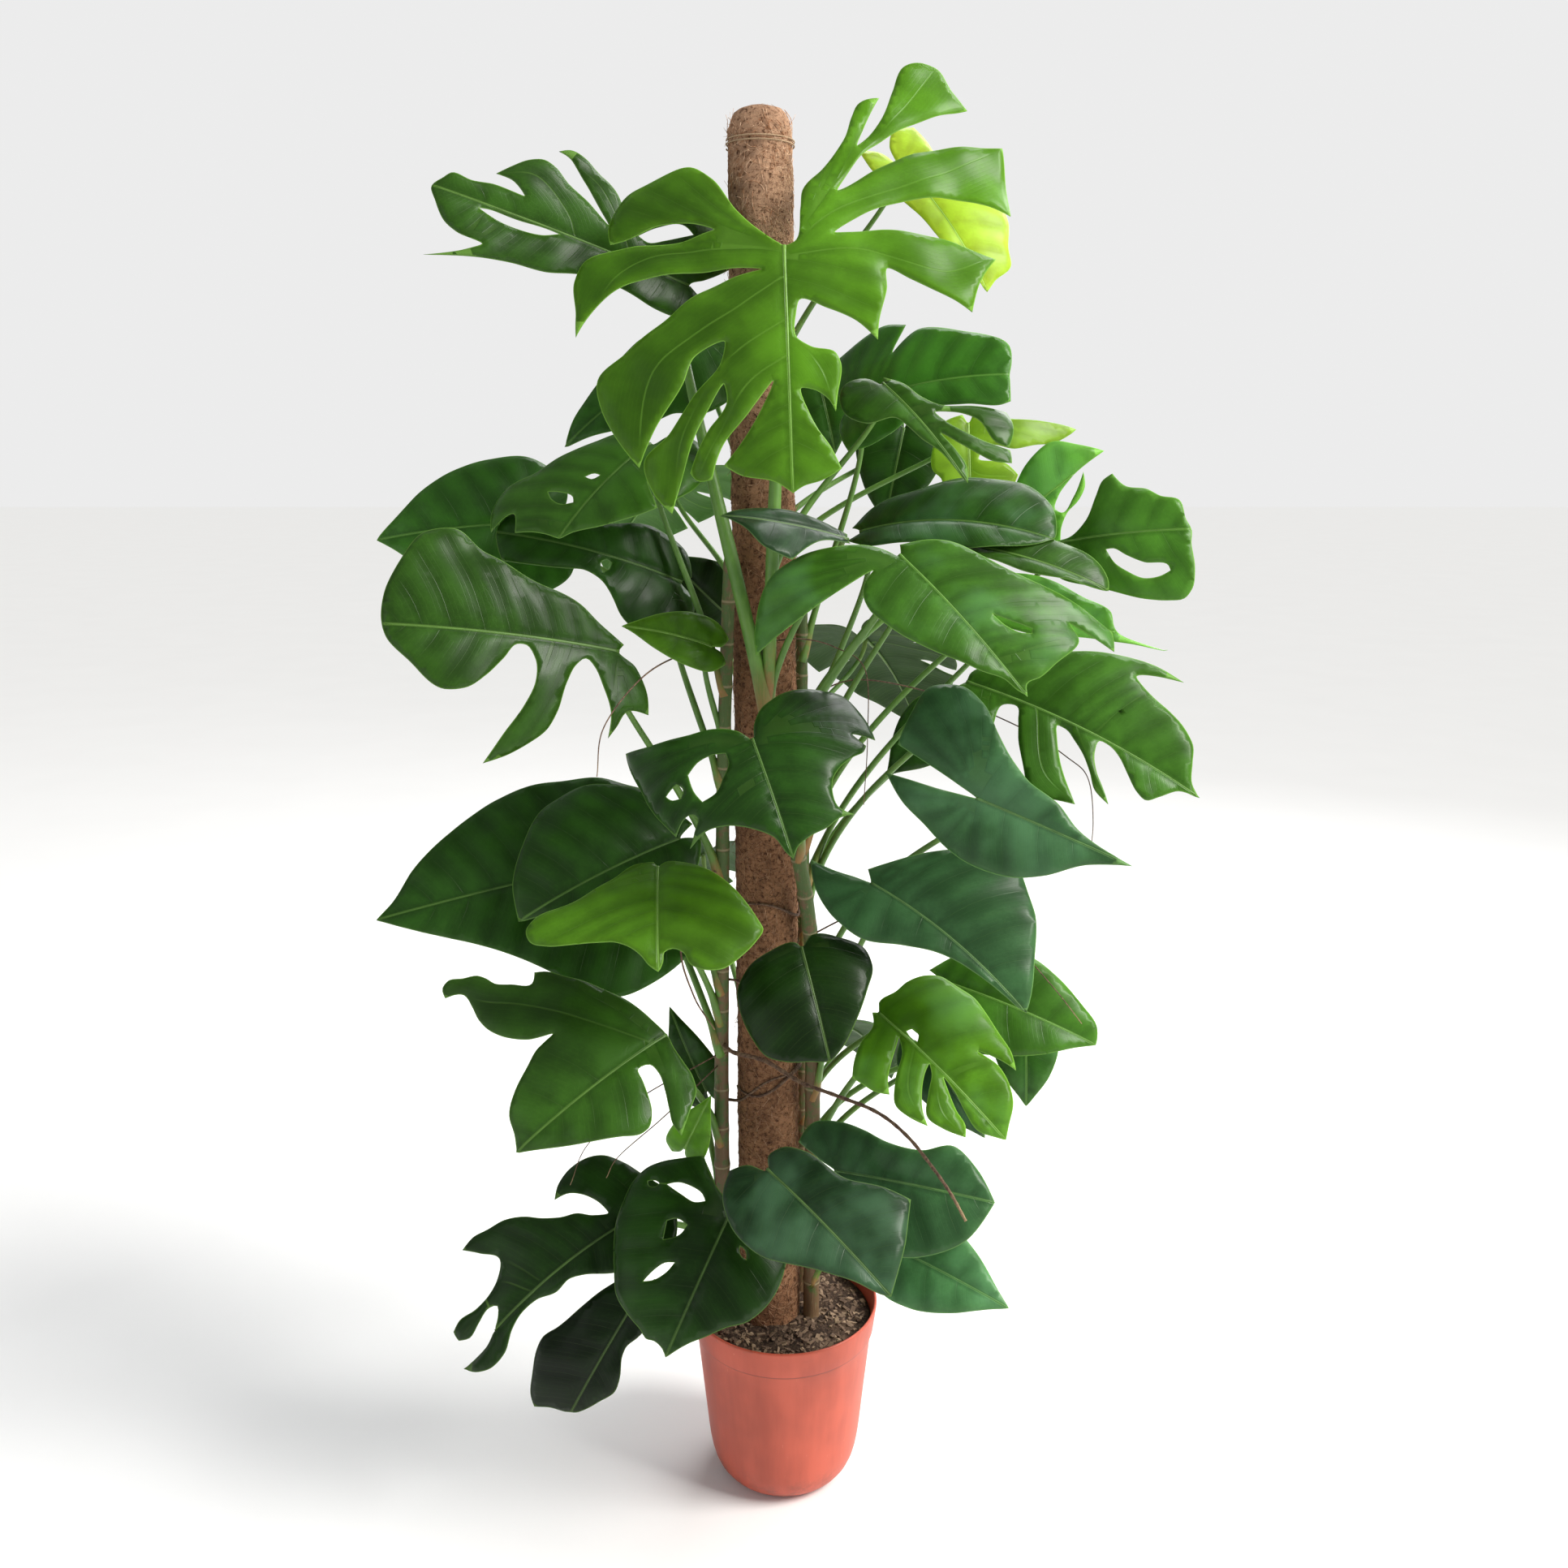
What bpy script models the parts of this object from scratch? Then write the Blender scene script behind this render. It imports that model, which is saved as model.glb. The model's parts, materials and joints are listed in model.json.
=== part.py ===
"""Potted swiss cheese plant on a coir pole: pot, soil, pole, climbing stems with leaf stalks, leaf blades.

Metres, +Z up, the front of the plant towards -Y, origin at the centre of the pot's underside.
"""

import math

import bmesh
import bpy
import numpy as np
from mathutils import Vector
from mathutils.geometry import delaunay_2d_cdt

NAME = "swiss_cheese_plant"

# pot
POT_HEIGHT = 0.225
POT_RIM_RADIUS = 0.120
POT_WALL = 0.0025
POT_FLOOR = 0.004
POT_SIDES = 28
DRAIN_RADIUS = 0.006
DRAIN_RING = 0.072

# soil
SOIL_TOP = 0.206
GAP = 0.0003

# coir pole, leaning a little to the left as it rises
POLE_FOOT = Vector((-0.017, 0.0, 0.030))
POLE_TOP = Vector((-0.0285, 0.0, 1.722))
COIR_RADIUS = 0.039
STAKE_RADIUS = 0.0125

# blades
BLADE_HALF = 0.0006
MIDRIB_HALF = 0.0014
MIDRIB_STOPS = (0.12, 0.26, 0.42, 0.58, 0.74, 0.88)
MIDRIB_CLEAR = 0.01
INNER_STEP = 0.22
INNER_CLEAR = 0.07
STALK_END = 0.0028

LIME = (0.32, 0.50, 0.06)
BRIGHT = (0.14, 0.30, 0.05)
MID = (0.07, 0.19, 0.05)
DARK = (0.035, 0.11, 0.035)
TEAL = (0.07, 0.17, 0.11)


# Leaf outlines. One half of a blade is its margin from the stalk to the tip, as points (forward, outward)
# in leaf lengths. Where the margin turns back towards the midrib it follows a slit between two fingers.
HEART = [(-0.13, 0.05), (-0.20, 0.20), (-0.16, 0.38), (0.02, 0.50), (0.26, 0.50), (0.50, 0.41),
    (0.72, 0.27), (0.90, 0.09)]
HEART_SMALL = [(-0.10, 0.04), (-0.18, 0.24), (-0.04, 0.46), (0.28, 0.49), (0.62, 0.33), (0.88, 0.10)]
ONE_CUT = [(-0.13, 0.05), (-0.22, 0.24), (-0.12, 0.46), (0.12, 0.54), (0.35, 0.50), (0.32, 0.26),
    (0.44, 0.46), (0.62, 0.36), (0.80, 0.22), (0.92, 0.07)]
TWO_CUTS = [(-0.13, 0.05), (-0.24, 0.24), (-0.14, 0.47), (0.02, 0.55), (0.12, 0.55), (0.14, 0.28),
    (0.20, 0.56), (0.34, 0.53), (0.44, 0.48), (0.37, 0.24), (0.52, 0.44), (0.76, 0.27), (0.92, 0.08)]
SUNNY_LEFT = [(-0.13, 0.05), (-0.20, 0.15), (0.0, 0.22), (0.30, 0.20), (0.60, 0.15), (0.85, 0.06)]
SUNNY_RIGHT = [(-0.13, 0.05), (-0.26, 0.23), (-0.24, 0.35), (-0.10, 0.34), (0.11, 0.26), (0.30, 0.30),
    (0.44, 0.34), (0.52, 0.44), (0.65, 0.41), (0.81, 0.29), (0.91, 0.25), (0.96, 0.08)]
LEAN_LEFT = [(-0.13, 0.05), (-0.20, 0.13), (-0.22, 0.27), (-0.15, 0.40), (0.0, 0.33), (0.13, 0.26),
    (0.33, 0.27), (0.54, 0.21), (0.70, 0.17), (0.86, 0.10)]
LEAN_RIGHT = [(-0.13, 0.05), (-0.20, 0.20), (-0.10, 0.42), (0.15, 0.52), (0.35, 0.49), (0.46, 0.37),
    (0.57, 0.33), (0.65, 0.27), (0.77, 0.18), (0.90, 0.07)]

# the big hanging leaf at the top
TOP_LEFT = [(-0.01, 0.02), (-0.18, 0.18), (-0.34, 0.28), (-0.40, 0.36), (-0.38, 0.475), (-0.31, 0.62),
    (-0.17, 0.70), (-0.085, 0.69), (-0.105, 0.59), (-0.14, 0.48), (-0.125, 0.36), (-0.085, 0.27),
    (-0.06, 0.36), (-0.05, 0.50), (-0.065, 0.60), (-0.05, 0.71), (-0.02, 0.80), (0.05, 0.84),
    (0.22, 0.83), (0.32, 0.825), (0.20, 0.75), (0.12, 0.62), (0.10, 0.40), (0.10, 0.09),
    (0.15, 0.24), (0.24, 0.40), (0.40, 0.60), (0.52, 0.735), (0.64, 0.725), (0.80, 0.64), (0.88, 0.58),
    (0.73, 0.51), (0.56, 0.40), (0.46, 0.355), (0.405, 0.24), (0.50, 0.26), (0.61, 0.36), (0.76, 0.46),
    (0.86, 0.56), (0.99, 0.52), (1.06, 0.455), (0.88, 0.40), (0.69, 0.32), (0.58, 0.245), (0.64, 0.235),
    (0.75, 0.31), (0.91, 0.385), (0.94, 0.36), (0.94, 0.30), (0.80, 0.25), (0.70, 0.16), (0.575, 0.06),
    (0.72, 0.13), (0.89, 0.255), (0.925, 0.20), (0.96, 0.06)]
TOP_RIGHT = [(-0.01, 0.03), (-0.17, 0.07), (-0.25, 0.08), (-0.365, 0.165), (-0.505, 0.26), (-0.635, 0.30),
    (-0.69, 0.325), (-0.72, 0.415), (-0.60, 0.355), (-0.475, 0.31), (-0.62, 0.42), (-0.78, 0.48),
    (-0.90, 0.53), (-0.94, 0.62), (-0.93, 0.68), (-0.80, 0.74), (-0.725, 0.80), (-0.66, 0.655),
    (-0.565, 0.483), (-0.43, 0.327), (-0.258, 0.222), (-0.365, 0.385), (-0.475, 0.575), (-0.52, 0.75),
    (-0.55, 0.935), (-0.325, 0.94), (-0.21, 0.935), (-0.26, 0.74), (-0.235, 0.525), (-0.15, 0.327),
    (-0.06, 0.20), (-0.072, 0.386), (-0.058, 0.60), (-0.025, 0.74), (0.0, 0.855), (0.145, 0.765),
    (0.27, 0.73), (0.20, 0.60), (0.14, 0.49), (0.095, 0.40), (0.19, 0.39), (0.34, 0.352), (0.41, 0.345),
    (0.33, 0.265), (0.28, 0.155), (0.245, 0.05), (0.30, 0.035), (0.40, 0.035), (0.44, 0.085),
    (0.47, 0.18), (0.50, 0.195), (0.635, 0.18), (0.70, 0.17), (0.65, 0.145), (0.615, 0.10),
    (0.605, 0.045), (0.70, 0.07), (0.765, 0.10), (0.83, 0.145), (0.915, 0.185), (0.955, 0.11), (0.975, 0.04)]
# the split leaf reaching out at the upper left
REACH_UP = [(-0.05, 0.04), (-0.18, 0.20), (-0.18, 0.32), (-0.06, 0.36), (0.03, 0.41), (0.12, 0.42),
    (0.20, 0.36), (0.26, 0.26), (0.30, 0.165), (0.36, 0.22), (0.43, 0.275), (0.50, 0.318),
    (0.57, 0.325), (0.61, 0.30), (0.56, 0.29), (0.53, 0.267), (0.49, 0.224), (0.45, 0.18), (0.36, 0.09),
    (0.45, 0.145), (0.545, 0.19), (0.60, 0.23), (0.65, 0.243), (0.705, 0.22), (0.754, 0.175),
    (0.80, 0.125), (0.74, 0.118), (0.68, 0.075), (0.80, 0.08), (0.876, 0.063), (0.95, 0.064), (0.97, 0.04)]
REACH_DOWN = [(-0.05, 0.04), (-0.10, 0.14), (0.10, 0.15), (0.38, 0.13), (0.53, 0.18), (0.64, 0.185),
    (0.73, 0.205), (0.80, 0.225), (0.95, 0.27), (0.82, 0.205), (0.77, 0.166), (0.86, 0.152),
    (0.92, 0.12), (0.97, 0.06)]
REACH_HOLES = [
    [(0.24, -0.10), (0.18, -0.16), (0.08, -0.21), (0.04, -0.19), (0.14, -0.12), (0.20, -0.09)],
    [(0.52, 0.015), (0.57, 0.045), (0.67, 0.052), (0.76, 0.045), (0.82, 0.03), (0.78, 0.015), (0.65, 0.012)],
]
BLUNT_UP = [(-0.05, 0.05), (-0.10, 0.38), (0.20, 0.50), (0.36, 0.47), (0.30, 0.25), (0.45, 0.38),
    (0.60, 0.35), (0.85, 0.27), (1.00, 0.17), (1.01, 0.05)]
BLUNT_DOWN = [(-0.05, 0.05), (0.0, 0.30), (0.15, 0.31), (0.30, 0.28), (0.50, 0.17), (0.75, 0.19),
    (0.95, 0.20), (1.0, 0.18), (1.0, 0.05)]
FORK_RIGHT = [(-0.05, 0.04), (0.12, 0.10), (0.27, 0.12), (0.41, 0.20), (0.52, 0.39), (0.63, 0.61),
    (0.79, 0.54), (0.90, 0.42), (0.83, 0.35), (0.64, 0.34), (0.54, 0.27), (0.44, 0.12), (0.58, 0.14),
    (0.76, 0.24), (0.92, 0.41), (1.01, 0.35), (0.95, 0.24), (0.85, 0.17), (0.73, 0.10), (0.61, 0.05),
    (0.77, 0.06), (0.89, 0.06)]
FORK_LEFT = [(-0.08, 0.05), (-0.10, 0.25), (0.08, 0.38), (0.28, 0.32), (0.36, 0.14), (0.46, 0.11),
    (0.59, 0.08), (0.70, 0.04), (0.85, 0.02)]
YOUNG_RIGHT = [(-0.07, 0.04), (-0.03, 0.29), (-0.04, 0.53), (-0.05, 0.83), (0.11, 0.61), (0.15, 0.46),
    (0.19, 0.31), (0.18, 0.11), (0.26, 0.06), (0.30, 0.25), (0.37, 0.33), (0.47, 0.27), (0.48, 0.08),
    (0.59, 0.05), (0.61, 0.21), (0.69, 0.24), (0.76, 0.16), (0.78, 0.05), (0.89, 0.07)]
YOUNG_LEFT = [(-0.05, 0.04), (0.0, 0.16), (0.15, 0.24), (0.35, 0.25), (0.40, 0.20), (0.57, 0.24),
    (0.67, 0.26), (0.77, 0.22), (0.81, 0.15), (0.92, 0.13)]
BROAD_UP = [(0.0, 0.04), (0.10, 0.24), (0.26, 0.33), (0.44, 0.40), (0.70, 0.55), (0.88, 0.66), (1.05, 0.70),
    (1.20, 0.54), (1.02, 0.42), (1.12, 0.32), (1.06, 0.20), (1.02, 0.08)]
BROAD_HOLES = [
    [(0.77, -0.30), (0.73, -0.21), (0.71, -0.11), (0.74, -0.08), (0.80, -0.15), (0.80, -0.24)],
    [(0.54, -0.14), (0.48, -0.10), (0.47, -0.06), (0.53, -0.09)],
]
SHELF_UP = [(-0.05, 0.04), (0.0, 0.15), (0.2, 0.21), (0.55, 0.14), (0.85, 0.14), (0.96, 0.08)]
SHELF_DOWN = [(-0.1, 0.06), (-0.05, 0.28), (0.2, 0.33), (0.31, 0.27), (0.36, 0.22), (0.45, 0.14),
    (0.54, 0.11), (0.62, 0.12), (0.85, 0.15), (0.94, 0.15), (0.98, 0.07)]
SHELF_HOLES = [[(0.46, 0.05), (0.43, 0.02), (0.40, 0.03), (0.41, 0.07), (0.44, 0.10)]]
# the big leaf at the left with one long claw
CLAW_UP = [(-0.02, 0.03), (0.10, 0.10), (0.20, 0.16), (0.29, 0.20), (0.38, 0.23), (0.47, 0.26),
    (0.61, 0.335), (0.74, 0.42), (0.86, 0.40), (0.95, 0.26), (1.0, 0.12)]
CLAW_DOWN = [(-0.08, 0.05), (-0.13, 0.15), (-0.15, 0.25), (-0.03, 0.26), (0.0, 0.32), (0.03, 0.37),
    (0.04, 0.27), (0.07, 0.18), (0.12, 0.09), (0.16, 0.06), (0.20, 0.09), (0.24, 0.17), (0.27, 0.29),
    (0.31, 0.37), (0.38, 0.43), (0.46, 0.48), (0.56, 0.52), (0.49, 0.40), (0.42, 0.29), (0.38, 0.19),
    (0.385, 0.09), (0.42, 0.04), (0.46, 0.04), (0.51, 0.10), (0.58, 0.18), (0.65, 0.235), (0.74, 0.25),
    (0.88, 0.15), (0.98, 0.05)]
# the glossy leaf right of the pole
GLOSS_LEFT = [(-0.06, 0.03), (-0.25, 0.23), (-0.33, 0.38), (-0.35, 0.52), (-0.29, 0.70), (-0.13, 0.88),
    (-0.04, 0.50), (0.01, 0.17), (0.04, 0.25), (0.10, 0.30), (0.18, 0.325), (0.34, 0.31), (0.55, 0.23),
    (0.67, 0.17), (0.78, 0.11), (0.87, 0.04), (0.95, 0.025)]
GLOSS_RIGHT = [(-0.05, 0.04), (0.10, 0.22), (0.48, 0.385), (0.78, 0.55), (0.97, 0.63), (1.06, 0.54),
    (0.82, 0.43), (0.90, 0.41), (0.95, 0.20), (0.96, 0.10), (0.95, 0.03)]
GLOSS_HOLES = [[(0.57, 0.12), (0.63, 0.16), (0.69, 0.20), (0.74, 0.23), (0.76, 0.21), (0.73, 0.175), (0.65, 0.135)]]
CANOPY_UP = [(-0.05, 0.03), (0.1, 0.14), (0.33, 0.21), (0.60, 0.26), (0.80, 0.27), (0.95, 0.17), (1.0, 0.06)]
CANOPY_DOWN = [(-0.05, 0.05), (0.1, 0.12), (0.40, 0.15), (0.66, 0.16), (0.85, 0.10), (0.96, 0.04)]
STRAP_UP = [(0.0, 0.03), (0.3, 0.08), (0.7, 0.08)]
STRAP_DOWN = [(0.0, 0.03), (0.3, 0.1), (0.55, 0.25), (0.75, 0.2), (0.9, 0.06)]
CREST_DOWN = [(0.0, 0.04), (0.3, 0.1), (0.7, 0.10)]
CREST_UP = [(0.0, 0.04), (0.2, 0.12), (0.55, 0.17), (0.85, 0.17), (0.98, 0.06)]
PEAK_LEFT = [(-0.05, 0.07), (-0.07, 0.25), (-0.01, 0.41), (0.12, 0.55), (0.31, 0.45), (0.40, 0.33), (0.51, 0.25),
    (0.61, 0.23), (0.72, 0.16), (0.78, 0.04), (0.61, 0.17), (0.47, 0.22), (0.45, 0.16), (0.52, 0.08), (0.66, 0.02)]
PEAK_RIGHT = [(-0.02, 0.06), (0.07, 0.10), (0.32, 0.25), (0.47, 0.34), (0.58, 0.37), (0.73, 0.37), (0.88, 0.19)]
ISLAND_UP = [(0.0, 0.02), (0.20, 0.03), (0.32, 0.12), (0.39, 0.27), (0.44, 0.38), (0.50, 0.42),
    (0.59, 0.32), (0.73, 0.28), (0.82, 0.22), (0.93, 0.19), (0.97, 0.06)]
ISLAND_DOWN = [(0.0, 0.04), (0.12, 0.25), (0.30, 0.32), (0.46, 0.37), (0.68, 0.44), (0.84, 0.46),
    (0.94, 0.45), (0.99, 0.39), (1.01, 0.26), (0.995, 0.10)]
ISLAND_HOLES = [
    [(0.45, -0.10), (0.50, -0.10), (0.58, -0.15), (0.70, -0.21), (0.85, -0.24), (0.86, -0.27),
        (0.80, -0.30), (0.69, -0.31), (0.59, -0.26), (0.51, -0.20)]
]
# the split leaf at the right with hanging fingers
COMB_UP = [(0.0, 0.03), (0.1, 0.12), (0.25, 0.22), (0.43, 0.32), (0.6, 0.36), (0.74, 0.37), (0.58, 0.28),
    (0.68, 0.235), (0.75, 0.215), (0.82, 0.19), (0.88, 0.15), (0.91, 0.09), (0.95, 0.025)]
COMB_DOWN = [(-0.02, 0.04), (-0.04, 0.18), (0.02, 0.26), (0.10, 0.36), (0.22, 0.38), (0.20, 0.27),
    (0.18, 0.14), (0.18, 0.04), (0.23, 0.03), (0.26, 0.08), (0.30, 0.16), (0.37, 0.25), (0.43, 0.33),
    (0.53, 0.30), (0.61, 0.28), (0.54, 0.22), (0.48, 0.16), (0.43, 0.09), (0.405, 0.03), (0.44, 0.03),
    (0.49, 0.06), (0.55, 0.10), (0.60, 0.145), (0.65, 0.20), (0.72, 0.22), (0.67, 0.175), (0.62, 0.13),
    (0.58, 0.07), (0.575, 0.02), (0.62, 0.02), (0.67, 0.04), (0.73, 0.08), (0.79, 0.12), (0.83, 0.13),
    (0.87, 0.09), (0.92, 0.03)]
DROOP_DOWN = [(-0.15, 0.02), (-0.60, 0.06), (-0.41, 0.17), (-0.23, 0.23), (-0.06, 0.29), (0.10, 0.32),
    (0.25, 0.32), (0.38, 0.30), (0.57, 0.22), (0.76, 0.09)]
DROOP_UP = [(-0.15, 0.03), (-0.60, 0.10), (-0.62, 0.30), (-0.60, 0.47), (-0.42, 0.55), (-0.25, 0.51),
    (-0.05, 0.36), (0.10, 0.26), (0.26, 0.18), (0.48, 0.13), (0.62, 0.06)]
SHIELD_LEFT = [(-0.1, 0.02), (-0.34, 0.05), (-0.22, 0.17), (-0.05, 0.25), (0.15, 0.27), (0.34, 0.18),
    (0.60, 0.07), (0.85, 0.03)]
SHIELD_RIGHT = [(-0.05, 0.05), (0.05, 0.18), (0.19, 0.33), (0.38, 0.50), (0.50, 0.51), (0.70, 0.38),
    (0.88, 0.17), (0.97, 0.05)]
# the broad dark leaf in front of the pole's middle
STAR_RIGHT = [(-0.1, 0.04), (-0.24, 0.14), (-0.33, 0.30), (-0.36, 0.6), (-0.34, 0.9), (-0.12, 1.0), (0.08, 1.02),
    (0.10, 0.78), (0.20, 0.88), (0.30, 0.80), (0.37, 0.66), (0.44, 0.55), (0.53, 0.46), (0.63, 0.42),
    (0.74, 0.42), (0.83, 0.52), (0.83, 0.40), (0.87, 0.30), (0.89, 0.18), (0.94, 0.05)]
STAR_LEFT = [(-0.09, 0.08), (-0.19, 0.26), (-0.23, 0.44), (-0.30, 0.60), (-0.39, 0.79), (-0.56, 1.05),
    (-0.31, 1.05), (-0.06, 1.00), (0.24, 0.92), (0.53, 0.80), (0.46, 0.71), (0.44, 0.63), (0.50, 0.57),
    (0.58, 0.63), (0.68, 0.71), (0.62, 0.54), (0.65, 0.36), (0.73, 0.20), (0.83, 0.08), (0.96, 0.03)]
STAR_HOLES = [
    [(0.10, -0.55), (0.05, -0.45), (0.05, -0.34), (0.08, -0.23), (0.17, -0.23), (0.28, -0.31), (0.36, -0.38),
        (0.39, -0.50), (0.28, -0.54)],
    [(0.16, -0.77), (0.12, -0.66), (0.21, -0.62), (0.27, -0.65), (0.24, -0.72)],
]
WING_LEFT = [(-0.1, 0.05), (0.0, 0.28), (0.168, 0.47), (0.366, 0.56), (0.618, 0.54), (0.80, 0.38),
    (0.93, 0.2), (0.98, 0.06)]
WING_RIGHT = [(-0.1, 0.05), (0.0, 0.2), (0.3, 0.28), (0.6, 0.2), (0.85, 0.06)]
CAPE_LEFT = [(-0.05, 0.03), (-0.02, 0.15), (0.18, 0.31), (0.33, 0.47), (0.43, 0.64), (0.52, 0.78),
    (0.61, 0.83), (0.71, 0.80), (0.76, 0.69), (0.76, 0.39), (0.77, 0.26), (0.82, 0.17), (0.89, 0.10),
    (0.95, 0.06)]
CAPE_RIGHT = [(-0.03, 0.05), (0.01, 0.17), (0.13, 0.34), (0.29, 0.47), (0.49, 0.58), (0.63, 0.64),
    (0.72, 0.67), (0.82, 0.62), (0.94, 0.51), (1.02, 0.40), (1.02, 0.28), (0.97, 0.20), (0.88, 0.16),
    (0.84, 0.09), (0.86, 0.04), (0.93, 0.03)]
LONG_UP = [(-0.05, 0.05), (0.0, 0.2), (0.2, 0.3), (0.40, 0.315), (0.54, 0.29), (0.70, 0.217),
    (0.86, 0.116), (0.95, 0.03)]
LONG_DOWN = [(-0.05, 0.1), (0.0, 0.33), (0.14, 0.40), (0.29, 0.418), (0.407, 0.35), (0.594, 0.22),
    (0.8, 0.11), (0.94, 0.04)]
# the leaf at the left with a long hooked finger
HOOK_UP = [(0.01, 0.07), (0.03, 0.17), (0.07, 0.29), (0.14, 0.44), (0.25, 0.59), (0.33, 0.71),
    (0.38, 0.74), (0.43, 0.69), (0.52, 0.75), (0.59, 0.82), (0.61, 0.88), (0.64, 0.93), (0.71, 0.97),
    (0.79, 1.02), (0.83, 1.01), (0.85, 0.95), (0.76, 0.89), (0.76, 0.80), (0.77, 0.72), (0.76, 0.63),
    (0.72, 0.54), (0.62, 0.43), (0.50, 0.37), (0.62, 0.355), (0.71, 0.31), (0.81, 0.26), (0.92, 0.17),
    (0.96, 0.07)]
HOOK_DOWN = [(0.02, 0.09), (0.03, 0.19), (0.04, 0.28), (0.08, 0.37), (0.15, 0.42), (0.28, 0.51),
    (0.28, 0.43), (0.25, 0.36), (0.21, 0.27), (0.18, 0.17), (0.19, 0.10), (0.25, 0.08), (0.27, 0.15),
    (0.29, 0.22), (0.32, 0.30), (0.39, 0.37), (0.44, 0.37), (0.53, 0.32), (0.69, 0.22), (0.84, 0.12), (0.96, 0.03)]
APRON_LEFT = [(-0.04, 0.03), (-0.02, 0.31), (0.05, 0.50), (0.19, 0.63), (0.40, 0.66), (0.66, 0.61),
    (0.85, 0.51), (0.93, 0.35), (0.97, 0.16)]
APRON_RIGHT = [(-0.07, 0.10), (0.0, 0.34), (0.13, 0.54), (0.30, 0.57), (0.52, 0.45), (0.75, 0.29), (0.93, 0.12)]
# the bright leaf right of the pole with three fingers
SPLIT_LEFT = [(-0.02, 0.03), (0.04, 0.08), (0.07, 0.21), (0.12, 0.32), (0.17, 0.39), (0.24, 0.375),
    (0.31, 0.36), (0.39, 0.31), (0.33, 0.26), (0.28, 0.18), (0.23, 0.09), (0.195, 0.03), (0.27, 0.08),
    (0.36, 0.23), (0.46, 0.33), (0.56, 0.32), (0.66, 0.28), (0.59, 0.245), (0.51, 0.17), (0.45, 0.08),
    (0.43, 0.025), (0.48, 0.06), (0.54, 0.15), (0.63, 0.25), (0.72, 0.23), (0.84, 0.165), (0.80, 0.12),
    (0.71, 0.10), (0.62, 0.065), (0.54, 0.025), (0.64, 0.035), (0.74, 0.065), (0.87, 0.085), (0.94, 0.045)]
SPLIT_RIGHT = [(-0.03, 0.04), (-0.01, 0.16), (-0.01, 0.25), (0.03, 0.35), (0.10, 0.42), (0.22, 0.445),
    (0.34, 0.46), (0.43, 0.44), (0.59, 0.40), (0.70, 0.37), (0.79, 0.31), (0.69, 0.285), (0.57, 0.23),
    (0.70, 0.255), (0.80, 0.23), (0.89, 0.17), (0.96, 0.06)]
SPLIT_HOLES = [[(0.20, 0.025), (0.22, 0.06), (0.27, 0.055), (0.29, 0.02), (0.24, 0.015)]]
SLIM_RIGHT = [(-0.10, 0.05), (0.05, 0.25), (0.20, 0.38), (0.41, 0.45), (0.67, 0.36), (0.85, 0.24), (0.96, 0.14)]
BEAK_UP = [(-0.05, 0.04), (-0.16, 0.22), (0.05, 0.24), (0.26, 0.22), (0.45, 0.17), (0.63, 0.11), (0.67, 0.03)]
BEAK_DOWN = [(-0.05, 0.04), (0.0, 0.15), (0.30, 0.16), (0.60, 0.08), (0.72, 0.06), (0.90, 0.03)]
# the dark leaf at the lower left with antler-like arms
ANTLER_UP = [(-0.10, 0.04), (-0.03, 0.15), (0.01, 0.23), (0.07, 0.30), (0.14, 0.33), (0.22, 0.33),
    (0.28, 0.30), (0.32, 0.25), (0.27, 0.24), (0.21, 0.19), (0.17, 0.12), (0.16, 0.07), (0.22, 0.10),
    (0.27, 0.145), (0.33, 0.17), (0.40, 0.22), (0.45, 0.27), (0.53, 0.32), (0.60, 0.34), (0.66, 0.36),
    (0.72, 0.35), (0.67, 0.28), (0.62, 0.20), (0.68, 0.14), (0.74, 0.12), (0.81, 0.12), (0.88, 0.14),
    (0.93, 0.13), (0.94, 0.09), (0.90, 0.06), (0.83, 0.07), (0.76, 0.08), (0.73, 0.06), (0.75, 0.03),
    (0.80, 0.0), (0.86, -0.02), (0.93, -0.015)]
ANTLER_DOWN = [(-0.1, 0.05), (0.0, 0.2), (0.10, 0.19), (0.25, 0.16), (0.37, 0.09), (0.43, 0.065),
    (0.50, 0.07), (0.59, 0.035), (0.66, 0.035), (0.74, 0.06), (0.82, 0.10), (0.90, 0.10), (0.96, 0.06)]
# the dark leaf in front of the pot's left side, with long windows
WINDOW_LEFT = [(-0.07, 0.05), (-0.14, 0.17), (-0.23, 0.28), (-0.29, 0.34), (-0.22, 0.48), (-0.16, 0.60),
    (-0.09, 0.69), (0.06, 0.77), (0.21, 0.76), (0.37, 0.73), (0.53, 0.66), (0.68, 0.57), (0.80, 0.49),
    (0.88, 0.33), (0.92, 0.22), (0.95, 0.17), (0.94, 0.11), (0.96, 0.04)]
WINDOW_RIGHT = [(0.0, 0.04), (-0.02, 0.19), (0.0, 0.32), (0.04, 0.47), (0.14, 0.50), (0.25, 0.51),
    (0.38, 0.49), (0.48, 0.45), (0.56, 0.40), (0.65, 0.29), (0.76, 0.19), (0.84, 0.11), (0.92, 0.05)]
WINDOW_HOLES = [
    [(0.01, -0.64), (-0.01, -0.58), (0.0, -0.545), (0.03, -0.56), (0.04, -0.61)],
    [(-0.01, -0.49), (-0.05, -0.42), (-0.06, -0.33), (-0.045, -0.23), (-0.01, -0.19), (0.03, -0.25), (0.02, -0.36)],
    [(0.22, -0.37), (0.18, -0.31), (0.19, -0.23), (0.25, -0.24), (0.34, -0.34), (0.28, -0.355)],
    [(0.64, -0.34), (0.55, -0.31), (0.47, -0.26), (0.44, -0.20), (0.51, -0.22), (0.60, -0.28)],
    [(0.15, 0.155), (0.16, 0.20), (0.21, 0.23), (0.20, 0.18)],
]
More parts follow.
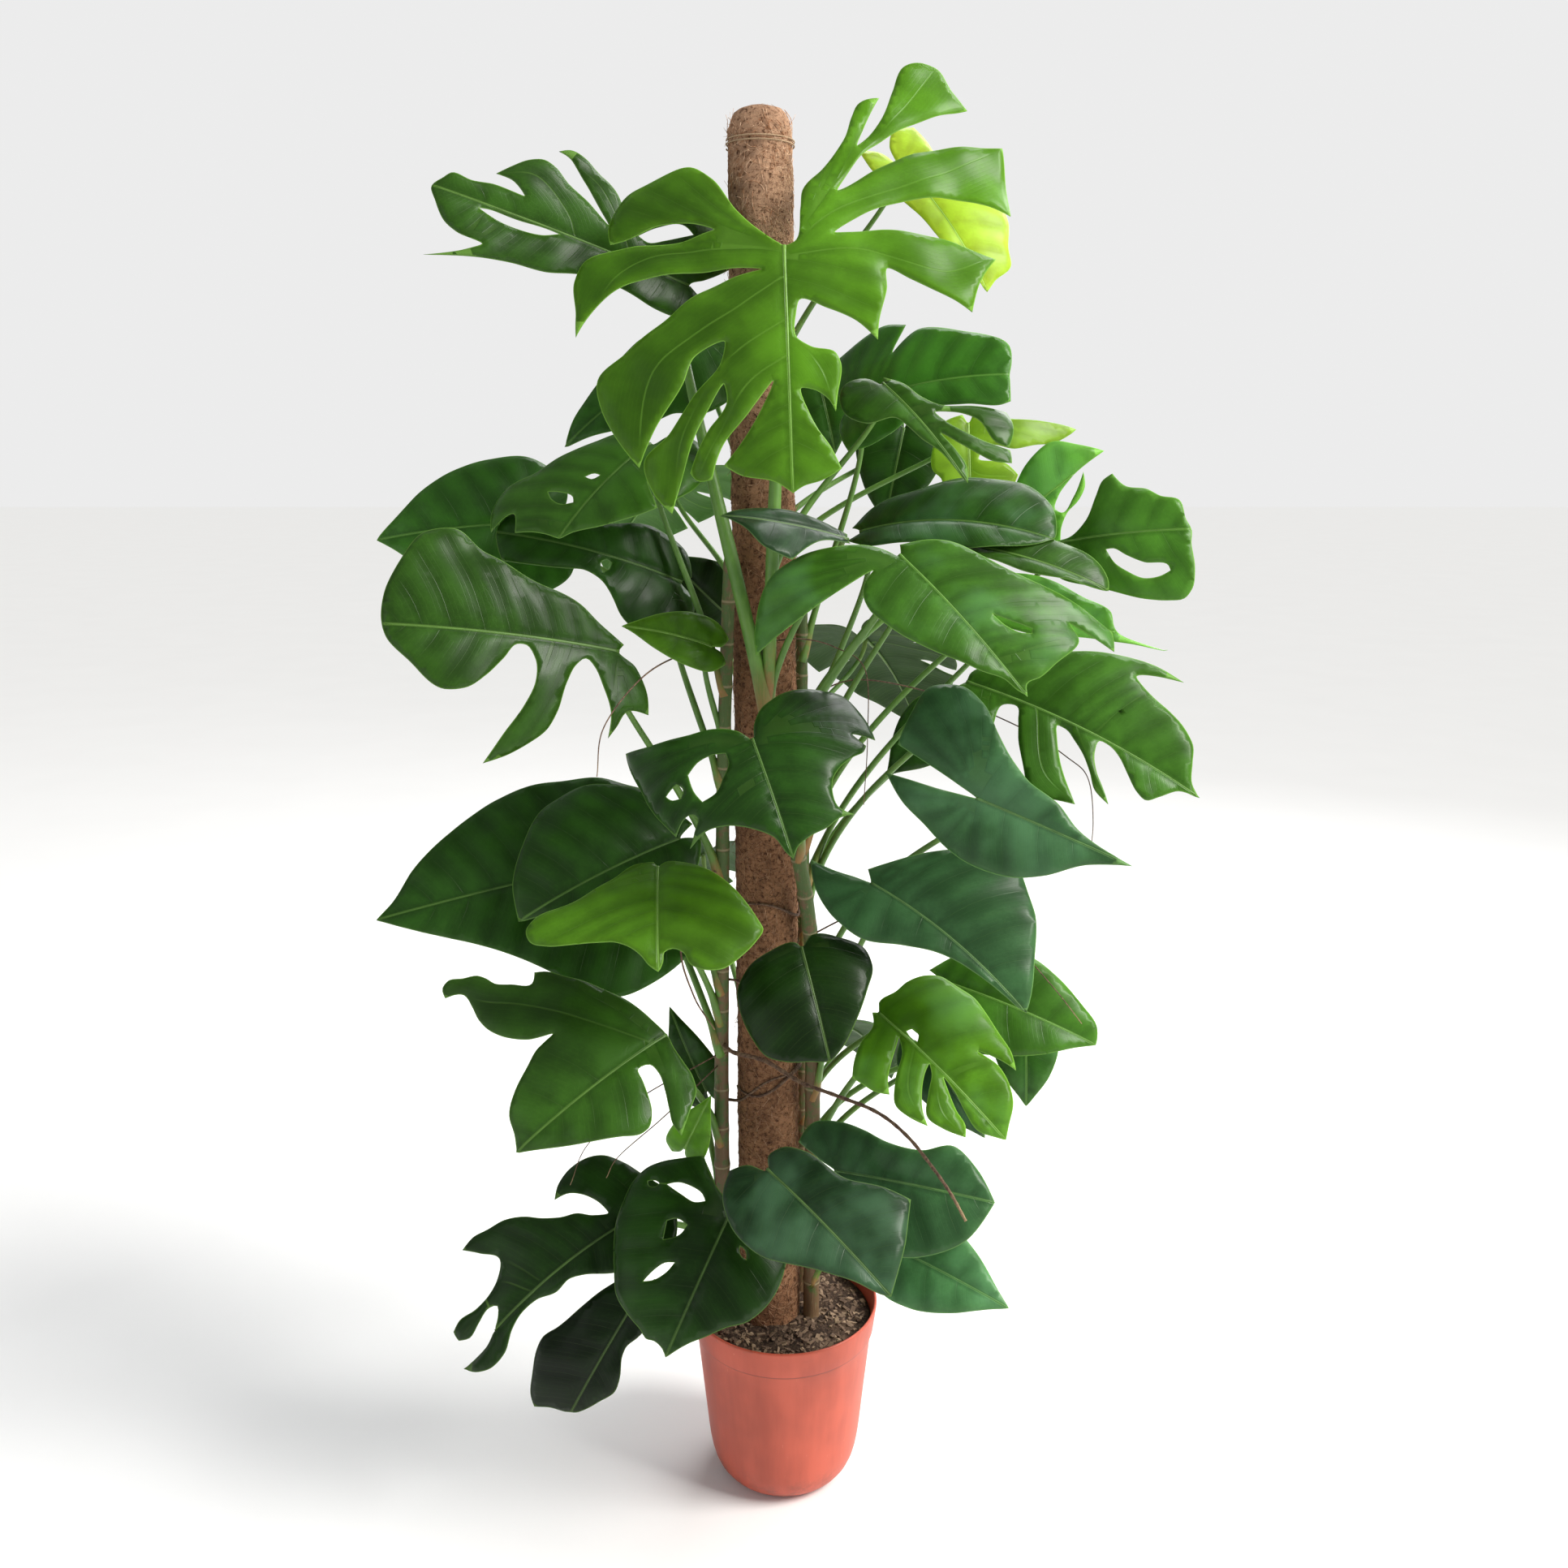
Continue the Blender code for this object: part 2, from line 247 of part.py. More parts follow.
FLAG_LEFT = [(-0.10, 0.04), (-0.03, 0.13), (0.14, 0.24), (0.36, 0.33), (0.55, 0.40), (0.68, 0.46),
    (0.79, 0.45), (0.93, 0.40), (1.09, 0.32), (1.13, 0.26), (1.07, 0.17)]
FLAG_RIGHT = [(-0.10, 0.04), (0.0, 0.20), (0.15, 0.19), (0.27, 0.16), (0.38, 0.12), (0.44, 0.13),
    (0.56, 0.19), (0.67, 0.21), (0.79, 0.15)]
SADDLE_RIGHT = [(-0.05, 0.05), (-0.02, 0.12), (0.12, 0.18), (0.40, 0.22), (0.60, 0.32),
    (0.74, 0.37), (0.88, 0.2), (0.97, 0.05)]
SADDLE_LEFT = [(-0.1, 0.05), (-0.16, 0.13), (-0.05, 0.25), (0.09, 0.31), (0.34, 0.31),
    (0.65, 0.16), (0.82, 0.08), (0.95, 0.03)]
TRAY_DOWN = [(-0.1, 0.05), (-0.1, 0.2), (0.2, 0.33), (0.6, 0.35), (0.87, 0.22)]
TRAY_UP = [(-0.10, 0.04), (-0.29, 0.12), (-0.21, 0.23), (-0.03, 0.26), (0.17, 0.23), (0.32, 0.19),
    (0.55, 0.18), (0.73, 0.23), (0.88, 0.14)]


class Leaf:
    """One leaf: where its stalk joins, its tip, the way its upper face looks, its halves and its bends.

    Holes are rings of points (forward, sideways) in leaf lengths, with the left side negative.
    """

    def __init__(self, name, base, tip, face, halves, colour, stem, node_height, **bends):
        self.name = name
        self.base = np.array(base)
        self.length = float(np.linalg.norm(np.array(tip) - self.base))
        self.forward = (np.array(tip) - self.base) / self.length
        face = np.array(face)
        face = face - face.dot(self.forward) * self.forward
        self.up = face / np.linalg.norm(face)
        self.side = np.cross(self.up, self.forward)
        self.halves = halves
        self.colour = colour
        self.stem = stem
        self.node_height = node_height
        self.width = bends.get("width", 1.0)
        self.arch = bends.get("arch", 0.08)
        self.sweep = bends.get("sweep", 0.0)
        self.fold = [math.radians(v) for v in bends.get("fold", (10, 10))]
        self.droop = [math.radians(v) for v in bends.get("droop", (30, 30))]
        self.swing = bends.get("swing", (0.0, 0.0, 0.0))
        self.holes = bends.get("holes", [])
        self.stalk = bends.get("stalk", 0.0045 + 0.0015 * min(1.0, self.length / 0.3))

    def place(self, x, y):
        """World point for the leaf-plane point x forward and y outward, in leaf lengths."""
        if x >= 0:
            height = 4 * self.arch * x * (1 - x)
            shift = 4 * self.sweep * x * (1 - x)
            rise = 4 * self.arch * (1 - 2 * x)
            turn = 4 * self.sweep * (1 - 2 * x)
        else:
            height = 4 * self.arch * x
            shift = 4 * self.sweep * x
            rise = 4 * self.arch
            turn = 4 * self.sweep
        point = self.base + self.length * (self.forward * x + self.up * height + self.side * shift)
        along = self.forward + self.up * rise + self.side * turn
        along = along / np.linalg.norm(along)
        across = self.side - self.side.dot(along) * along
        across = across / np.linalg.norm(across)
        normal = np.cross(along, across)
        half = 1 if y > 0 else 0
        reach = abs(y) * self.length
        out, lift = cross_section(reach, self.fold[half], self.droop[half], 0.5 * self.length)
        return point + across * out * (1 if half else -1) + normal * lift

    def stalk_seat(self):
        """Point just inside the blade's notch and the blade's normal there."""
        seat = self.place(0.03, 0.0)
        along = self.place(0.05, 0.0) - self.place(0.01, 0.0)
        across = self.side - self.side.dot(along) * along / along.dot(along)
        normal = np.cross(along, across)
        return Vector(seat), Vector(normal / np.linalg.norm(normal))


def cross_section(reach, fold, droop, half):
    """How far out and up a blade's half gets at a reach: it rises at the midrib and droops outward."""
    curl = droop / half
    start = -fold
    out = (math.sin(start + curl * reach) - math.sin(start)) / curl
    lift = (math.cos(start + curl * reach) - math.cos(start)) / curl
    return out, lift


def blade_rings(leaf):
    """The blade's margin and its holes as rings of leaf-plane points."""
    left, right = leaf.halves
    margin = [(0.0, 0.0)] + [(x, y) for x, y in right] + [(1.0, 0.0)] + [(x, -y) for x, y in reversed(left)]
    return [np.array(ring) * (1.0, leaf.width) for ring in [margin] + leaf.holes]


def inside(points, ring):
    """Whether each leaf-plane point lies inside a ring."""
    x, y = points[:, 0], points[:, 1]
    within = np.zeros(len(points), bool)
    for (ax, ay), (bx, by) in zip(ring, np.roll(ring, -1, axis=0)):
        if ay != by:
            within ^= ((ay > y) != (by > y)) & (x < (bx - ax) * (y - ay) / (by - ay) + ax)
    return within


def clearance(points, rings):
    """Distance from each leaf-plane point to the nearest ring."""
    nearest = np.full(len(points), np.inf)
    for ring in rings:
        for a, b in zip(ring, np.roll(ring, -1, axis=0)):
            share = np.clip(((points - a) @ (b - a)) / max(1e-12, (b - a) @ (b - a)), 0, 1)
            nearest = np.minimum(nearest, np.linalg.norm(points - a - share[:, None] * (b - a), axis=1))
    return nearest


def blade_surface(leaf):
    """Middle surface of a blade: points, half thickness at each and triangles."""
    rings = blade_rings(leaf)
    midrib = np.array([(x, 0.0) for x in MIDRIB_STOPS])
    steps = np.arange(-8, 9)
    lattice = np.array([(INNER_STEP * (i + 0.5 * (j % 2)), INNER_STEP * 0.87 * j) for j in steps if j for i in steps])
    inner = np.vstack((midrib, lattice))
    keep = inside(inner, rings[0]) & (clearance(inner, rings) > INNER_CLEAR)
    for hole in rings[1:]:
        keep &= ~inside(inner, hole)
    keep[: len(midrib)] |= clearance(midrib, rings) > MIDRIB_CLEAR
    keep[: len(midrib)] &= inside(midrib, rings[0])
    inner = inner[keep]
    edges = []
    first = 0
    for ring in rings:
        edges += [(first + k, first + (k + 1) % len(ring)) for k in range(len(ring))]
        first += len(ring)
    flat = np.vstack(rings + [inner])
    found = delaunay_2d_cdt([Vector(p) for p in flat], edges, [], 0, 1e-6)
    flat = np.array([tuple(p) for p in found[0]])
    faces = np.array([face for face in found[2]])
    centres = flat[faces].mean(axis=1)
    keep = inside(centres, rings[0])
    for hole in rings[1:]:
        keep &= ~inside(centres, hole)
    faces = faces[keep]
    a, b, c = (flat[faces[:, k]] for k in range(3))
    turn = (b[:, 0] - a[:, 0]) * (c[:, 1] - a[:, 1]) - (b[:, 1] - a[:, 1]) * (c[:, 0] - a[:, 0])
    faces = [tuple(face) if way > 0 else tuple(face[::-1]) for face, way in zip(faces.tolist(), turn)]
    points = np.array([leaf.place(x, y) for x, y in flat])
    thick = np.where(np.abs(flat[:, 1]) < 1e-6, MIDRIB_HALF, BLADE_HALF)
    return points, thick, faces


def surface_normals(points, faces):
    """Unit normal at each point, averaged over its triangles."""
    normals = np.zeros_like(points)
    for a, b, c in faces:
        normal = np.cross(points[b] - points[a], points[c] - points[a])
        for corner in (a, b, c):
            normals[corner] += normal
    return normals / np.linalg.norm(normals, axis=1)[:, None]


def make_blade(leaf):
    """Closed blade: the middle surface thickened to both sides, triangles alike on both."""
    points, thick, faces = blade_surface(leaf)
    normals = surface_normals(points, faces)
    count = len(points)
    top = points + normals * thick[:, None]
    under = points - normals * thick[:, None]
    edges = {}
    for a, b, c in faces:
        for start, end in ((a, b), (b, c), (c, a)):
            edges[(start, end)] = True
    solid = list(faces)
    solid += [(c + count, b + count, a + count) for a, b, c in faces]
    for start, end in edges:
        if (end, start) not in edges:
            solid.append((start + count, end + count, end, start))
    mesh = bpy.data.meshes.new(leaf.name)
    mesh.from_pydata([tuple(p) for p in np.vstack((top, under))], [], solid)
    mesh.update()
    obj = bpy.data.objects.new(leaf.name, mesh)
    return obj


# Climbing stems round the pole: path points and the radius at the foot and the top.
STEMS = {
    "stem_left": (
        [
            (-0.075, -0.005, 0.150),
            (-0.075, -0.005, 0.230),
            (-0.078, -0.010, 0.350),
            (-0.079, -0.015, 0.500),
            (-0.077, -0.020, 0.700),
            (-0.075, -0.025, 0.900),
            (-0.070, -0.040, 1.050),
            (-0.064, -0.050, 1.200),
        ],
        0.0105,
        0.0080,
    ),
    "stem_front": (
        [
            (0.035, -0.010, 0.150),
            (0.035, -0.010, 0.230),
            (0.036, -0.012, 0.350),
            (0.036, -0.014, 0.550),
            (0.034, -0.020, 0.700),
            (0.018, -0.048, 0.820),
            (-0.010, -0.064, 0.930),
            (-0.020, -0.067, 1.050),
            (-0.018, -0.066, 1.160),
        ],
        0.0110,
        0.0085,
    ),
    "stem_right": (
        [
            (0.022, 0.040, 0.150),
            (0.022, 0.040, 0.230),
            (0.024, 0.040, 0.500),
            (0.024, 0.038, 0.800),
            (0.022, 0.036, 1.000),
            (0.022, 0.032, 1.150),
        ],
        0.0105,
        0.0080,
    ),
    "stem_back": (
        [
            (-0.045, 0.058, 0.150),
            (-0.045, 0.058, 0.230),
            (-0.040, 0.060, 0.500),
            (-0.035, 0.060, 0.900),
            (-0.032, 0.058, 1.200),
            (-0.020, 0.056, 1.400),
        ],
        0.0100,
        0.0075,
    ),
}

LEAVES = [
    Leaf(
        "leaf_01", (0.000, -0.110, 1.545), (0.010, -0.200, 1.270), (0.0, -0.92, 0.35),
        (TOP_LEFT, TOP_RIGHT), BRIGHT, "stem_front", 1.02, arch=0.05, fold=(0.01, 0.01), droop=(10, 10),
        stalk=0.0098,
    ),
    Leaf(
        "leaf_02", (0.140, 0.070, 1.670), (0.245, 0.000, 1.505), (0.3, -0.85, 0.35),
        (SUNNY_LEFT, SUNNY_RIGHT), LIME, "stem_back", 1.33, width=0.9,
    ),
    Leaf(
        "leaf_03", (-0.115, 0.020, 1.515), (-0.405, -0.060, 1.620), (-0.2, -0.85, 0.45),
        (REACH_UP, REACH_DOWN), MID, "stem_front", 0.985, width=1.05, arch=0.02, holes=REACH_HOLES,
        stalk=0.0105, swing=(-0.045, -0.020, 0.0),
    ),
    Leaf(
        "leaf_04", (-0.100, 0.150, 1.460), (-0.280, 0.080, 1.320), (-0.2, -0.9, 0.3),
        (LEAN_LEFT, LEAN_RIGHT), DARK, "stem_back", 1.18, width=0.75,
    ),
    Leaf(
        "leaf_05", (0.080, 0.020, 1.370), (0.265, -0.050, 1.405), (0.2, -0.8, 0.5),
        (BLUNT_DOWN, BLUNT_UP), DARK, "stem_right", 1.05, width=1.1,
    ),
    Leaf(
        "leaf_06", (0.115, -0.060, 1.395), (0.205, -0.150, 1.280), (0.1, -0.8, 0.5),
        (FORK_LEFT, FORK_RIGHT), MID, "stem_front", 1.13, arch=0.06,
    ),
    Leaf(
        "leaf_07", (0.230, 0.050, 1.350), (0.230, 0.020, 1.170), (0.0, -0.95, 0.2),
        (YOUNG_LEFT, YOUNG_RIGHT), LIME, "stem_back", 1.10,
    ),
    Leaf(
        "leaf_08", (-0.160, -0.020, 1.325), (-0.260, -0.100, 1.215), (-0.2, -0.85, 0.4),
        (BROAD_UP, ONE_CUT), MID, "stem_left", 1.02, width=0.95, swing=(0.0, 0.03, 0.0),
        holes=BROAD_HOLES,
    ),
    Leaf(
        "leaf_09", (-0.310, 0.060, 1.224), (-0.505, 0.020, 1.205), (-0.2, -0.9, 0.3),
        (HEART, HEART), DARK, "stem_back", 0.98, width=0.92,
    ),
    Leaf(
        "leaf_10", (-0.125, 0.000, 1.155), (-0.340, -0.060, 1.220), (-0.1, -0.8, 0.5),
        (SHELF_UP, SHELF_DOWN), DARK, "stem_left", 0.90, width=1.1, holes=SHELF_HOLES,
    ),
    Leaf(
        "leaf_11", (-0.190, -0.110, 1.085), (-0.435, -0.210, 1.130), (-0.2, -0.85, 0.4),
        (CLAW_UP, CLAW_DOWN), MID, "stem_left", 0.78, width=1.05, arch=0.06,
    ),
    Leaf(
        "leaf_12", (-0.085, -0.070, 1.085), (-0.190, -0.090, 1.112), (-0.1, -0.8, 0.5),
        (HEART_SMALL, HEART_SMALL), BRIGHT, "stem_left", 0.96, width=0.62,
    ),
    Leaf(
        "leaf_13", (-0.075, 0.150, 1.095), (-0.160, 0.135, 1.180), (-0.1, -0.95, 0.2),
        (HEART_SMALL, HEART_SMALL), DARK, "stem_back", 0.88, width=0.9, swing=(0.0, 0.03, 0.0),
    ),
    Leaf(
        "leaf_14", (0.130, -0.140, 1.200), (0.260, -0.240, 1.055), (0.1, -0.85, 0.5),
        (GLOSS_LEFT, GLOSS_RIGHT), MID, "stem_front", 0.90, width=1.06, arch=0.05, swing=(0.0, 0.02, 0.0),
        holes=GLOSS_HOLES, stalk=0.0075,
    ),
    Leaf(
        "leaf_15", (0.090, -0.040, 1.220), (0.310, -0.110, 1.215), (0.1, -0.65, 0.75),
        (CANOPY_DOWN, CANOPY_UP), DARK, "stem_right", 0.92, width=1.3, arch=0.1,
    ),
    Leaf(
        "leaf_16", (0.075, -0.100, 1.215), (-0.070, -0.160, 1.245), (-0.1, -0.6, 0.8),
        (STRAP_UP, STRAP_DOWN), TEAL, "stem_front", 1.00, width=1.6, arch=0.03,
    ),
    Leaf(
        "leaf_17", (0.155, -0.090, 1.210), (0.365, -0.150, 1.160), (0.1, -0.6, 0.8),
        (CREST_DOWN, CREST_UP), MID, "stem_right", 0.86,
    ),
    Leaf(
        "leaf_18", (0.272, 0.066, 1.210), (0.400, 0.045, 1.315), (0.2, -0.85, 0.4),
        (PEAK_LEFT, PEAK_RIGHT), MID, "stem_right", 0.96, width=0.8,
    ),
    Leaf(
        "leaf_19", (0.320, 0.000, 1.200), (0.475, -0.080, 1.225), (0.3, -0.85, 0.3),
        (ISLAND_DOWN, ISLAND_UP), MID, "stem_right", 0.80, width=1.05, holes=ISLAND_HOLES,
    ),
    Leaf(
        "leaf_20", (0.215, -0.080, 1.045), (0.465, -0.180, 0.930), (0.2, -0.85, 0.4),
        (COMB_DOWN, COMB_UP), MID, "stem_right", 0.68, width=1.08, sweep=0.02, arch=0.05,
        swing=(-0.03, 0.0, 0.03),
    ),
    Leaf(
        "leaf_21", (0.211, -0.205, 0.936), (0.366, -0.280, 0.882), (0.1, -0.90, 0.25),
        (DROOP_DOWN, DROOP_UP), TEAL, "stem_front", 0.62, width=1.2, arch=0.03, swing=(0.0, 0.05, 0.03),
    ),
    Leaf(
        "leaf_22", (0.208, 0.092, 0.968), (0.132, 0.062, 0.898), (0.0, -0.9, 0.4),
        (HEART_SMALL, HEART_SMALL), DARK, "stem_right", 0.74, width=0.8,
    ),
    Leaf(
        "leaf_23", (0.100, -0.140, 0.820), (0.265, -0.240, 0.705), (0.1, -0.85, 0.5),
        (SHIELD_LEFT, SHIELD_RIGHT), TEAL, "stem_front", 0.56, width=1.05, sweep=0.03, arch=0.06,
    ),
    Leaf(
        "leaf_24", (-0.035, -0.190, 1.000), (0.010, -0.280, 0.890), (0.0, -0.85, 0.5),
        (STAR_LEFT, STAR_RIGHT), DARK, "stem_front", 0.82, holes=STAR_HOLES,
    ),
    Leaf(
        "leaf_25", (-0.125, -0.060, 0.850), (-0.310, -0.130, 0.770), (-0.1, -0.8, 0.5),
        (WING_LEFT, WING_RIGHT), DARK, "stem_left", 0.64,
    ),
    Leaf(
        "leaf_26", (-0.145, -0.140, 0.840), (-0.135, -0.260, 0.760), (0.0, -0.7, 0.7),
        (CAPE_LEFT, CAPE_RIGHT), BRIGHT, "stem_left", 0.60, width=1.2, fold=(5, 10), droop=(5, 15),
    ),
    Leaf(
        "leaf_27", (-0.150, 0.020, 0.810), (-0.490, -0.080, 0.755), (-0.2, -0.8, 0.5),
        (LONG_UP, LONG_DOWN), DARK, "stem_left", 0.56, width=1.1, arch=0.03,
    ),
    Leaf(
        "leaf_28", (-0.134, -0.170, 0.651), (-0.292, -0.260, 0.556), (-0.2, -0.8, 0.5),
        (HOOK_UP, HOOK_DOWN), MID, "stem_left", 0.44, droop=(6, 20), fold=(5, 10),
    ),
    Leaf(
        "leaf_29", (-0.125, -0.040, 0.445), (-0.090, -0.060, 0.525), (0.0, -0.9, 0.4),
        (HEART_SMALL, HEART_SMALL), BRIGHT, "stem_left", 0.34, width=0.6,
    ),
    Leaf(
        "leaf_30", (0.020, -0.170, 0.755), (0.050, -0.250, 0.655), (0.0, -0.85, 0.5),
        (APRON_LEFT, APRON_RIGHT), DARK, "stem_front", 0.50,
    ),
    Leaf(
        "leaf_31", (0.110, -0.140, 0.665), (0.245, -0.240, 0.560), (0.1, -0.8, 0.5),
        (SPLIT_LEFT, SPLIT_RIGHT), BRIGHT, "stem_front", 0.42, holes=SPLIT_HOLES,
    ),
    Leaf(
        "leaf_32", (0.190, -0.080, 0.680), (0.365, -0.140, 0.625), (0.1, -0.8, 0.5),
        (HEART, SLIM_RIGHT), MID, "stem_right", 0.44, width=0.75,
    ),
    Leaf(
        "leaf_33", (0.295, -0.060, 0.615), (0.295, -0.080, 0.520), (0.0, -0.9, 0.4),
        (HEART_SMALL, HEART_SMALL), DARK, "stem_right", 0.38, width=0.85,
    ),
    Leaf(
        "leaf_34", (0.170, -0.080, 0.595), (0.240, -0.120, 0.500), (0.0, -0.9, 0.4),
        (HEART_SMALL, HEART_SMALL), TEAL, "stem_right", 0.34, width=0.65,
    ),
    Leaf(
        "leaf_35", (-0.165, -0.080, 0.390), (-0.380, -0.160, 0.235), (-0.2, -0.8, 0.5),
        (ANTLER_UP, ANTLER_DOWN), DARK, "stem_left", 0.28, sweep=-0.04,
    ),
    Leaf(
        "leaf_36", (-0.065, -0.140, 0.415), (-0.135, -0.220, 0.290), (0.0, -0.8, 0.5),
        (WINDOW_LEFT, WINDOW_RIGHT), DARK, "stem_left", 0.25, width=1.05, holes=WINDOW_HOLES,
    ),
    Leaf(
        "leaf_37", (-0.175, -0.080, 0.285), (-0.260, -0.120, 0.150), (-0.1, -0.9, 0.4),
        (FLAG_LEFT, FLAG_RIGHT), DARK, "stem_left", 0.235,
    ),
    Leaf(
        "leaf_38", (-0.020, -0.180, 0.495), (0.115, -0.300, 0.415), (0.1, -0.8, 0.6),
        (SADDLE_LEFT, SADDLE_RIGHT), TEAL, "stem_front", 0.28, width=1.2,
    ),
    Leaf(
        "leaf_39", (0.060, -0.120, 0.460), (0.240, -0.200, 0.465), (0.1, -0.8, 0.5),
        (TRAY_DOWN, TRAY_UP), TEAL, "stem_front", 0.32, width=1.1,
    ),
    Leaf(
        "leaf_40", (0.140, -0.140, 0.370), (0.255, -0.220, 0.350), (0.1, -0.8, 0.5),
        (HEART_SMALL, HEART_SMALL), TEAL, "stem_front", 0.25, width=0.75,
    ),
    Leaf(
        "leaf_41", (-0.150, 0.200, 1.280), (-0.260, 0.320, 1.140), (-0.4, 0.7, 0.6),
        (TWO_CUTS, TWO_CUTS), MID, "stem_back", 1.05, width=0.95,
    ),
    Leaf(
        "leaf_42", (0.110, 0.210, 1.060), (0.200, 0.340, 0.900), (0.3, 0.75, 0.6),
        (TWO_CUTS, ONE_CUT), MID, "stem_back", 0.82, width=0.95,
    ),
    Leaf(
        "leaf_43", (-0.110, 0.190, 0.760), (-0.200, 0.310, 0.600), (-0.3, 0.75, 0.6),
        (ONE_CUT, TWO_CUTS), DARK, "stem_back", 0.50, width=0.9,
    ),
    Leaf(
        "leaf_44", (0.080, 0.170, 0.520), (0.160, 0.280, 0.390), (0.3, 0.75, 0.6),
        (HEART, HEART), DARK, "stem_back", 0.28, width=0.85,
    ),
    Leaf(
        "leaf_45", (0.158, 0.140, 1.345), (0.132, 0.130, 1.218), (0.0, -0.9, 0.4),
        (HEART, HEART), DARK, "stem_back", 1.15, width=0.9,
    ),
    Leaf(
        "leaf_46", (0.265, -0.020, 1.129), (0.452, -0.080, 1.083), (0.1, -0.8, 0.5),
        (BEAK_DOWN, BEAK_UP), MID, "stem_right", 0.74, arch=0.04,
    ),
    Leaf(
        "leaf_47", (0.046, 0.130, 1.404), (0.067, 0.120, 1.310), (0.0, -0.9, 0.4),
        (HEART_SMALL, HEART_SMALL), DARK, "stem_back", 1.24, width=0.9,
    ),
    Leaf(
        "leaf_48", (-0.101, 0.040, 0.482), (-0.149, 0.040, 0.598), (-0.1, -0.9, 0.3),
        (HEART_SMALL, HEART_SMALL), DARK, "stem_left", 0.37, width=0.5, swing=(-0.01, 0.06, 0.0),
    ),
]

# Aerial roots: the stem each grows from, its path and its radius.
ROOTS = [
    (
        "stem_left",
        [
            (-0.079, -0.014, 0.575),
            (-0.064, -0.040, 0.572),
            (-0.024, -0.052, 0.566),
            (0.020, -0.068, 0.546),
            (0.062, -0.110, 0.549),
            (0.108, -0.150, 0.548),
            (0.141, -0.180, 0.534),
            (0.169, -0.205, 0.508),
            (0.188, -0.220, 0.485),
            (0.203, -0.230, 0.460),
        ],
        0.0022,
    ),
]


def smooth_path(points, steps):
    """Points of a smooth path through the given ones."""
    count = len(points)
    path = []
    for i in range(count - 1):
        b = Vector(points[i])
        c = Vector(points[i + 1])
        a = Vector(points[i - 1]) if i > 0 else b * 2 - c
        d = Vector(points[i + 2]) if i + 2 < count else c * 2 - b
        for step in range(steps):
            t = step / steps
            bend = a * 2 - b * 5 + c * 4 - d
            twist = b * 3 - a - c * 3 + d
            path.append((b * 2 + (c - a) * t + bend * t * t + twist * t ** 3) * 0.5)
    path.append(Vector(points[-1]))
    return path


def new_collection(name, hidden=False):
    collection = bpy.data.collections.new(name)
    bpy.context.scene.collection.children.link(collection)
    collection.hide_render = hidden
    return collection


def paint(obj, colour, roughness, metallic=0.0):
    material = bpy.data.materials.new(obj.name)
    material.use_nodes = True
    shader = material.node_tree.nodes["Principled BSDF"]
    shader.inputs["Base Color"].default_value = (*colour, 1.0)
    shader.inputs["Roughness"].default_value = roughness
    shader.inputs["Metallic"].default_value = metallic
    obj.data.materials.clear()
    obj.data.materials.append(material)


def shade_round(obj, angle=40.0):
    mesh = obj.data
    mesh.polygons.foreach_set("use_smooth", [True] * len(mesh.polygons))
    mesh.set_sharp_from_angle(angle=math.radians(angle))


def turned(name, profile, steps, collection):
    """Solid turned about Z from a profile at +X that runs down its outer side."""
    mesh = bpy.data.meshes.new(name)
    mesh.from_pydata([(r, 0.0, z) for r, z in profile], [(i, i + 1) for i in range(len(profile) - 1)], [])
    obj = bpy.data.objects.new(name, mesh)
    collection.objects.link(obj)
    screw = obj.modifiers.new("turn", "SCREW")
    screw.axis = "Z"
    screw.angle = math.radians(360.0)
    screw.steps = steps
    screw.render_steps = steps
    screw.use_merge_vertices = True
    screw.merge_threshold = 0.0001
    apply_modifiers(obj)
    return obj


def apply_modifiers(obj):
    """The object's mesh with its modifiers worked in."""
    bpy.context.view_layer.update()
    graph = bpy.context.evaluated_depsgraph_get()
    mesh = bpy.data.meshes.new_from_object(obj.evaluated_get(graph))
    obj.modifiers.clear()
    obj.data = mesh


def tube(name, path, radii, sides, collection):
    """Round tube along a path with flat welded ends."""
    curve = bpy.data.curves.new(name, "CURVE")
    curve.dimensions = "3D"
    curve.bevel_depth = 1.0
    curve.bevel_resolution = (sides - 4) // 2
    curve.use_fill_caps = True
    spline = curve.splines.new("POLY")
    spline.points.add(len(path) - 1)
    for point, place, radius in zip(spline.points, path, radii):
        point.co = (*place, 1.0)
        point.radius = radius
    source = bpy.data.objects.new(name + "_path", curve)
    collection.objects.link(source)
    bpy.context.view_layer.update()
    mesh = bpy.data.meshes.new_from_object(source)
    mesh.transform(source.matrix_world)
    bpy.data.objects.remove(source)
    work = bmesh.new()
    work.from_mesh(mesh)
    bmesh.ops.remove_doubles(work, verts=work.verts, dist=0.00005)
    bmesh.ops.recalc_face_normals(work, faces=work.faces)
    work.to_mesh(mesh)
    work.free()
    obj = bpy.data.objects.new(name, mesh)
    collection.objects.link(obj)
    return obj


def union(obj, extras):
    """One body from the object and the bodies in a collection, which is emptied."""
    joined_up = obj.modifiers.new("union", "BOOLEAN")
    joined_up.operation = "UNION"
    joined_up.solver = "EXACT"
    joined_up.operand_type = "COLLECTION"
    joined_up.collection = extras
    apply_modifiers(obj)
    for extra in list(extras.objects):
        bpy.data.objects.remove(extra)


def cut(obj, extras):
    """Takes the bodies in a collection out of the object and empties the collection."""
    cutter = obj.modifiers.new("cut", "BOOLEAN")
    cutter.operation = "DIFFERENCE"
    cutter.solver = "EXACT"
    cutter.operand_type = "COLLECTION"
    cutter.collection = extras
    apply_modifiers(obj)
    for extra in list(extras.objects):
        bpy.data.objects.remove(extra)


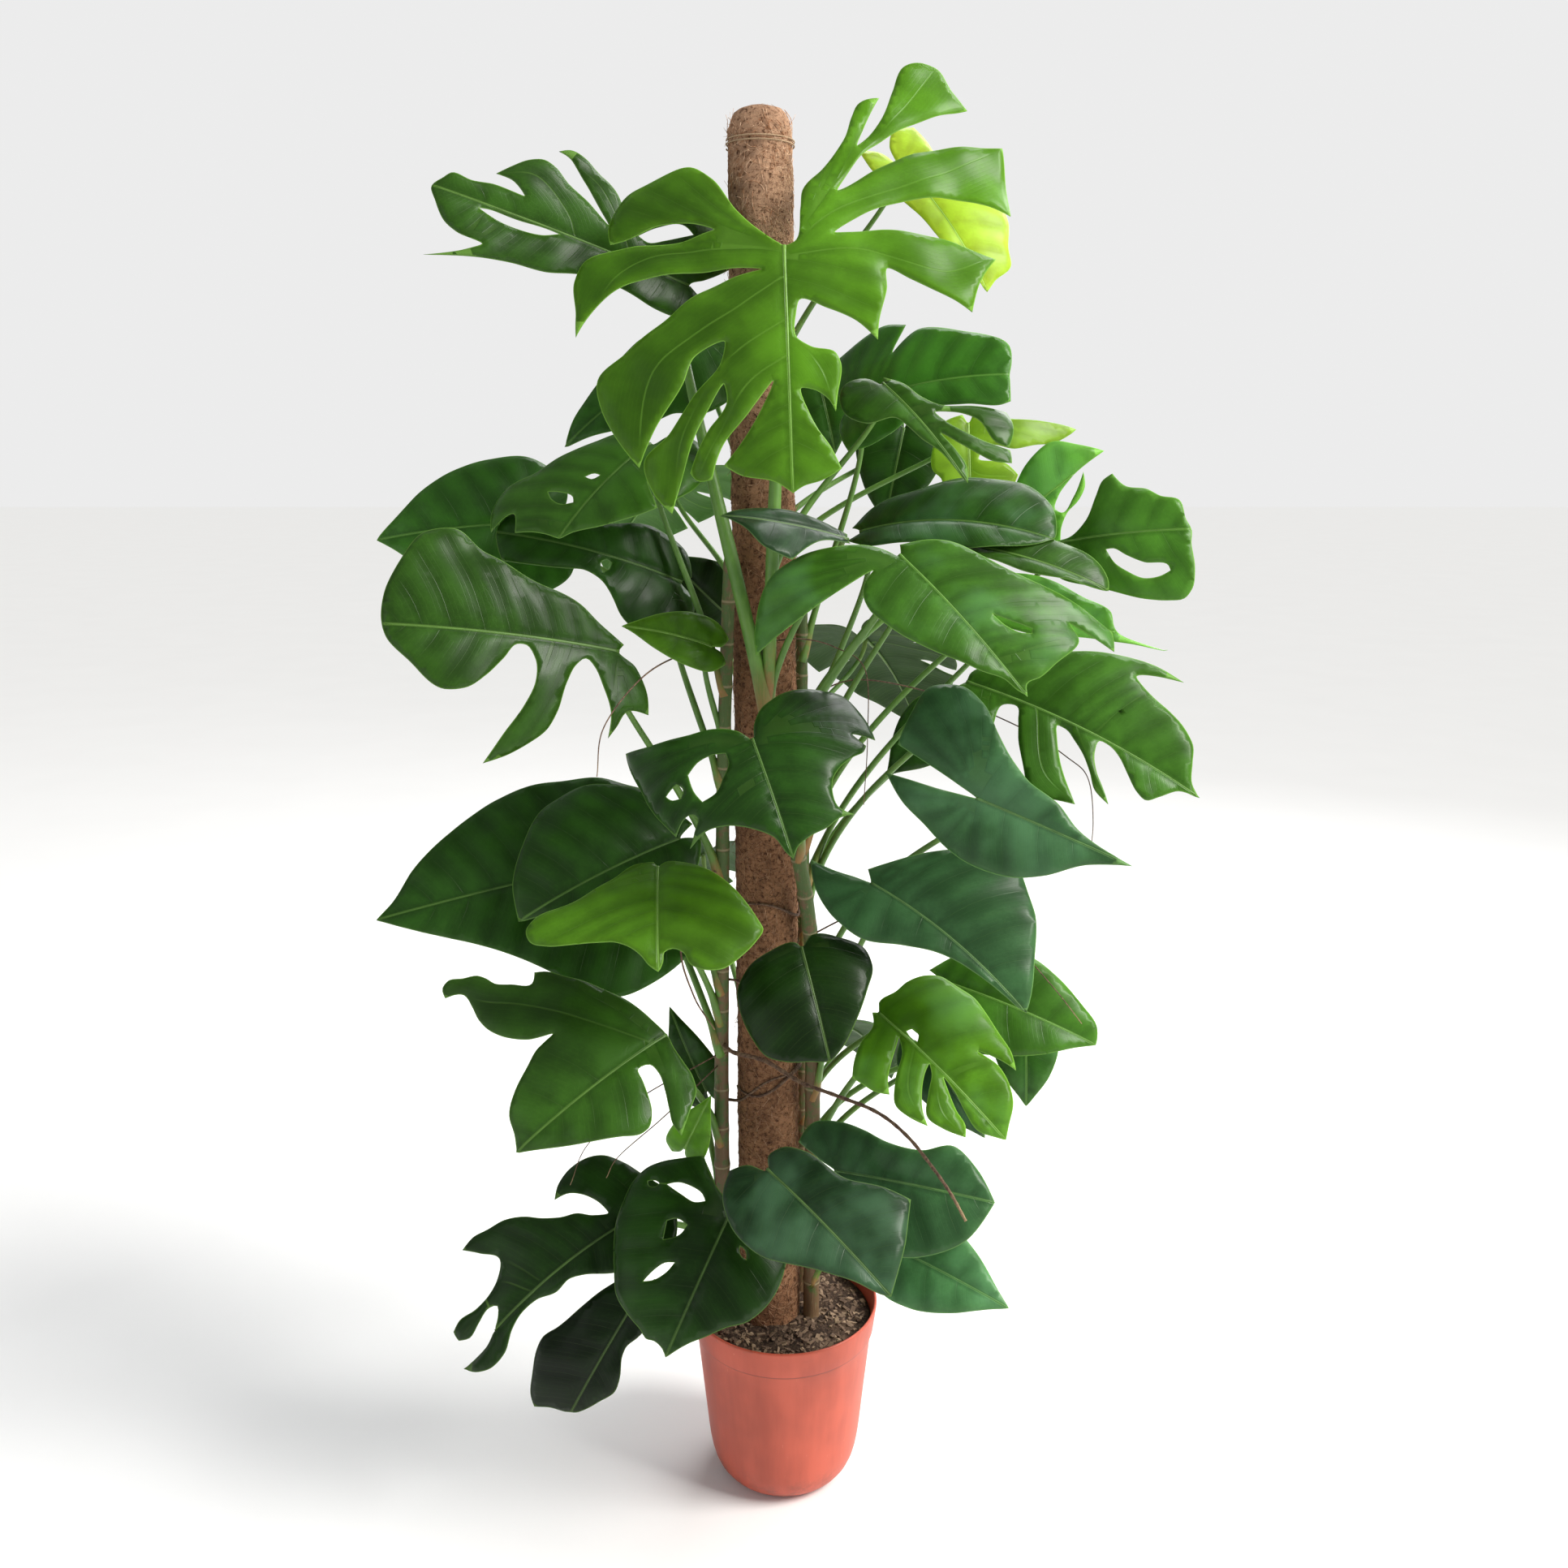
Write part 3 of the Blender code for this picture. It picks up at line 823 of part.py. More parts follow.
def cylinder(name, foot, top, radius, sides, collection):
    """Closed cylinder between two points."""
    foot = Vector(foot)
    top = Vector(top)
    mesh = bpy.data.meshes.new(name)
    work = bmesh.new()
    bmesh.ops.create_cone(
        work, cap_ends=True, segments=sides, radius1=radius, radius2=radius, depth=(top - foot).length
    )
    work.to_mesh(mesh)
    work.free()
    obj = bpy.data.objects.new(name, mesh)
    obj.location = (foot + top) / 2
    obj.rotation_mode = "QUATERNION"
    obj.rotation_quaternion = Vector((0, 0, 1)).rotation_difference(top - foot)
    obj.display_type = "WIRE"
    collection.objects.link(obj)
    return obj


def make_pot(parts, cutters):
    """Moulded nursery pot: flat foot, rounded lower edge, step below the rim and round drain holes."""
    outside = [
        (0.1180, 0.2250),
        (0.1195, 0.2245),
        (POT_RIM_RADIUS, 0.2225),
        (0.1150, 0.1905),
        (0.1125, 0.1885),
        (0.0975, 0.0600),
        (0.0940, 0.0380),
        (0.0865, 0.0180),
        (0.0740, 0.0055),
        (0.0600, 0.0),
        (0.0, 0.0),
    ]
    inside = [(0.0, POT_FLOOR), (0.0590, POT_FLOOR), (0.0912, 0.0390), (0.1100, 0.1885), (0.1165, 0.2235)]
    pot = turned("pot", inside + outside, POT_SIDES, parts)
    for i in range(4):
        angle = math.radians(45.0 + 90.0 * i)
        x = DRAIN_RING * 0.6 * math.cos(angle)
        y = DRAIN_RING * 0.6 * math.sin(angle)
        cylinder("drain_%d" % i, (x, y, -0.01), (x, y, 0.01), DRAIN_RADIUS, 8, cutters)
    cut(pot, cutters)
    shade_round(pot)
    paint(pot, (0.55, 0.14, 0.07), 0.45)


def make_soil(parts, cutters):
    """Potting soil up to just below the rim, with plain holes for the pole and the stems."""
    profile = [
        (0.0, 0.2070),
        (0.0800, 0.2075),
        (0.1113, 0.2030),
        (0.1096, 0.1885),
        (0.0908, 0.0392),
        (0.0588, POT_FLOOR + GAP),
        (0.0, POT_FLOOR + GAP),
    ]
    soil = turned("soil", profile, POT_SIDES, parts)
    axis = (POLE_TOP - POLE_FOOT).normalized()
    cylinder(
        "pole_hole", POLE_FOOT - axis * GAP, POLE_FOOT + axis * 0.25, COIR_RADIUS + GAP * 1.1, 24, cutters
    )
    for name, (path, foot_radius, top_radius) in STEMS.items():
        foot = Vector(path[0]) - Vector((0, 0, GAP))
        cylinder(name + "_hole", foot, foot + Vector((0, 0, 0.08)), foot_radius + 0.0006, 12, cutters)
    cut(soil, cutters)
    shade_round(soil)
    paint(soil, (0.05, 0.03, 0.02), 0.95)


def make_pole(parts, cutters):
    """Coir sleeve with a rounded closed top over a round wooden stake."""
    length = (POLE_TOP - POLE_FOOT).length
    r = COIR_RADIUS
    profile = [(0.0, length), (0.5 * r, length - 0.002), (0.82 * r, length - 0.009),
        (0.97 * r, length - 0.022)]
    profile += [(r, length - 0.040), (r, 0.0), (0.0, 0.0)]
    coir = turned("coir_sleeve", profile, 24, parts)
    lean = Vector((0, 0, 1)).rotation_difference(POLE_TOP - POLE_FOOT).to_matrix().to_4x4()
    lean.translation = POLE_FOOT
    coir.data.transform(lean)
    axis = (POLE_TOP - POLE_FOOT).normalized()
    bore_top = POLE_FOOT + axis * (length - 0.020)
    cylinder("bore", POLE_FOOT - axis * 0.01, bore_top, STAKE_RADIUS + GAP * 1.1, 12, cutters)
    cut(coir, cutters)
    shade_round(coir)
    paint(coir, (0.30, 0.14, 0.06), 0.95)
    stake = cylinder("stake", POLE_FOOT, bore_top - axis * GAP, STAKE_RADIUS, 12, parts)
    bpy.context.view_layer.update()
    stake.data.transform(stake.matrix_world)
    stake.location = (0, 0, 0)
    stake.rotation_quaternion = (1, 0, 0, 0)
    stake.display_type = "TEXTURED"
    shade_round(stake)
    paint(stake, (0.42, 0.28, 0.15), 0.8)


def make_twine(parts):
    """Twine wound twice round the sleeve just below its top."""
    axis = (POLE_TOP - POLE_FOOT).normalized()
    across = axis.cross(Vector((0, 1, 0))).normalized()
    ahead = axis.cross(across)
    start = POLE_TOP - axis * 0.040
    radius = 0.0010
    path = []
    steps = 36
    for i in range(steps + 1):
        angle = 2 * math.pi * 2.0 * i / steps
        ring = (COIR_RADIUS + radius + GAP) / math.cos(math.pi / 24)
        out = across * math.cos(angle) + ahead * math.sin(angle)
        path.append(start + out * ring - axis * 0.010 * i / steps)
    twine = tube("twine", path, [radius] * len(path), 4, parts)
    shade_round(twine)
    paint(twine, (0.45, 0.30, 0.16), 0.9)


def stem_point(path, height):
    """Point of a stem's path at a height."""
    for a, b in zip(path[:-1], path[1:]):
        if a.z <= height <= b.z:
            return a.lerp(b, (height - a.z) / (b.z - a.z))
    return path[-1].copy()


def seat_below(blade, seat, normal, radius):
    """Point a gap clear under a blade's midrib for a flat stalk end of a radius."""
    across = normal.orthogonal().normalized()
    ahead = normal.cross(across)
    clear = []
    for out in (0.0, 1.0):
        for i in range(8):
            angle = math.pi * i / 4
            offset = (across * math.cos(angle) + ahead * math.sin(angle)) * radius * out
            start = seat + offset - normal * 0.02
            hit, place, facing, face = blade.ray_cast(start, normal)
            if hit:
                clear.append((place - start).length)
    return seat + normal * (min(clear) - 0.02 - GAP)


def stalk_path(start, outward, seat, normal, swing):
    """Leaf stalk: up and out from the stem, then over to meet the blade square from behind."""
    reach = (seat - start).length
    rise = start + Vector((0, 0, 1)) * 0.40 * reach + outward * 0.12 * reach + Vector(swing)
    toward = (normal * 0.8 + Vector((0, 0, 1)) * 0.35).normalized()
    near = seat - toward * min(0.25 * reach, 0.07)
    tail = seat - normal * 0.006
    points = []
    steps = 4
    for i in range(steps + 1):
        t = i / steps
        points.append(
            start * (1 - t) ** 3 + rise * 3 * t * (1 - t) ** 2 + near * 3 * t * t * (1 - t) + tail * t ** 3
        )
    points.append(seat)
    return points


def make_stem(name, blades, parts, extras):
    """Climbing stem with the stalks of its leaves and its aerial roots, one body."""
    points, foot_radius, top_radius = STEMS[name]
    path = smooth_path(points, 2)
    count = len(path)
    radii = [foot_radius + (top_radius - foot_radius) * i / (count - 1) for i in range(count)]
    radii[-1] = top_radius * 0.6
    stem = tube(name, path, radii, 6, parts)
    axis = (POLE_TOP - POLE_FOOT).normalized()
    for leaf in LEAVES:
        if leaf.stem != name:
            continue
        start = stem_point(path, leaf.node_height)
        foot = POLE_FOOT + axis * ((start - POLE_FOOT).dot(axis))
        outward = (start - foot).normalized()
        seat, normal = leaf.stalk_seat()
        seat = seat_below(blades[leaf.name], seat, normal, STALK_END)
        line = stalk_path(start, outward, seat, normal, leaf.swing)
        last = len(line) - 1
        widths = [leaf.stalk + (STALK_END - leaf.stalk) * (i / last) ** 0.6 for i in range(last + 1)]
        tube(leaf.name + "_stalk", line, widths, 6, extras)
    for number, (owner, root, radius) in enumerate(ROOTS):
        if owner == name:
            line = smooth_path(root, 2)
            tube("root_%d" % number, line, [radius] * (len(line) - 1) + [radius * 0.5], 6, extras)
    union(stem, extras)
    shade_round(stem, 50.0)
    paint(stem, (0.10, 0.17, 0.05), 0.5)


def main():
    for obj in list(bpy.data.objects):
        bpy.data.objects.remove(obj)
    parts = new_collection(NAME)
    cutters = new_collection("cutters", hidden=True)
    make_pot(parts, cutters)
    make_soil(parts, cutters)
    make_pole(parts, cutters)
    make_twine(parts)
    blades = {}
    for leaf in LEAVES:
        blade = make_blade(leaf)
        parts.objects.link(blade)
        shade_round(blade, 60.0)
        paint(blade, leaf.colour, 0.4)
        blades[leaf.name] = blade
    bpy.context.view_layer.update()
    for name in STEMS:
        make_stem(name, blades, parts, cutters)


main()
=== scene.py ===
"""Finished look of a swiss cheese plant on a coir pole in a nursery pot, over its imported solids."""

import json
import math

import bmesh
import bpy
import numpy as np
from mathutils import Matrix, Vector
from mathutils.geometry import delaunay_2d_cdt
from mathutils.kdtree import KDTree

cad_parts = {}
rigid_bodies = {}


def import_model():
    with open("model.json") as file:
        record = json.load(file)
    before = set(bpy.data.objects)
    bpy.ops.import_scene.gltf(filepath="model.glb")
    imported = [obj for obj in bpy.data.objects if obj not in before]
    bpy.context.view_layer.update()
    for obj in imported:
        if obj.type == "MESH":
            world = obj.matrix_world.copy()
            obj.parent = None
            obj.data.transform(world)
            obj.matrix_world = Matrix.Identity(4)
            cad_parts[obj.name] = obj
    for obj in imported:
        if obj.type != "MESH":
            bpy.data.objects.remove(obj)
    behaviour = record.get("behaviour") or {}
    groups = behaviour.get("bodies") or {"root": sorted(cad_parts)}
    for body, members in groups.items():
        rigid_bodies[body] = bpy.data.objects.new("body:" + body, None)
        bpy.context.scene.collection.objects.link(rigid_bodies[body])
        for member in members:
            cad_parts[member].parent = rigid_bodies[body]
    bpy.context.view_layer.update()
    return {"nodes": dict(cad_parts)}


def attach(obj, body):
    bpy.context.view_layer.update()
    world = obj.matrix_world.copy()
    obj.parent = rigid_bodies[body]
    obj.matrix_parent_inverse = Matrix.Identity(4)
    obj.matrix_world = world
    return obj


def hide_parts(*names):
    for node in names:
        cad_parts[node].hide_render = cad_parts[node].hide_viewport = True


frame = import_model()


# Nursery pot
# A thin polypropylene pot, injection moulded in a terracotta colour. A step below the rim stiffens it.
# The plant stands straight in it, and surplus water leaves through the round holes in its foot.
POT_OUTSIDE = [
    (0.1168, 0.2241), (0.1175, 0.2248), (0.1186, 0.2250), (0.1196, 0.2246), (0.1200, 0.2236),
    (0.1199, 0.2215), (0.1176, 0.2060), (0.1155, 0.1917), (0.1152, 0.1908), (0.1146, 0.1902),
    (0.1135, 0.1898), (0.1129, 0.1894), (0.1126, 0.1885), (0.1100, 0.1660), (0.1052, 0.1250),
    (0.1012, 0.0900), (0.0978, 0.0600), (0.0958, 0.0460), (0.0938, 0.0360), (0.0908, 0.0255),
    (0.0868, 0.0170), (0.0810, 0.0095), (0.0740, 0.0045), (0.0670, 0.0014), (0.0600, 0.0), (0.0550, 0.0),
    (0.0530, 0.0012), (0.0, 0.0012),
]
POT_INSIDE = [
    (0.0, 0.0040), (0.0590, 0.0040), (0.0760, 0.0120), (0.0880, 0.0300), (0.0925, 0.0500),
    (0.1100, 0.1885), (0.1160, 0.2225),
]
DRAIN_RING = 0.0432
DRAIN_RADIUS = 0.006
TERRACOTTA = (0.56, 0.098, 0.052)
TERRACOTTA_SHADE = (0.38, 0.060, 0.030)
SCUFF = (0.70, 0.24, 0.16)


def lathe(name, profile, sides):
    """Object turned about the upright axis from a profile of (radius, height) points."""
    rings = []
    points = []
    for radius, height in profile:
        if radius == 0.0:
            rings.append([len(points)])
            points.append((0.0, 0.0, height))
        else:
            rings.append(list(range(len(points), len(points) + sides)))
            turns = [2 * math.pi * k / sides for k in range(sides)]
            points += [(radius * math.cos(a), radius * math.sin(a), height) for a in turns]
    faces = []
    for low, high in zip(rings[:-1], rings[1:]):
        for k in range(sides):
            n = (k + 1) % sides
            corners = [low[k % len(low)], high[k % len(high)], high[n % len(high)], low[n % len(low)]]
            faces.append(list(dict.fromkeys(corners)))
    mesh = bpy.data.meshes.new(name)
    mesh.from_pydata(points, [], faces)
    return show(name, mesh)


def show(name, mesh):
    piece = bpy.data.objects.new(name, mesh)
    bpy.context.scene.collection.objects.link(piece)
    return piece


def smooth(piece, angle=40.0):
    mesh = piece.data
    mesh.polygons.foreach_set("use_smooth", [True] * len(mesh.polygons))
    mesh.set_sharp_from_angle(angle=math.radians(angle))
    return piece


class Wire:
    """The output of a node in a material: arithmetic on it adds Math nodes, node() adds any other."""

    def __init__(self, tree, port=None):
        self.tree = tree
        self.port = port

    def node(self, kind, settings=(), sockets=(), out=0):
        """Adds a node, sets it up, fills its sockets and gives the wire of one output."""
        made = self.tree.nodes.new("ShaderNode" + kind)
        for name, value in dict(settings).items():
            if name == "stops":
                ramp = made.color_ramp
                while len(ramp.elements) < len(value):
                    ramp.elements.new(0.5)
                for element, (place, colour) in zip(ramp.elements, value):
                    element.position = place
                    element.color = (*colour, 1.0)
            else:
                setattr(made, name, value)
        for name, value in dict(sockets).items():
            socket = made.inputs[name]
            if isinstance(value, Wire):
                self.tree.links.new(value.port, socket)
            elif isinstance(value, tuple) and len(value) == 3 and socket.type == "RGBA":
                socket.default_value = (*value, 1.0)
            else:
                socket.default_value = value
        return Wire(self.tree, made.outputs[out] if made.outputs else None)

    def math(self, operation, *others):
        sockets = {0: self}
        for k, other in enumerate(others):
            sockets[k + 1] = other
        return self.node("Math", {"operation": operation}, sockets)

    def reverse(self, operation, other):
        return self.node("Math", {"operation": operation}, {0: other, 1: self})

    def __add__(self, other):
        return self.math("ADD", other)

    def __sub__(self, other):
        return self.math("SUBTRACT", other)

    def __mul__(self, other):
        return self.math("MULTIPLY", other)

    def __truediv__(self, other):
        return self.math("DIVIDE", other)

    def __pow__(self, other):
        return self.math("POWER", other)

    def __radd__(self, other):
        return self.reverse("ADD", other)

    def __rsub__(self, other):
        return self.reverse("SUBTRACT", other)

    def __rmul__(self, other):
        return self.reverse("MULTIPLY", other)

    def __rtruediv__(self, other):
        return self.reverse("DIVIDE", other)

    def rise(self, low, high):
        """0 below low, 1 above high and smooth between; low above high falls instead."""
        settings = {"interpolation_type": "SMOOTHSTEP"}
        if low <= high:
            return self.node("MapRange", settings, {"Value": self, "From Min": low, "From Max": high})
        return 1 - self.node("MapRange", settings, {"Value": self, "From Min": high, "From Max": low})

    def blend(self, a, b):
        """Colour a where this wire is 0 and colour b where it is 1."""
        return self.node("Mix", {"data_type": "RGBA"}, {0: self, 6: a, 7: b}, 2)

    def noise(self, where, scale, detail=3.0, rough=0.55):
        sockets = {"Vector": where, "Scale": scale, "Detail": detail, "Roughness": rough}
        return self.node("TexNoise", {}, sockets)

    def stretched(self, where, scale):
        """Coordinates stretched or squeezed along each axis."""
        return self.node("Mapping", {}, {"Vector": where, "Scale": scale})


def material(name):
    """Empty material, with its tree's wire and its place coordinates."""
    made = bpy.data.materials.new(name)
    made.use_nodes = True
    tree = made.node_tree
    tree.nodes.clear()
    start = Wire(tree)
    place = start.node("TexCoord", out="Object")
    return made, start, place


def surface(start, colour, roughness, normal=None, settings=None):
    """Main shader with a colour and a roughness wire, wired to the material's output."""
    sockets = {"Base Color": colour, "Roughness": roughness}
    if normal is not None:
        sockets["Normal"] = normal
    sockets.update(settings or {})
    shader = start.node("BsdfPrincipled", {}, sockets)
    start.node("OutputMaterial", {}, {"Surface": shader})
    return shader


def bump(start, height, strength, distance):
    return start.node("Bump", {}, {"Height": height, "Strength": strength, "Distance": distance}, "Normal")


pot = lathe("pot_shell", POT_INSIDE + POT_OUTSIDE, 144)
drills = bpy.data.collections.new("drain_drills")
bpy.context.scene.collection.children.link(drills)
for k in range(4):
    angle = math.radians(45.0 + 90.0 * k)
    drill_mesh = bpy.data.meshes.new("drill")
    work = bmesh.new()
    bmesh.ops.create_cone(work, cap_ends=True, segments=32, radius1=DRAIN_RADIUS, radius2=DRAIN_RADIUS,
        depth=0.02)
    work.to_mesh(drill_mesh)
    work.free()
    drill = bpy.data.objects.new("drill", drill_mesh)
    drill.location = (DRAIN_RING * math.cos(angle), DRAIN_RING * math.sin(angle), 0.0)
    drills.objects.link(drill)
bore = pot.modifiers.new("drain", "BOOLEAN")
bore.operand_type = "COLLECTION"
bore.collection = drills
bore.solver = "EXACT"
bpy.context.view_layer.update()
bored = bpy.data.meshes.new_from_object(pot.evaluated_get(bpy.context.evaluated_depsgraph_get()))
pot.modifiers.clear()
pot.data = bored
for drill in list(drills.objects):
    bpy.data.objects.remove(drill)
bpy.data.collections.remove(drills)
smooth(pot, 50.0)

plastic, start, place = material("terracotta_plastic")
streaks = start.noise(start.stretched(place, (30.0, 30.0, 2.5)), 1.0, 4.0)
cloud = start.noise(place, 9.0, 3.0)
scratch = start.noise(start.stretched(place, (420.0, 420.0, 60.0)), 1.0, 2.0).rise(0.70, 0.76)
smudge = start.noise(place, 60.0, 5.0, 0.7)
height = start.node("SeparateXYZ", {}, {0: place}, 2)
low_dirt = height.rise(0.05, 0.012) * smudge.rise(0.42, 0.66)
rim_dirt = height.rise(0.205, 0.224) * smudge.rise(0.52, 0.72)
tint = (streaks * 0.5 + cloud * 0.5).rise(0.35, 0.65).blend(TERRACOTTA_SHADE, TERRACOTTA)
tint = (scratch * cloud.rise(0.45, 0.6) * 0.55).blend(tint, SCUFF)
# Painted shade: a dark line along the step below the rim, where shade falls under the step.
painted_step_shade = height.rise(0.1880, 0.1893) * height.rise(0.1925, 0.1906)
tint = (painted_step_shade * 0.75).blend(tint, (0.12, 0.020, 0.012))
tint = (low_dirt * 0.45 + rim_dirt * 0.35).blend(tint, (0.09, 0.045, 0.03))
grain = start.noise(place, 900.0, 2.0)
relief = bump(start, grain * 0.35 + streaks * 0.65, 0.12, 0.0012)
surface(start, tint, 0.40 + cloud * 0.12 + scratch * 0.15, relief, {"IOR": 1.49})
pot.data.materials.append(plastic)
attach(pot, "root")
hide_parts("pot")


# Potting soil
# A moist mix of peat, composted bark and a little grit, filled to just below the rim and settled by watering.
# Bark chips lie loose on top, round the foot of the pole and the stems.
SOIL_LEVEL = 0.2070
SOIL_DIP = 0.004
SOIL_REACH = 0.1112
SOIL_PROFILE = [
    (SOIL_REACH, 0.2030), (0.1096, 0.1885), (0.0908, 0.0392), (0.0588, 0.0043), (0.0, 0.0043),
]
SOIL_RINGS = 34
SOIL_SPOKES = 132
PEAT = (0.030, 0.017, 0.011)
PEAT_DRY = (0.115, 0.070, 0.045)
BARK = (0.11, 0.055, 0.028)
BARK_PALE = (0.34, 0.235, 0.150)
chance = np.random.default_rng(7)


def lumps(x, y):
    """Height of the settled soil over its flat level, from a few crossing waves."""
    height = np.zeros_like(x)
    for k in range(26):
        turn = 2.4 * k
        pace = 55.0 + 21.0 * k
        wave_run = x * math.cos(turn) + y * math.sin(turn)
        height += math.sin(1.7 * k + 0.4) * np.sin(wave_run * pace + k) * 14.0 / pace
    return height * 0.010


soil_points = [(0.0, 0.0, SOIL_LEVEL)]
for ring in range(1, SOIL_RINGS + 1):
    reach = SOIL_REACH * ring / SOIL_RINGS
    for k in range(SOIL_SPOKES):
        turn = 2 * math.pi * k / SOIL_SPOKES
        x, y = reach * math.cos(turn), reach * math.sin(turn)
        level = SOIL_LEVEL - SOIL_DIP * (ring / SOIL_RINGS) ** 3
        rim_fade = min(1.0, (SOIL_RINGS - ring) / 3)
        soil_points.append((x, y, level + float(lumps(np.array(x), np.array(y))) * rim_fade))
soil_faces = [(0, 1 + k, 1 + (k + 1) % SOIL_SPOKES) for k in range(SOIL_SPOKES)]
for ring in range(1, SOIL_RINGS):
    base = 1 + (ring - 1) * SOIL_SPOKES
    for k in range(SOIL_SPOKES):
        n = (k + 1) % SOIL_SPOKES
        soil_faces.append((base + k, base + SOIL_SPOKES + k, base + SOIL_SPOKES + n, base + n))
rim = 1 + (SOIL_RINGS - 1) * SOIL_SPOKES
for radius, level in SOIL_PROFILE[1:-1]:
    for k in range(SOIL_SPOKES):
        turn = 2 * math.pi * k / SOIL_SPOKES
        soil_points.append((radius * math.cos(turn), radius * math.sin(turn), level))
    for k in range(SOIL_SPOKES):
        n = (k + 1) % SOIL_SPOKES
        soil_faces.append((rim + k, rim + SOIL_SPOKES + k, rim + SOIL_SPOKES + n, rim + n))
    rim += SOIL_SPOKES
soil_points.append((0.0, 0.0, SOIL_PROFILE[-1][1]))
soil_faces += [(rim + (k + 1) % SOIL_SPOKES, rim + k, len(soil_points) - 1) for k in range(SOIL_SPOKES)]
soil_mesh = bpy.data.meshes.new("soil_bed")
soil_mesh.from_pydata(soil_points, [], soil_faces)
soil = smooth(show("soil_bed", soil_mesh), 60.0)
peat, start, place = material("potting_soil")
crumb = start.noise(place, 260.0, 6.0, 0.7)
patch = start.noise(place, 38.0, 4.0)
tint = (crumb * 0.6 + patch * 0.4).rise(0.42, 0.66).blend(PEAT, PEAT_DRY)
fleck = start.noise(place, 620.0, 2.0).rise(0.66, 0.72)
tint = (fleck * 0.7).blend(tint, BARK_PALE)
surface(start, tint, 0.92 - patch * 0.15, bump(start, crumb, 0.9, 0.004), {"Specular IOR Level": 0.25})
soil.data.materials.append(peat)
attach(soil, "root")
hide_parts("soil")

chip_points = []
chip_faces = []
chip_tones = []
CHIPS = 900
CHIP_REACH = 0.106
for k in range(CHIPS):
    reach = CHIP_REACH * math.sqrt(chance.random())
    turn = chance.uniform(0, 2 * math.pi)
    centre = np.array((reach * math.cos(turn), reach * math.sin(turn), 0.0))
    sink = SOIL_DIP * (reach / SOIL_REACH) ** 3
    level = SOIL_LEVEL - sink + float(lumps(centre[0], centre[1]))
    centre[2] = level + chance.uniform(-0.0018, 0.0006)
    size = np.array((chance.uniform(0.0015, 0.0055), chance.uniform(0.0010, 0.0026),
        chance.uniform(0.0005, 0.0014)))
    spin = chance.uniform(0, 2 * math.pi)
    tilt = chance.uniform(-0.5, 0.5)
    ahead = np.array((math.cos(spin) * math.cos(tilt), math.sin(spin) * math.cos(tilt), math.sin(tilt)))
    aside = np.array((-math.sin(spin), math.cos(spin), chance.uniform(-0.3, 0.3)))
    aside = aside / np.linalg.norm(aside)
    above = np.cross(ahead, aside)
    first = len(chip_points)
    for a, b, c in ((-1, -1, -1), (1, -1, -1), (1, 1, -1), (-1, 1, -1), (-1, -1, 1), (1, -1, 1), (1, 1, 1),
        (-1, 1, 1)):
        rough = 1 + chance.uniform(-0.35, 0.35, 3)
        corner = centre + ahead * a * size[0] * rough[0] + aside * b * size[1] * rough[1]
        corner = corner + above * c * size[2] * rough[2]
        chip_points.append(tuple(corner))
    for quad in ((0, 3, 2, 1), (4, 5, 6, 7), (0, 1, 5, 4), (1, 2, 6, 5), (2, 3, 7, 6), (3, 0, 4, 7)):
        chip_faces.append(tuple(first + q for q in quad))
    chip_tones += [chance.random() ** 3.5] * 8
chip_mesh = bpy.data.meshes.new("bark_chips")
chip_mesh.from_pydata(chip_points, [], chip_faces)
tone = chip_mesh.attributes.new("tone", "FLOAT", "POINT")
tone.data.foreach_set("value", chip_tones)
chips = show("bark_chips", chip_mesh)
bark, start, place = material("bark_chip")
tone = start.node("Attribute", {"attribute_name": "tone"}, {}, "Fac")
fibre = start.noise(start.stretched(place, (300.0, 900.0, 700.0)), 1.0, 4.0)
tint = (tone * 0.8 + fibre * 0.3).rise(0.0, 1.0).blend(PEAT_DRY, BARK_PALE)
tint = fibre.rise(0.55, 0.75).blend(tint, BARK)
surface(start, tint, 0.85 + fibre * 0.1, bump(start, fibre, 0.6, 0.001))
chips.data.materials.append(bark)
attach(chips, "root")


# Coir pole
# A round wooden stake carries a sleeve of matted coconut fibre, which the roots grip. The mat is needled
# together, paler where it is dry at the top and red-brown where it is moist. Twine holds its upper edge.
POLE_FOOT = np.array((-0.017, 0.0, 0.030))
POLE_TOP = np.array((-0.0285, 0.0, 1.722))
POLE_RADIUS = 0.039
COIR_PALE = (0.66, 0.40, 0.25)
COIR_TAN = (0.40, 0.185, 0.085)
COIR_DARK = (0.060, 0.024, 0.012)
TWINE = (0.50, 0.36, 0.22)
pole_axis = (POLE_TOP - POLE_FOOT) / np.linalg.norm(POLE_TOP - POLE_FOOT)
pole_length = float(np.linalg.norm(POLE_TOP - POLE_FOOT))
pole_across = np.cross(pole_axis, (0.0, 1.0, 0.0))
pole_across = pole_across / np.linalg.norm(pole_across)
pole_ahead = np.cross(pole_axis, pole_across)


def on_pole(height, turn, radius):
    """Points at heights along the pole, turned about it, at a distance from its axis."""
    height, turn, radius = np.broadcast_arrays(height, turn, radius)
    out = pole_across * np.cos(turn)[..., None] + pole_ahead * np.sin(turn)[..., None]
    return POLE_FOOT + pole_axis * height[..., None] + out * radius[..., None]


def mat_swell(height, turn):
    """How far the needled mat swells and sinks about its round shape."""
    swell = np.sin(height * 31 + 3 * turn) * 0.5 + np.sin(height * 83 - 2 * turn + 1.0) * 0.4
    swell = swell + np.sin(height * 190 + 5 * turn) * 0.3 + np.sin(height * 410 - 9 * turn) * 0.2
    return swell * 0.0011


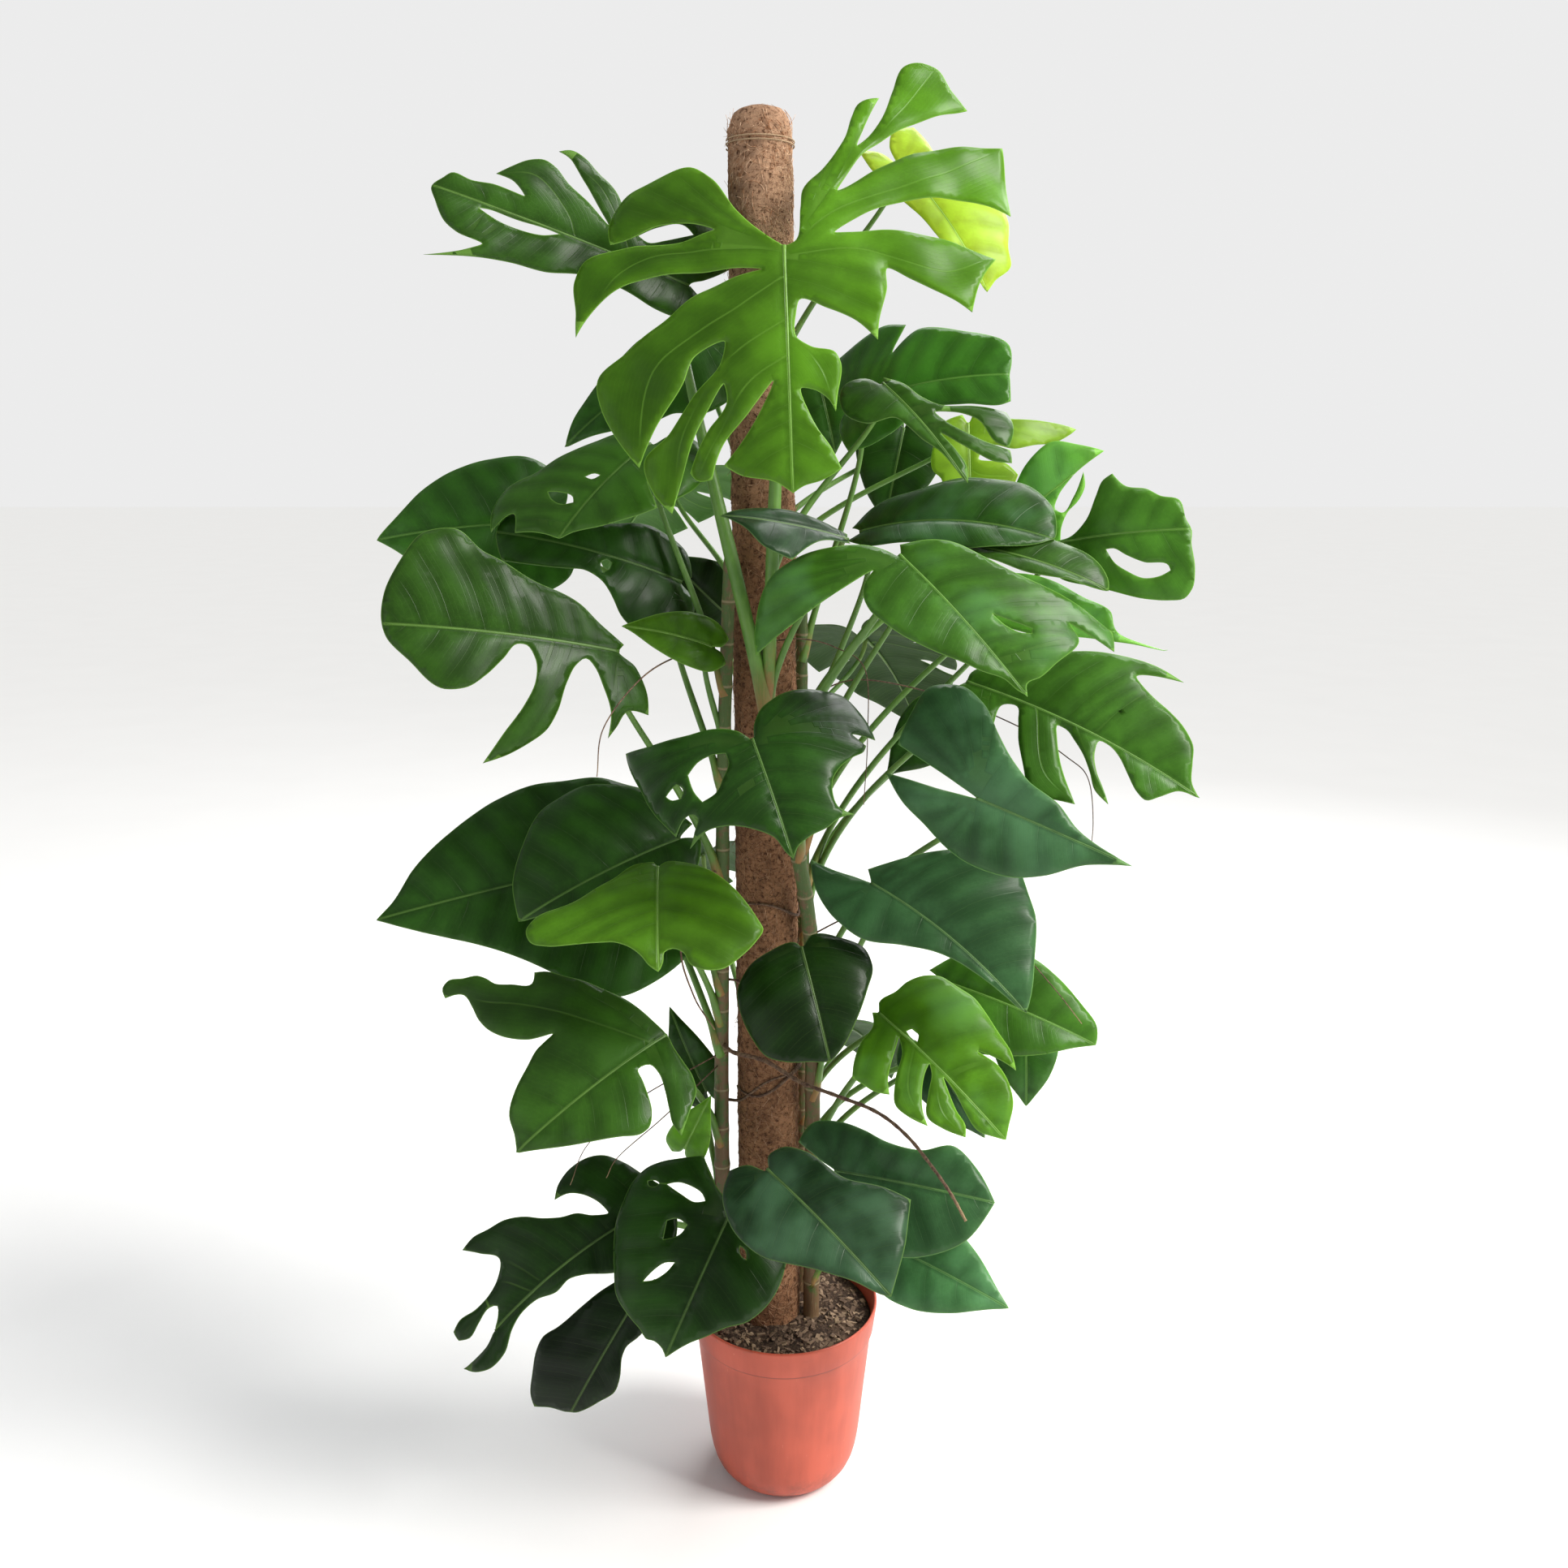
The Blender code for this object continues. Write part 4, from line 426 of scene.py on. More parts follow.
COIR_ROWS = 420
COIR_SIDES = 84
heights = np.linspace(0.0, pole_length - 0.010, COIR_ROWS)
turns = np.arange(COIR_SIDES) * 2 * math.pi / COIR_SIDES
grid_height, grid_turn = np.meshgrid(heights, turns, indexing="ij")
cap = np.clip((grid_height - (pole_length - 0.045)) / 0.035, 0, 1)
grid_radius = (POLE_RADIUS - 0.0008 + mat_swell(grid_height, grid_turn)) * np.sqrt(1 - 0.34 * cap ** 2.4)
coir_points = on_pole(grid_height, grid_turn, grid_radius).reshape(-1, 3)
dome = []
for share, drop in ((0.66, 0.0055), (0.42, 0.0022), (0.2, 0.0006)):
    ring_radius = POLE_RADIUS * share + mat_swell(turns * 0 + 5 + share, turns) * 0.8
    dome.append(on_pole(turns * 0 + pole_length - drop, turns, ring_radius))
coir_points = np.vstack([coir_points] + dome
    + [on_pole(np.array([pole_length]), np.array([0.0]), np.array([0.0]))])
coir_faces = []
for row in range(COIR_ROWS + 2):
    for k in range(COIR_SIDES):
        n = (k + 1) % COIR_SIDES
        a, b = row * COIR_SIDES, (row + 1) * COIR_SIDES
        coir_faces.append((a + k, a + n, b + n, b + k))
last = (COIR_ROWS + 2) * COIR_SIDES
coir_faces += [(last + k, last + (k + 1) % COIR_SIDES, len(coir_points) - 1) for k in range(COIR_SIDES)]
coir_faces.append(tuple(range(COIR_SIDES))[::-1])
coir_mesh = bpy.data.meshes.new("coir_mat")
coir_mesh.from_pydata([tuple(p) for p in coir_points], [], coir_faces)
coir = smooth(show("coir_mat", coir_mesh), 70.0)


def coir_tint(start, place, dryness):
    """Colour of coconut fibre, mottled, and paler where dryness is 1."""
    fleck = start.noise(place, 190.0, 5.0, 0.75)
    blotch = start.noise(place, 26.0, 3.0)
    tint = fleck.rise(0.32, 0.56).blend(COIR_DARK, COIR_TAN)
    pale = (fleck.rise(0.34, 0.54) * dryness).blend(tint, COIR_PALE)
    return (blotch.rise(0.56, 0.34) * 0.40).blend(pale, COIR_DARK)


fibre_mat, start, place = material("coir_mat")
height = start.node("SeparateXYZ", {}, {0: place}, 2)
dryness = (height + start.noise(place, 7.0) * 0.25).rise(1.30, 1.60) * 0.72 + 0.18
strands = start.noise(start.stretched(place, (90.0, 90.0, 320.0)), 1.0, 5.0, 0.8)
slant = start.noise(start.stretched(place, (260.0, 320.0, 70.0)), 1.0, 5.0, 0.8)
weave = strands.math("MAXIMUM", slant)
surface(start, coir_tint(start, place, dryness), 0.95, bump(start, weave, 1.0, 0.006),
    {"Specular IOR Level": 0.2})
coir.data.materials.append(fibre_mat)
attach(coir, "root")
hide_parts("coir_sleeve")


def strand_mesh(name, lines, radii, sides=3):
    """One mesh of many thin strands: lines is strands by points by 3, radii strands by points."""
    count, steps = lines.shape[:2]
    along = np.gradient(lines, axis=1)
    along = along / np.maximum(np.linalg.norm(along, axis=2, keepdims=True), 1e-9)
    guide = np.where(np.abs(along[:, :1, 2:]) > 0.8, (1.0, 0.0, 0.0), (0.0, 0.0, 1.0))
    aside = np.cross(along, guide)
    aside = aside / np.maximum(np.linalg.norm(aside, axis=2, keepdims=True), 1e-9)
    above = np.cross(along, aside)
    turns = np.arange(sides) * 2 * math.pi / sides
    around = aside[:, :, None] * np.cos(turns)[:, None] + above[:, :, None] * np.sin(turns)[:, None]
    points = (lines[:, :, None] + around * radii[:, :, None, None]).reshape(-1, 3)
    faces = []
    for strand in range(count):
        first = strand * steps * sides
        for step in range(steps - 1):
            a = first + step * sides
            for k in range(sides):
                n = (k + 1) % sides
                faces.append((a + k, a + n, a + sides + n, a + sides + k))
        faces.append(tuple(first + k for k in range(sides))[::-1])
        faces.append(tuple(first + (steps - 1) * sides + k for k in range(sides)))
    mesh = bpy.data.meshes.new(name)
    mesh.from_pydata([tuple(p) for p in points], [], faces)
    mesh.polygons.foreach_set("use_smooth", [True] * len(mesh.polygons))
    return mesh


FIBRES = 4200
FIBRE_STEPS = 5
middle = 0.17 + (pole_length - 0.185) * chance.random(FIBRES)
bearing = chance.uniform(0, 2 * math.pi, FIBRES)
slope = chance.uniform(-math.pi / 2, math.pi / 2, FIBRES)
half = chance.uniform(0.007, 0.024, FIBRES)
bow = chance.normal(0, 0.35, FIBRES)
lift = np.where(chance.random(FIBRES) < 0.16, chance.uniform(0.002, 0.007, FIBRES), 0.0006)
way = np.linspace(-1, 1, FIBRE_STEPS)[None, :]
path_height = middle[:, None] + half[:, None] * np.sin(slope[:, None] + bow[:, None] * way) * way
path_turn = bearing[:, None] + half[:, None] * np.cos(slope[:, None] + bow[:, None] * way) * way / POLE_RADIUS
lift_off = lift[:, None] * np.clip(way, 0, 1) ** 1.5
path_radius = POLE_RADIUS + mat_swell(path_height, path_turn) + lift_off - 0.0005
path_radius = path_radius - 0.004 * np.clip((path_height - pole_length + 0.035) / 0.035, 0, 1) ** 2
fibre_lines = on_pole(np.minimum(path_height, pole_length - 0.006), path_turn, path_radius)
fibre_radii = chance.uniform(0.00022, 0.00052, FIBRES)[:, None] * np.linspace(1.0, 0.6, FIBRE_STEPS)[None, :]
fibres = show("coir_fibres", strand_mesh("coir_fibres", fibre_lines, fibre_radii))
loose, start, place = material("coir_fibre")
height = start.node("SeparateXYZ", {}, {0: place}, 2)
dryness = height.rise(1.20, 1.60) * 0.65 + 0.35
shade = start.noise(place, 150.0, 2.0).rise(0.35, 0.65)
tint = dryness.blend(shade.blend(COIR_DARK, COIR_TAN), shade.blend(COIR_TAN, (0.78, 0.54, 0.36)))
surface(start, tint, 0.8 + shade * 0.1, None, {"Specular IOR Level": 0.3})
fibres.data.materials.append(loose)
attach(fibres, "root")

stake = frame["nodes"]["stake"]
wood, start, place = material("stake_wood")
rings = start.noise(start.stretched(place, (260.0, 260.0, 9.0)), 1.0, 4.0)
tint = rings.rise(0.3, 0.7).blend((0.30, 0.17, 0.08), (0.50, 0.33, 0.18))
surface(start, tint, 0.75 + rings * 0.1, bump(start, rings, 0.3, 0.001))
stake.data.materials.clear()
stake.data.materials.append(wood)

TWINE_STEPS = 180
way = np.linspace(0, 1, TWINE_STEPS)
twine_middle = on_pole(pole_length - 0.040 - 0.010 * way, 2 * math.pi * 2.0 * way,
    POLE_RADIUS + 0.0012 + way * 0)
plies = []
for k in range(3):
    phase = way * 2 * math.pi * 62 + k * 2 * math.pi / 3
    out = twine_middle - (POLE_FOOT + pole_axis * ((twine_middle - POLE_FOOT) @ pole_axis)[:, None])
    out = out / np.linalg.norm(out, axis=1, keepdims=True)
    plies.append(twine_middle + (out * np.sin(phase)[:, None] + pole_axis * np.cos(phase)[:, None]) * 0.00055)
twine = show("twine_turns",
    strand_mesh("twine_turns", np.array(plies), np.full((3, TWINE_STEPS), 0.00060), 6))
cord_look, start, place = material("twine")
hair = start.noise(place, 1400.0, 3.0)
surface(start, hair.rise(0.35, 0.65).blend((0.30, 0.19, 0.11), TWINE), 0.9 + hair * 0.05,
    bump(start, hair, 0.6, 0.0005))
twine.data.materials.append(cord_look)
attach(twine, "root")
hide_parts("twine")


# Climbing stems
# Four stems of one plant stand in the soil and climb the pole, rooted to its mat. They are green and
# corky, with a ring where each leaf has grown, and thin out towards their tips.
STEMS = {
    "stem_left": (
        [
            (-0.075, -0.005, 0.150),
            (-0.075, -0.005, 0.230),
            (-0.078, -0.010, 0.350),
            (-0.079, -0.015, 0.500),
            (-0.077, -0.020, 0.700),
            (-0.075, -0.025, 0.900),
            (-0.070, -0.040, 1.050),
            (-0.064, -0.050, 1.200),
        ],
        0.0105,
        0.0080,
    ),
    "stem_front": (
        [
            (0.035, -0.010, 0.150),
            (0.035, -0.010, 0.230),
            (0.036, -0.012, 0.350),
            (0.036, -0.014, 0.550),
            (0.034, -0.020, 0.700),
            (0.018, -0.048, 0.820),
            (-0.010, -0.064, 0.930),
            (-0.020, -0.067, 1.050),
            (-0.018, -0.066, 1.160),
        ],
        0.0110,
        0.0085,
    ),
    "stem_right": (
        [
            (0.022, 0.040, 0.150),
            (0.022, 0.040, 0.230),
            (0.024, 0.040, 0.500),
            (0.024, 0.038, 0.800),
            (0.022, 0.036, 1.000),
            (0.022, 0.032, 1.150),
        ],
        0.0105,
        0.0080,
    ),
    "stem_back": (
        [
            (-0.045, 0.058, 0.150),
            (-0.045, 0.058, 0.230),
            (-0.040, 0.060, 0.500),
            (-0.035, 0.060, 0.900),
            (-0.032, 0.058, 1.200),
            (-0.020, 0.056, 1.400),
        ],
        0.0100,
        0.0075,
    ),
}
STEM_SPACING = 0.052
BARK_GREEN = (0.075, 0.125, 0.030)
BARK_BROWN = (0.16, 0.095, 0.045)
BARK_SCAR = (0.30, 0.24, 0.13)


def smooth_path(points, steps):
    """Points of a smooth path through the given ones."""
    points = np.array(points, float)
    before = np.vstack((points[:1] * 2 - points[1:2], points, points[-1:] * 2 - points[-2:-1]))
    path = []
    for a, b, c, d in zip(before[:-3], before[1:-2], before[2:-1], before[3:]):
        for t in np.arange(steps) / steps:
            bend = a * 2 - b * 5 + c * 4 - d
            twist = b * 3 - a - c * 3 + d
            path.append((b * 2 + (c - a) * t + bend * t * t + twist * t ** 3) * 0.5)
    path.append(points[-1])
    return np.array(path)


def tube(name, path, radii, sides, flat=None):
    """Round tube with closed ends; flat squeezes it towards a strap across each point's own direction."""
    along = np.gradient(path, axis=0)
    along = along / np.linalg.norm(along, axis=1, keepdims=True)
    aside = np.zeros_like(path)
    guide = np.array((0.13, 1.0, 0.21))
    for k, way in enumerate(along):
        guide = guide - way * guide.dot(way)
        guide = guide / np.linalg.norm(guide)
        aside[k] = guide
    above = np.cross(along, aside)
    turns = np.arange(sides) * 2 * math.pi / sides
    wide = np.ones(len(path)) if flat is None else flat
    around = aside[:, None] * (np.cos(turns)[None, :] * wide[:, None])[..., None]
    around = around + above[:, None] * (np.sin(turns)[None, :] / wide[:, None])[..., None]
    points = (path[:, None] + around * np.asarray(radii)[:, None, None]).reshape(-1, 3)
    faces = []
    for step in range(len(path) - 1):
        for k in range(sides):
            n = (k + 1) % sides
            faces.append((step * sides + k, step * sides + n, (step + 1) * sides + n, (step + 1) * sides + k))
    faces.append(tuple(range(sides))[::-1])
    faces.append(tuple((len(path) - 1) * sides + k for k in range(sides)))
    distance = np.concatenate(((0.0,), np.cumsum(np.linalg.norm(np.diff(path, axis=0), axis=1))))
    return points, faces, np.repeat(distance, sides), np.repeat(distance / distance[-1], sides)


def gathered(name, tubes):
    """One object from several tubes, with the distance and the share along each kept on its points."""
    points, faces, distance, share = [], [], [], []
    for part_points, part_faces, part_distance, part_share in tubes:
        first = sum(len(p) for p in points)
        points.append(part_points)
        faces += [tuple(first + k for k in face) for face in part_faces]
        distance.append(part_distance)
        share.append(part_share)
    mesh = bpy.data.meshes.new(name)
    mesh.from_pydata([tuple(p) for p in np.vstack(points)], [], faces)
    mesh.polygons.foreach_set("use_smooth", [True] * len(mesh.polygons))
    for label, values in (("distance", distance), ("share", share)):
        mesh.attributes.new(label, "FLOAT", "POINT").data.foreach_set("value", np.concatenate(values))
    return show(name, mesh)


corky, start, place = material("stem_bark")
distance = start.node("Attribute", {"attribute_name": "distance"}, {}, "Fac")
age = start.node("SeparateXYZ", {}, {0: place}, 2)
mottle = start.noise(place, 70.0, 4.0, 0.65)
grain = start.noise(start.stretched(place, (420.0, 420.0, 60.0)), 1.0, 4.0)
beat = (distance / STEM_SPACING).math("FRACT")
ring = (beat - 0.5).math("ABSOLUTE").rise(0.455, 0.49)
tint = (mottle + age.rise(1.0, 0.1) * 0.25).rise(0.50, 0.70).blend(BARK_GREEN, BARK_BROWN)
tint = (ring * 0.8).blend(tint, BARK_SCAR)
tint = (grain.rise(0.58, 0.72) * 0.4).blend(tint, BARK_SCAR)
surface(start, tint, 0.55 + grain * 0.2, bump(start, grain * 0.5 + mottle * 0.3 - ring * 0.5, 0.6, 0.0025))
stem_paths = {}
stems = {}
for name, (points, foot_radius, top_radius) in STEMS.items():
    path = smooth_path(points, 16)
    stem_paths[name] = path
    length = np.concatenate(((0.0,), np.cumsum(np.linalg.norm(np.diff(path, axis=0), axis=1))))
    share = length / length[-1]
    beat = np.abs((length / STEM_SPACING) % 1.0 - 0.5) * 2
    ring_swell = 0.95 + 0.16 * np.clip((beat - 0.72) / 0.28, 0, 1) ** 2
    radii = (foot_radius + (top_radius - foot_radius) * share) * ring_swell
    radii = radii * np.sqrt(np.clip((1.0 - share) / 0.02 + 0.15, 0.0, 1.0))
    stems[name] = gathered(name + "_bark", [tube(name, path, radii, 20)])
    stems[name].data.materials.append(corky)
    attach(stems[name], "root")
    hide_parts(name)


# Leaf stalks
# Each leaf stands on a long smooth stalk. Its foot is a sheath that clasps the stem and dries to a brown
# edge, and just under the blade it thickens into the joint that turns the leaf to the light.
LIME = (0.420, 0.680, 0.060)
BRIGHT = (0.100, 0.262, 0.012)
MID = (0.044, 0.135, 0.012)
DARK = (0.015, 0.056, 0.005)
TEAL = (0.028, 0.080, 0.027)
STALK_GREEN = (0.130, 0.270, 0.045)
STALK_PALE = (0.300, 0.420, 0.120)
SHEATH_BROWN = (0.360, 0.160, 0.060)


# One half of a blade is its margin from the stalk to the tip, as points (forward, outward) in leaf
# lengths. Where the margin turns back towards the midrib it follows a slit between two fingers.
HEART = [(-0.13, 0.05), (-0.20, 0.20), (-0.16, 0.38), (0.02, 0.50), (0.26, 0.50), (0.50, 0.41),
    (0.72, 0.27), (0.90, 0.09)]
HEART_SMALL = [(-0.10, 0.04), (-0.18, 0.24), (-0.04, 0.46), (0.28, 0.49), (0.62, 0.33), (0.88, 0.10)]
ONE_CUT = [(-0.13, 0.05), (-0.22, 0.24), (-0.12, 0.46), (0.12, 0.54), (0.35, 0.50), (0.32, 0.26),
    (0.44, 0.46), (0.62, 0.36), (0.80, 0.22), (0.92, 0.07)]
TWO_CUTS = [(-0.13, 0.05), (-0.24, 0.24), (-0.14, 0.47), (0.02, 0.55), (0.12, 0.55), (0.14, 0.28),
    (0.20, 0.56), (0.34, 0.53), (0.44, 0.48), (0.37, 0.24), (0.52, 0.44), (0.76, 0.27), (0.92, 0.08)]
SUNNY_LEFT = [(-0.13, 0.05), (-0.20, 0.15), (0.0, 0.22), (0.30, 0.20), (0.60, 0.15), (0.85, 0.06)]
SUNNY_RIGHT = [(-0.13, 0.05), (-0.26, 0.23), (-0.24, 0.35), (-0.10, 0.34), (0.11, 0.26), (0.30, 0.30),
    (0.44, 0.34), (0.52, 0.44), (0.65, 0.41), (0.81, 0.29), (0.91, 0.25), (0.96, 0.08)]
LEAN_LEFT = [(-0.13, 0.05), (-0.20, 0.13), (-0.22, 0.27), (-0.15, 0.40), (0.0, 0.33), (0.13, 0.26),
    (0.33, 0.27), (0.54, 0.21), (0.70, 0.17), (0.86, 0.10)]
LEAN_RIGHT = [(-0.13, 0.05), (-0.20, 0.20), (-0.10, 0.42), (0.15, 0.52), (0.35, 0.49), (0.46, 0.37),
    (0.57, 0.33), (0.65, 0.27), (0.77, 0.18), (0.90, 0.07)]

# the big hanging leaf at the top
TOP_LEFT = [(-0.01, 0.02), (-0.18, 0.18), (-0.34, 0.28), (-0.40, 0.36), (-0.38, 0.475), (-0.31, 0.62),
    (-0.17, 0.70), (-0.085, 0.69), (-0.105, 0.59), (-0.14, 0.48), (-0.125, 0.36), (-0.085, 0.27),
    (-0.06, 0.36), (-0.05, 0.50), (-0.065, 0.60), (-0.05, 0.71), (-0.02, 0.80), (0.05, 0.84),
    (0.22, 0.83), (0.32, 0.825), (0.20, 0.75), (0.12, 0.62), (0.10, 0.40), (0.10, 0.09),
    (0.15, 0.24), (0.24, 0.40), (0.40, 0.60), (0.52, 0.735), (0.64, 0.725), (0.80, 0.64), (0.88, 0.58),
    (0.73, 0.51), (0.56, 0.40), (0.46, 0.355), (0.405, 0.24), (0.50, 0.26), (0.61, 0.36), (0.76, 0.46),
    (0.86, 0.56), (0.99, 0.52), (1.06, 0.455), (0.88, 0.40), (0.69, 0.32), (0.58, 0.245), (0.64, 0.235),
    (0.75, 0.31), (0.91, 0.385), (0.94, 0.36), (0.94, 0.30), (0.80, 0.25), (0.70, 0.16), (0.575, 0.06),
    (0.72, 0.13), (0.89, 0.255), (0.925, 0.20), (0.96, 0.06)]
TOP_RIGHT = [(-0.01, 0.03), (-0.17, 0.07), (-0.25, 0.08), (-0.365, 0.165), (-0.505, 0.26), (-0.635, 0.30),
    (-0.69, 0.325), (-0.72, 0.415), (-0.60, 0.355), (-0.475, 0.31), (-0.62, 0.42), (-0.78, 0.48),
    (-0.90, 0.53), (-0.94, 0.62), (-0.93, 0.68), (-0.80, 0.74), (-0.725, 0.80), (-0.66, 0.655),
    (-0.565, 0.483), (-0.43, 0.327), (-0.258, 0.222), (-0.365, 0.385), (-0.475, 0.575), (-0.52, 0.75),
    (-0.55, 0.935), (-0.325, 0.94), (-0.21, 0.935), (-0.26, 0.74), (-0.235, 0.525), (-0.15, 0.327),
    (-0.06, 0.20), (-0.072, 0.386), (-0.058, 0.60), (-0.025, 0.74), (0.0, 0.855), (0.145, 0.765),
    (0.27, 0.73), (0.20, 0.60), (0.14, 0.49), (0.095, 0.40), (0.19, 0.39), (0.34, 0.352), (0.41, 0.345),
    (0.33, 0.265), (0.28, 0.155), (0.245, 0.05), (0.30, 0.035), (0.40, 0.035), (0.44, 0.085),
    (0.47, 0.18), (0.50, 0.195), (0.635, 0.18), (0.70, 0.17), (0.65, 0.145), (0.615, 0.10),
    (0.605, 0.045), (0.70, 0.07), (0.765, 0.10), (0.83, 0.145), (0.915, 0.185), (0.955, 0.11), (0.975, 0.04)]
# the split leaf reaching out at the upper left
REACH_UP = [(-0.05, 0.04), (-0.18, 0.20), (-0.18, 0.32), (-0.06, 0.36), (0.03, 0.41), (0.12, 0.42),
    (0.20, 0.36), (0.26, 0.26), (0.30, 0.165), (0.36, 0.22), (0.43, 0.275), (0.50, 0.318),
    (0.57, 0.325), (0.61, 0.30), (0.56, 0.29), (0.53, 0.267), (0.49, 0.224), (0.45, 0.18), (0.36, 0.09),
    (0.45, 0.145), (0.545, 0.19), (0.60, 0.23), (0.65, 0.243), (0.705, 0.22), (0.754, 0.175),
    (0.80, 0.125), (0.74, 0.118), (0.68, 0.075), (0.80, 0.08), (0.876, 0.063), (0.95, 0.064), (0.97, 0.04)]
REACH_DOWN = [(-0.05, 0.04), (-0.10, 0.14), (0.10, 0.15), (0.38, 0.13), (0.53, 0.18), (0.64, 0.185),
    (0.73, 0.205), (0.80, 0.225), (0.95, 0.27), (0.82, 0.205), (0.77, 0.166), (0.86, 0.152),
    (0.92, 0.12), (0.97, 0.06)]
REACH_HOLES = [
    [(0.24, -0.10), (0.18, -0.16), (0.08, -0.21), (0.04, -0.19), (0.14, -0.12), (0.20, -0.09)],
    [(0.52, 0.015), (0.57, 0.045), (0.67, 0.052), (0.76, 0.045), (0.82, 0.03), (0.78, 0.015), (0.65, 0.012)],
]
BLUNT_UP = [(-0.05, 0.05), (-0.10, 0.38), (0.20, 0.50), (0.36, 0.47), (0.30, 0.25), (0.45, 0.38),
    (0.60, 0.35), (0.85, 0.27), (1.00, 0.17), (1.01, 0.05)]
BLUNT_DOWN = [(-0.05, 0.05), (0.0, 0.30), (0.15, 0.31), (0.30, 0.28), (0.50, 0.17), (0.75, 0.19),
    (0.95, 0.20), (1.0, 0.18), (1.0, 0.05)]
FORK_RIGHT = [(-0.05, 0.04), (0.12, 0.10), (0.27, 0.12), (0.41, 0.20), (0.52, 0.39), (0.63, 0.61),
    (0.79, 0.54), (0.90, 0.42), (0.83, 0.35), (0.64, 0.34), (0.54, 0.27), (0.44, 0.12), (0.58, 0.14),
    (0.76, 0.24), (0.92, 0.41), (1.01, 0.35), (0.95, 0.24), (0.85, 0.17), (0.73, 0.10), (0.61, 0.05),
    (0.77, 0.06), (0.89, 0.06)]
FORK_LEFT = [(-0.08, 0.05), (-0.10, 0.25), (0.08, 0.38), (0.28, 0.32), (0.36, 0.14), (0.46, 0.11),
    (0.59, 0.08), (0.70, 0.04), (0.85, 0.02)]
YOUNG_RIGHT = [(-0.07, 0.04), (-0.03, 0.29), (-0.04, 0.53), (-0.05, 0.83), (0.11, 0.61), (0.15, 0.46),
    (0.19, 0.31), (0.18, 0.11), (0.26, 0.06), (0.30, 0.25), (0.37, 0.33), (0.47, 0.27), (0.48, 0.08),
    (0.59, 0.05), (0.61, 0.21), (0.69, 0.24), (0.76, 0.16), (0.78, 0.05), (0.89, 0.07)]
YOUNG_LEFT = [(-0.05, 0.04), (0.0, 0.16), (0.15, 0.24), (0.35, 0.25), (0.40, 0.20), (0.57, 0.24),
    (0.67, 0.26), (0.77, 0.22), (0.81, 0.15), (0.92, 0.13)]
BROAD_UP = [(0.0, 0.04), (0.10, 0.24), (0.26, 0.33), (0.44, 0.40), (0.70, 0.55), (0.88, 0.66), (1.05, 0.70),
    (1.20, 0.54), (1.02, 0.42), (1.12, 0.32), (1.06, 0.20), (1.02, 0.08)]
BROAD_HOLES = [
    [(0.77, -0.30), (0.73, -0.21), (0.71, -0.11), (0.74, -0.08), (0.80, -0.15), (0.80, -0.24)],
    [(0.54, -0.14), (0.48, -0.10), (0.47, -0.06), (0.53, -0.09)],
]
SHELF_UP = [(-0.05, 0.04), (0.0, 0.15), (0.2, 0.21), (0.55, 0.14), (0.85, 0.14), (0.96, 0.08)]
SHELF_DOWN = [(-0.1, 0.06), (-0.05, 0.28), (0.2, 0.33), (0.31, 0.27), (0.36, 0.22), (0.45, 0.14),
    (0.54, 0.11), (0.62, 0.12), (0.85, 0.15), (0.94, 0.15), (0.98, 0.07)]
SHELF_HOLES = [[(0.46, 0.05), (0.43, 0.02), (0.40, 0.03), (0.41, 0.07), (0.44, 0.10)]]
# the big leaf at the left with one long claw
CLAW_UP = [(-0.02, 0.03), (0.10, 0.10), (0.20, 0.16), (0.29, 0.20), (0.38, 0.23), (0.47, 0.26),
    (0.61, 0.335), (0.74, 0.42), (0.86, 0.40), (0.95, 0.26), (1.0, 0.12)]
CLAW_DOWN = [(-0.08, 0.05), (-0.13, 0.15), (-0.15, 0.25), (-0.03, 0.26), (0.0, 0.32), (0.03, 0.37),
    (0.04, 0.27), (0.07, 0.18), (0.12, 0.09), (0.16, 0.06), (0.20, 0.09), (0.24, 0.17), (0.27, 0.29),
    (0.31, 0.37), (0.38, 0.43), (0.46, 0.48), (0.56, 0.52), (0.49, 0.40), (0.42, 0.29), (0.38, 0.19),
    (0.385, 0.09), (0.42, 0.04), (0.46, 0.04), (0.51, 0.10), (0.58, 0.18), (0.65, 0.235), (0.74, 0.25),
    (0.88, 0.15), (0.98, 0.05)]
# the glossy leaf right of the pole
GLOSS_LEFT = [(-0.06, 0.03), (-0.25, 0.23), (-0.33, 0.38), (-0.35, 0.52), (-0.29, 0.70), (-0.13, 0.88),
    (-0.04, 0.50), (0.01, 0.17), (0.04, 0.25), (0.10, 0.30), (0.18, 0.325), (0.34, 0.31), (0.55, 0.23),
    (0.67, 0.17), (0.78, 0.11), (0.87, 0.04), (0.95, 0.025)]
GLOSS_RIGHT = [(-0.05, 0.04), (0.10, 0.22), (0.48, 0.385), (0.78, 0.55), (0.97, 0.63), (1.06, 0.54),
    (0.82, 0.43), (0.90, 0.41), (0.95, 0.20), (0.96, 0.10), (0.95, 0.03)]
GLOSS_HOLES = [
    [(0.57, 0.12), (0.63, 0.16), (0.69, 0.20), (0.74, 0.23), (0.76, 0.21), (0.73, 0.175), (0.65, 0.135)],
]
CANOPY_UP = [(-0.05, 0.03), (0.1, 0.14), (0.33, 0.21), (0.60, 0.26), (0.80, 0.27), (0.95, 0.17), (1.0, 0.06)]
CANOPY_DOWN = [(-0.05, 0.05), (0.1, 0.12), (0.40, 0.15), (0.66, 0.16), (0.85, 0.10), (0.96, 0.04)]
STRAP_UP = [(0.0, 0.03), (0.3, 0.08), (0.7, 0.08)]
STRAP_DOWN = [(0.0, 0.03), (0.3, 0.1), (0.55, 0.25), (0.75, 0.2), (0.9, 0.06)]
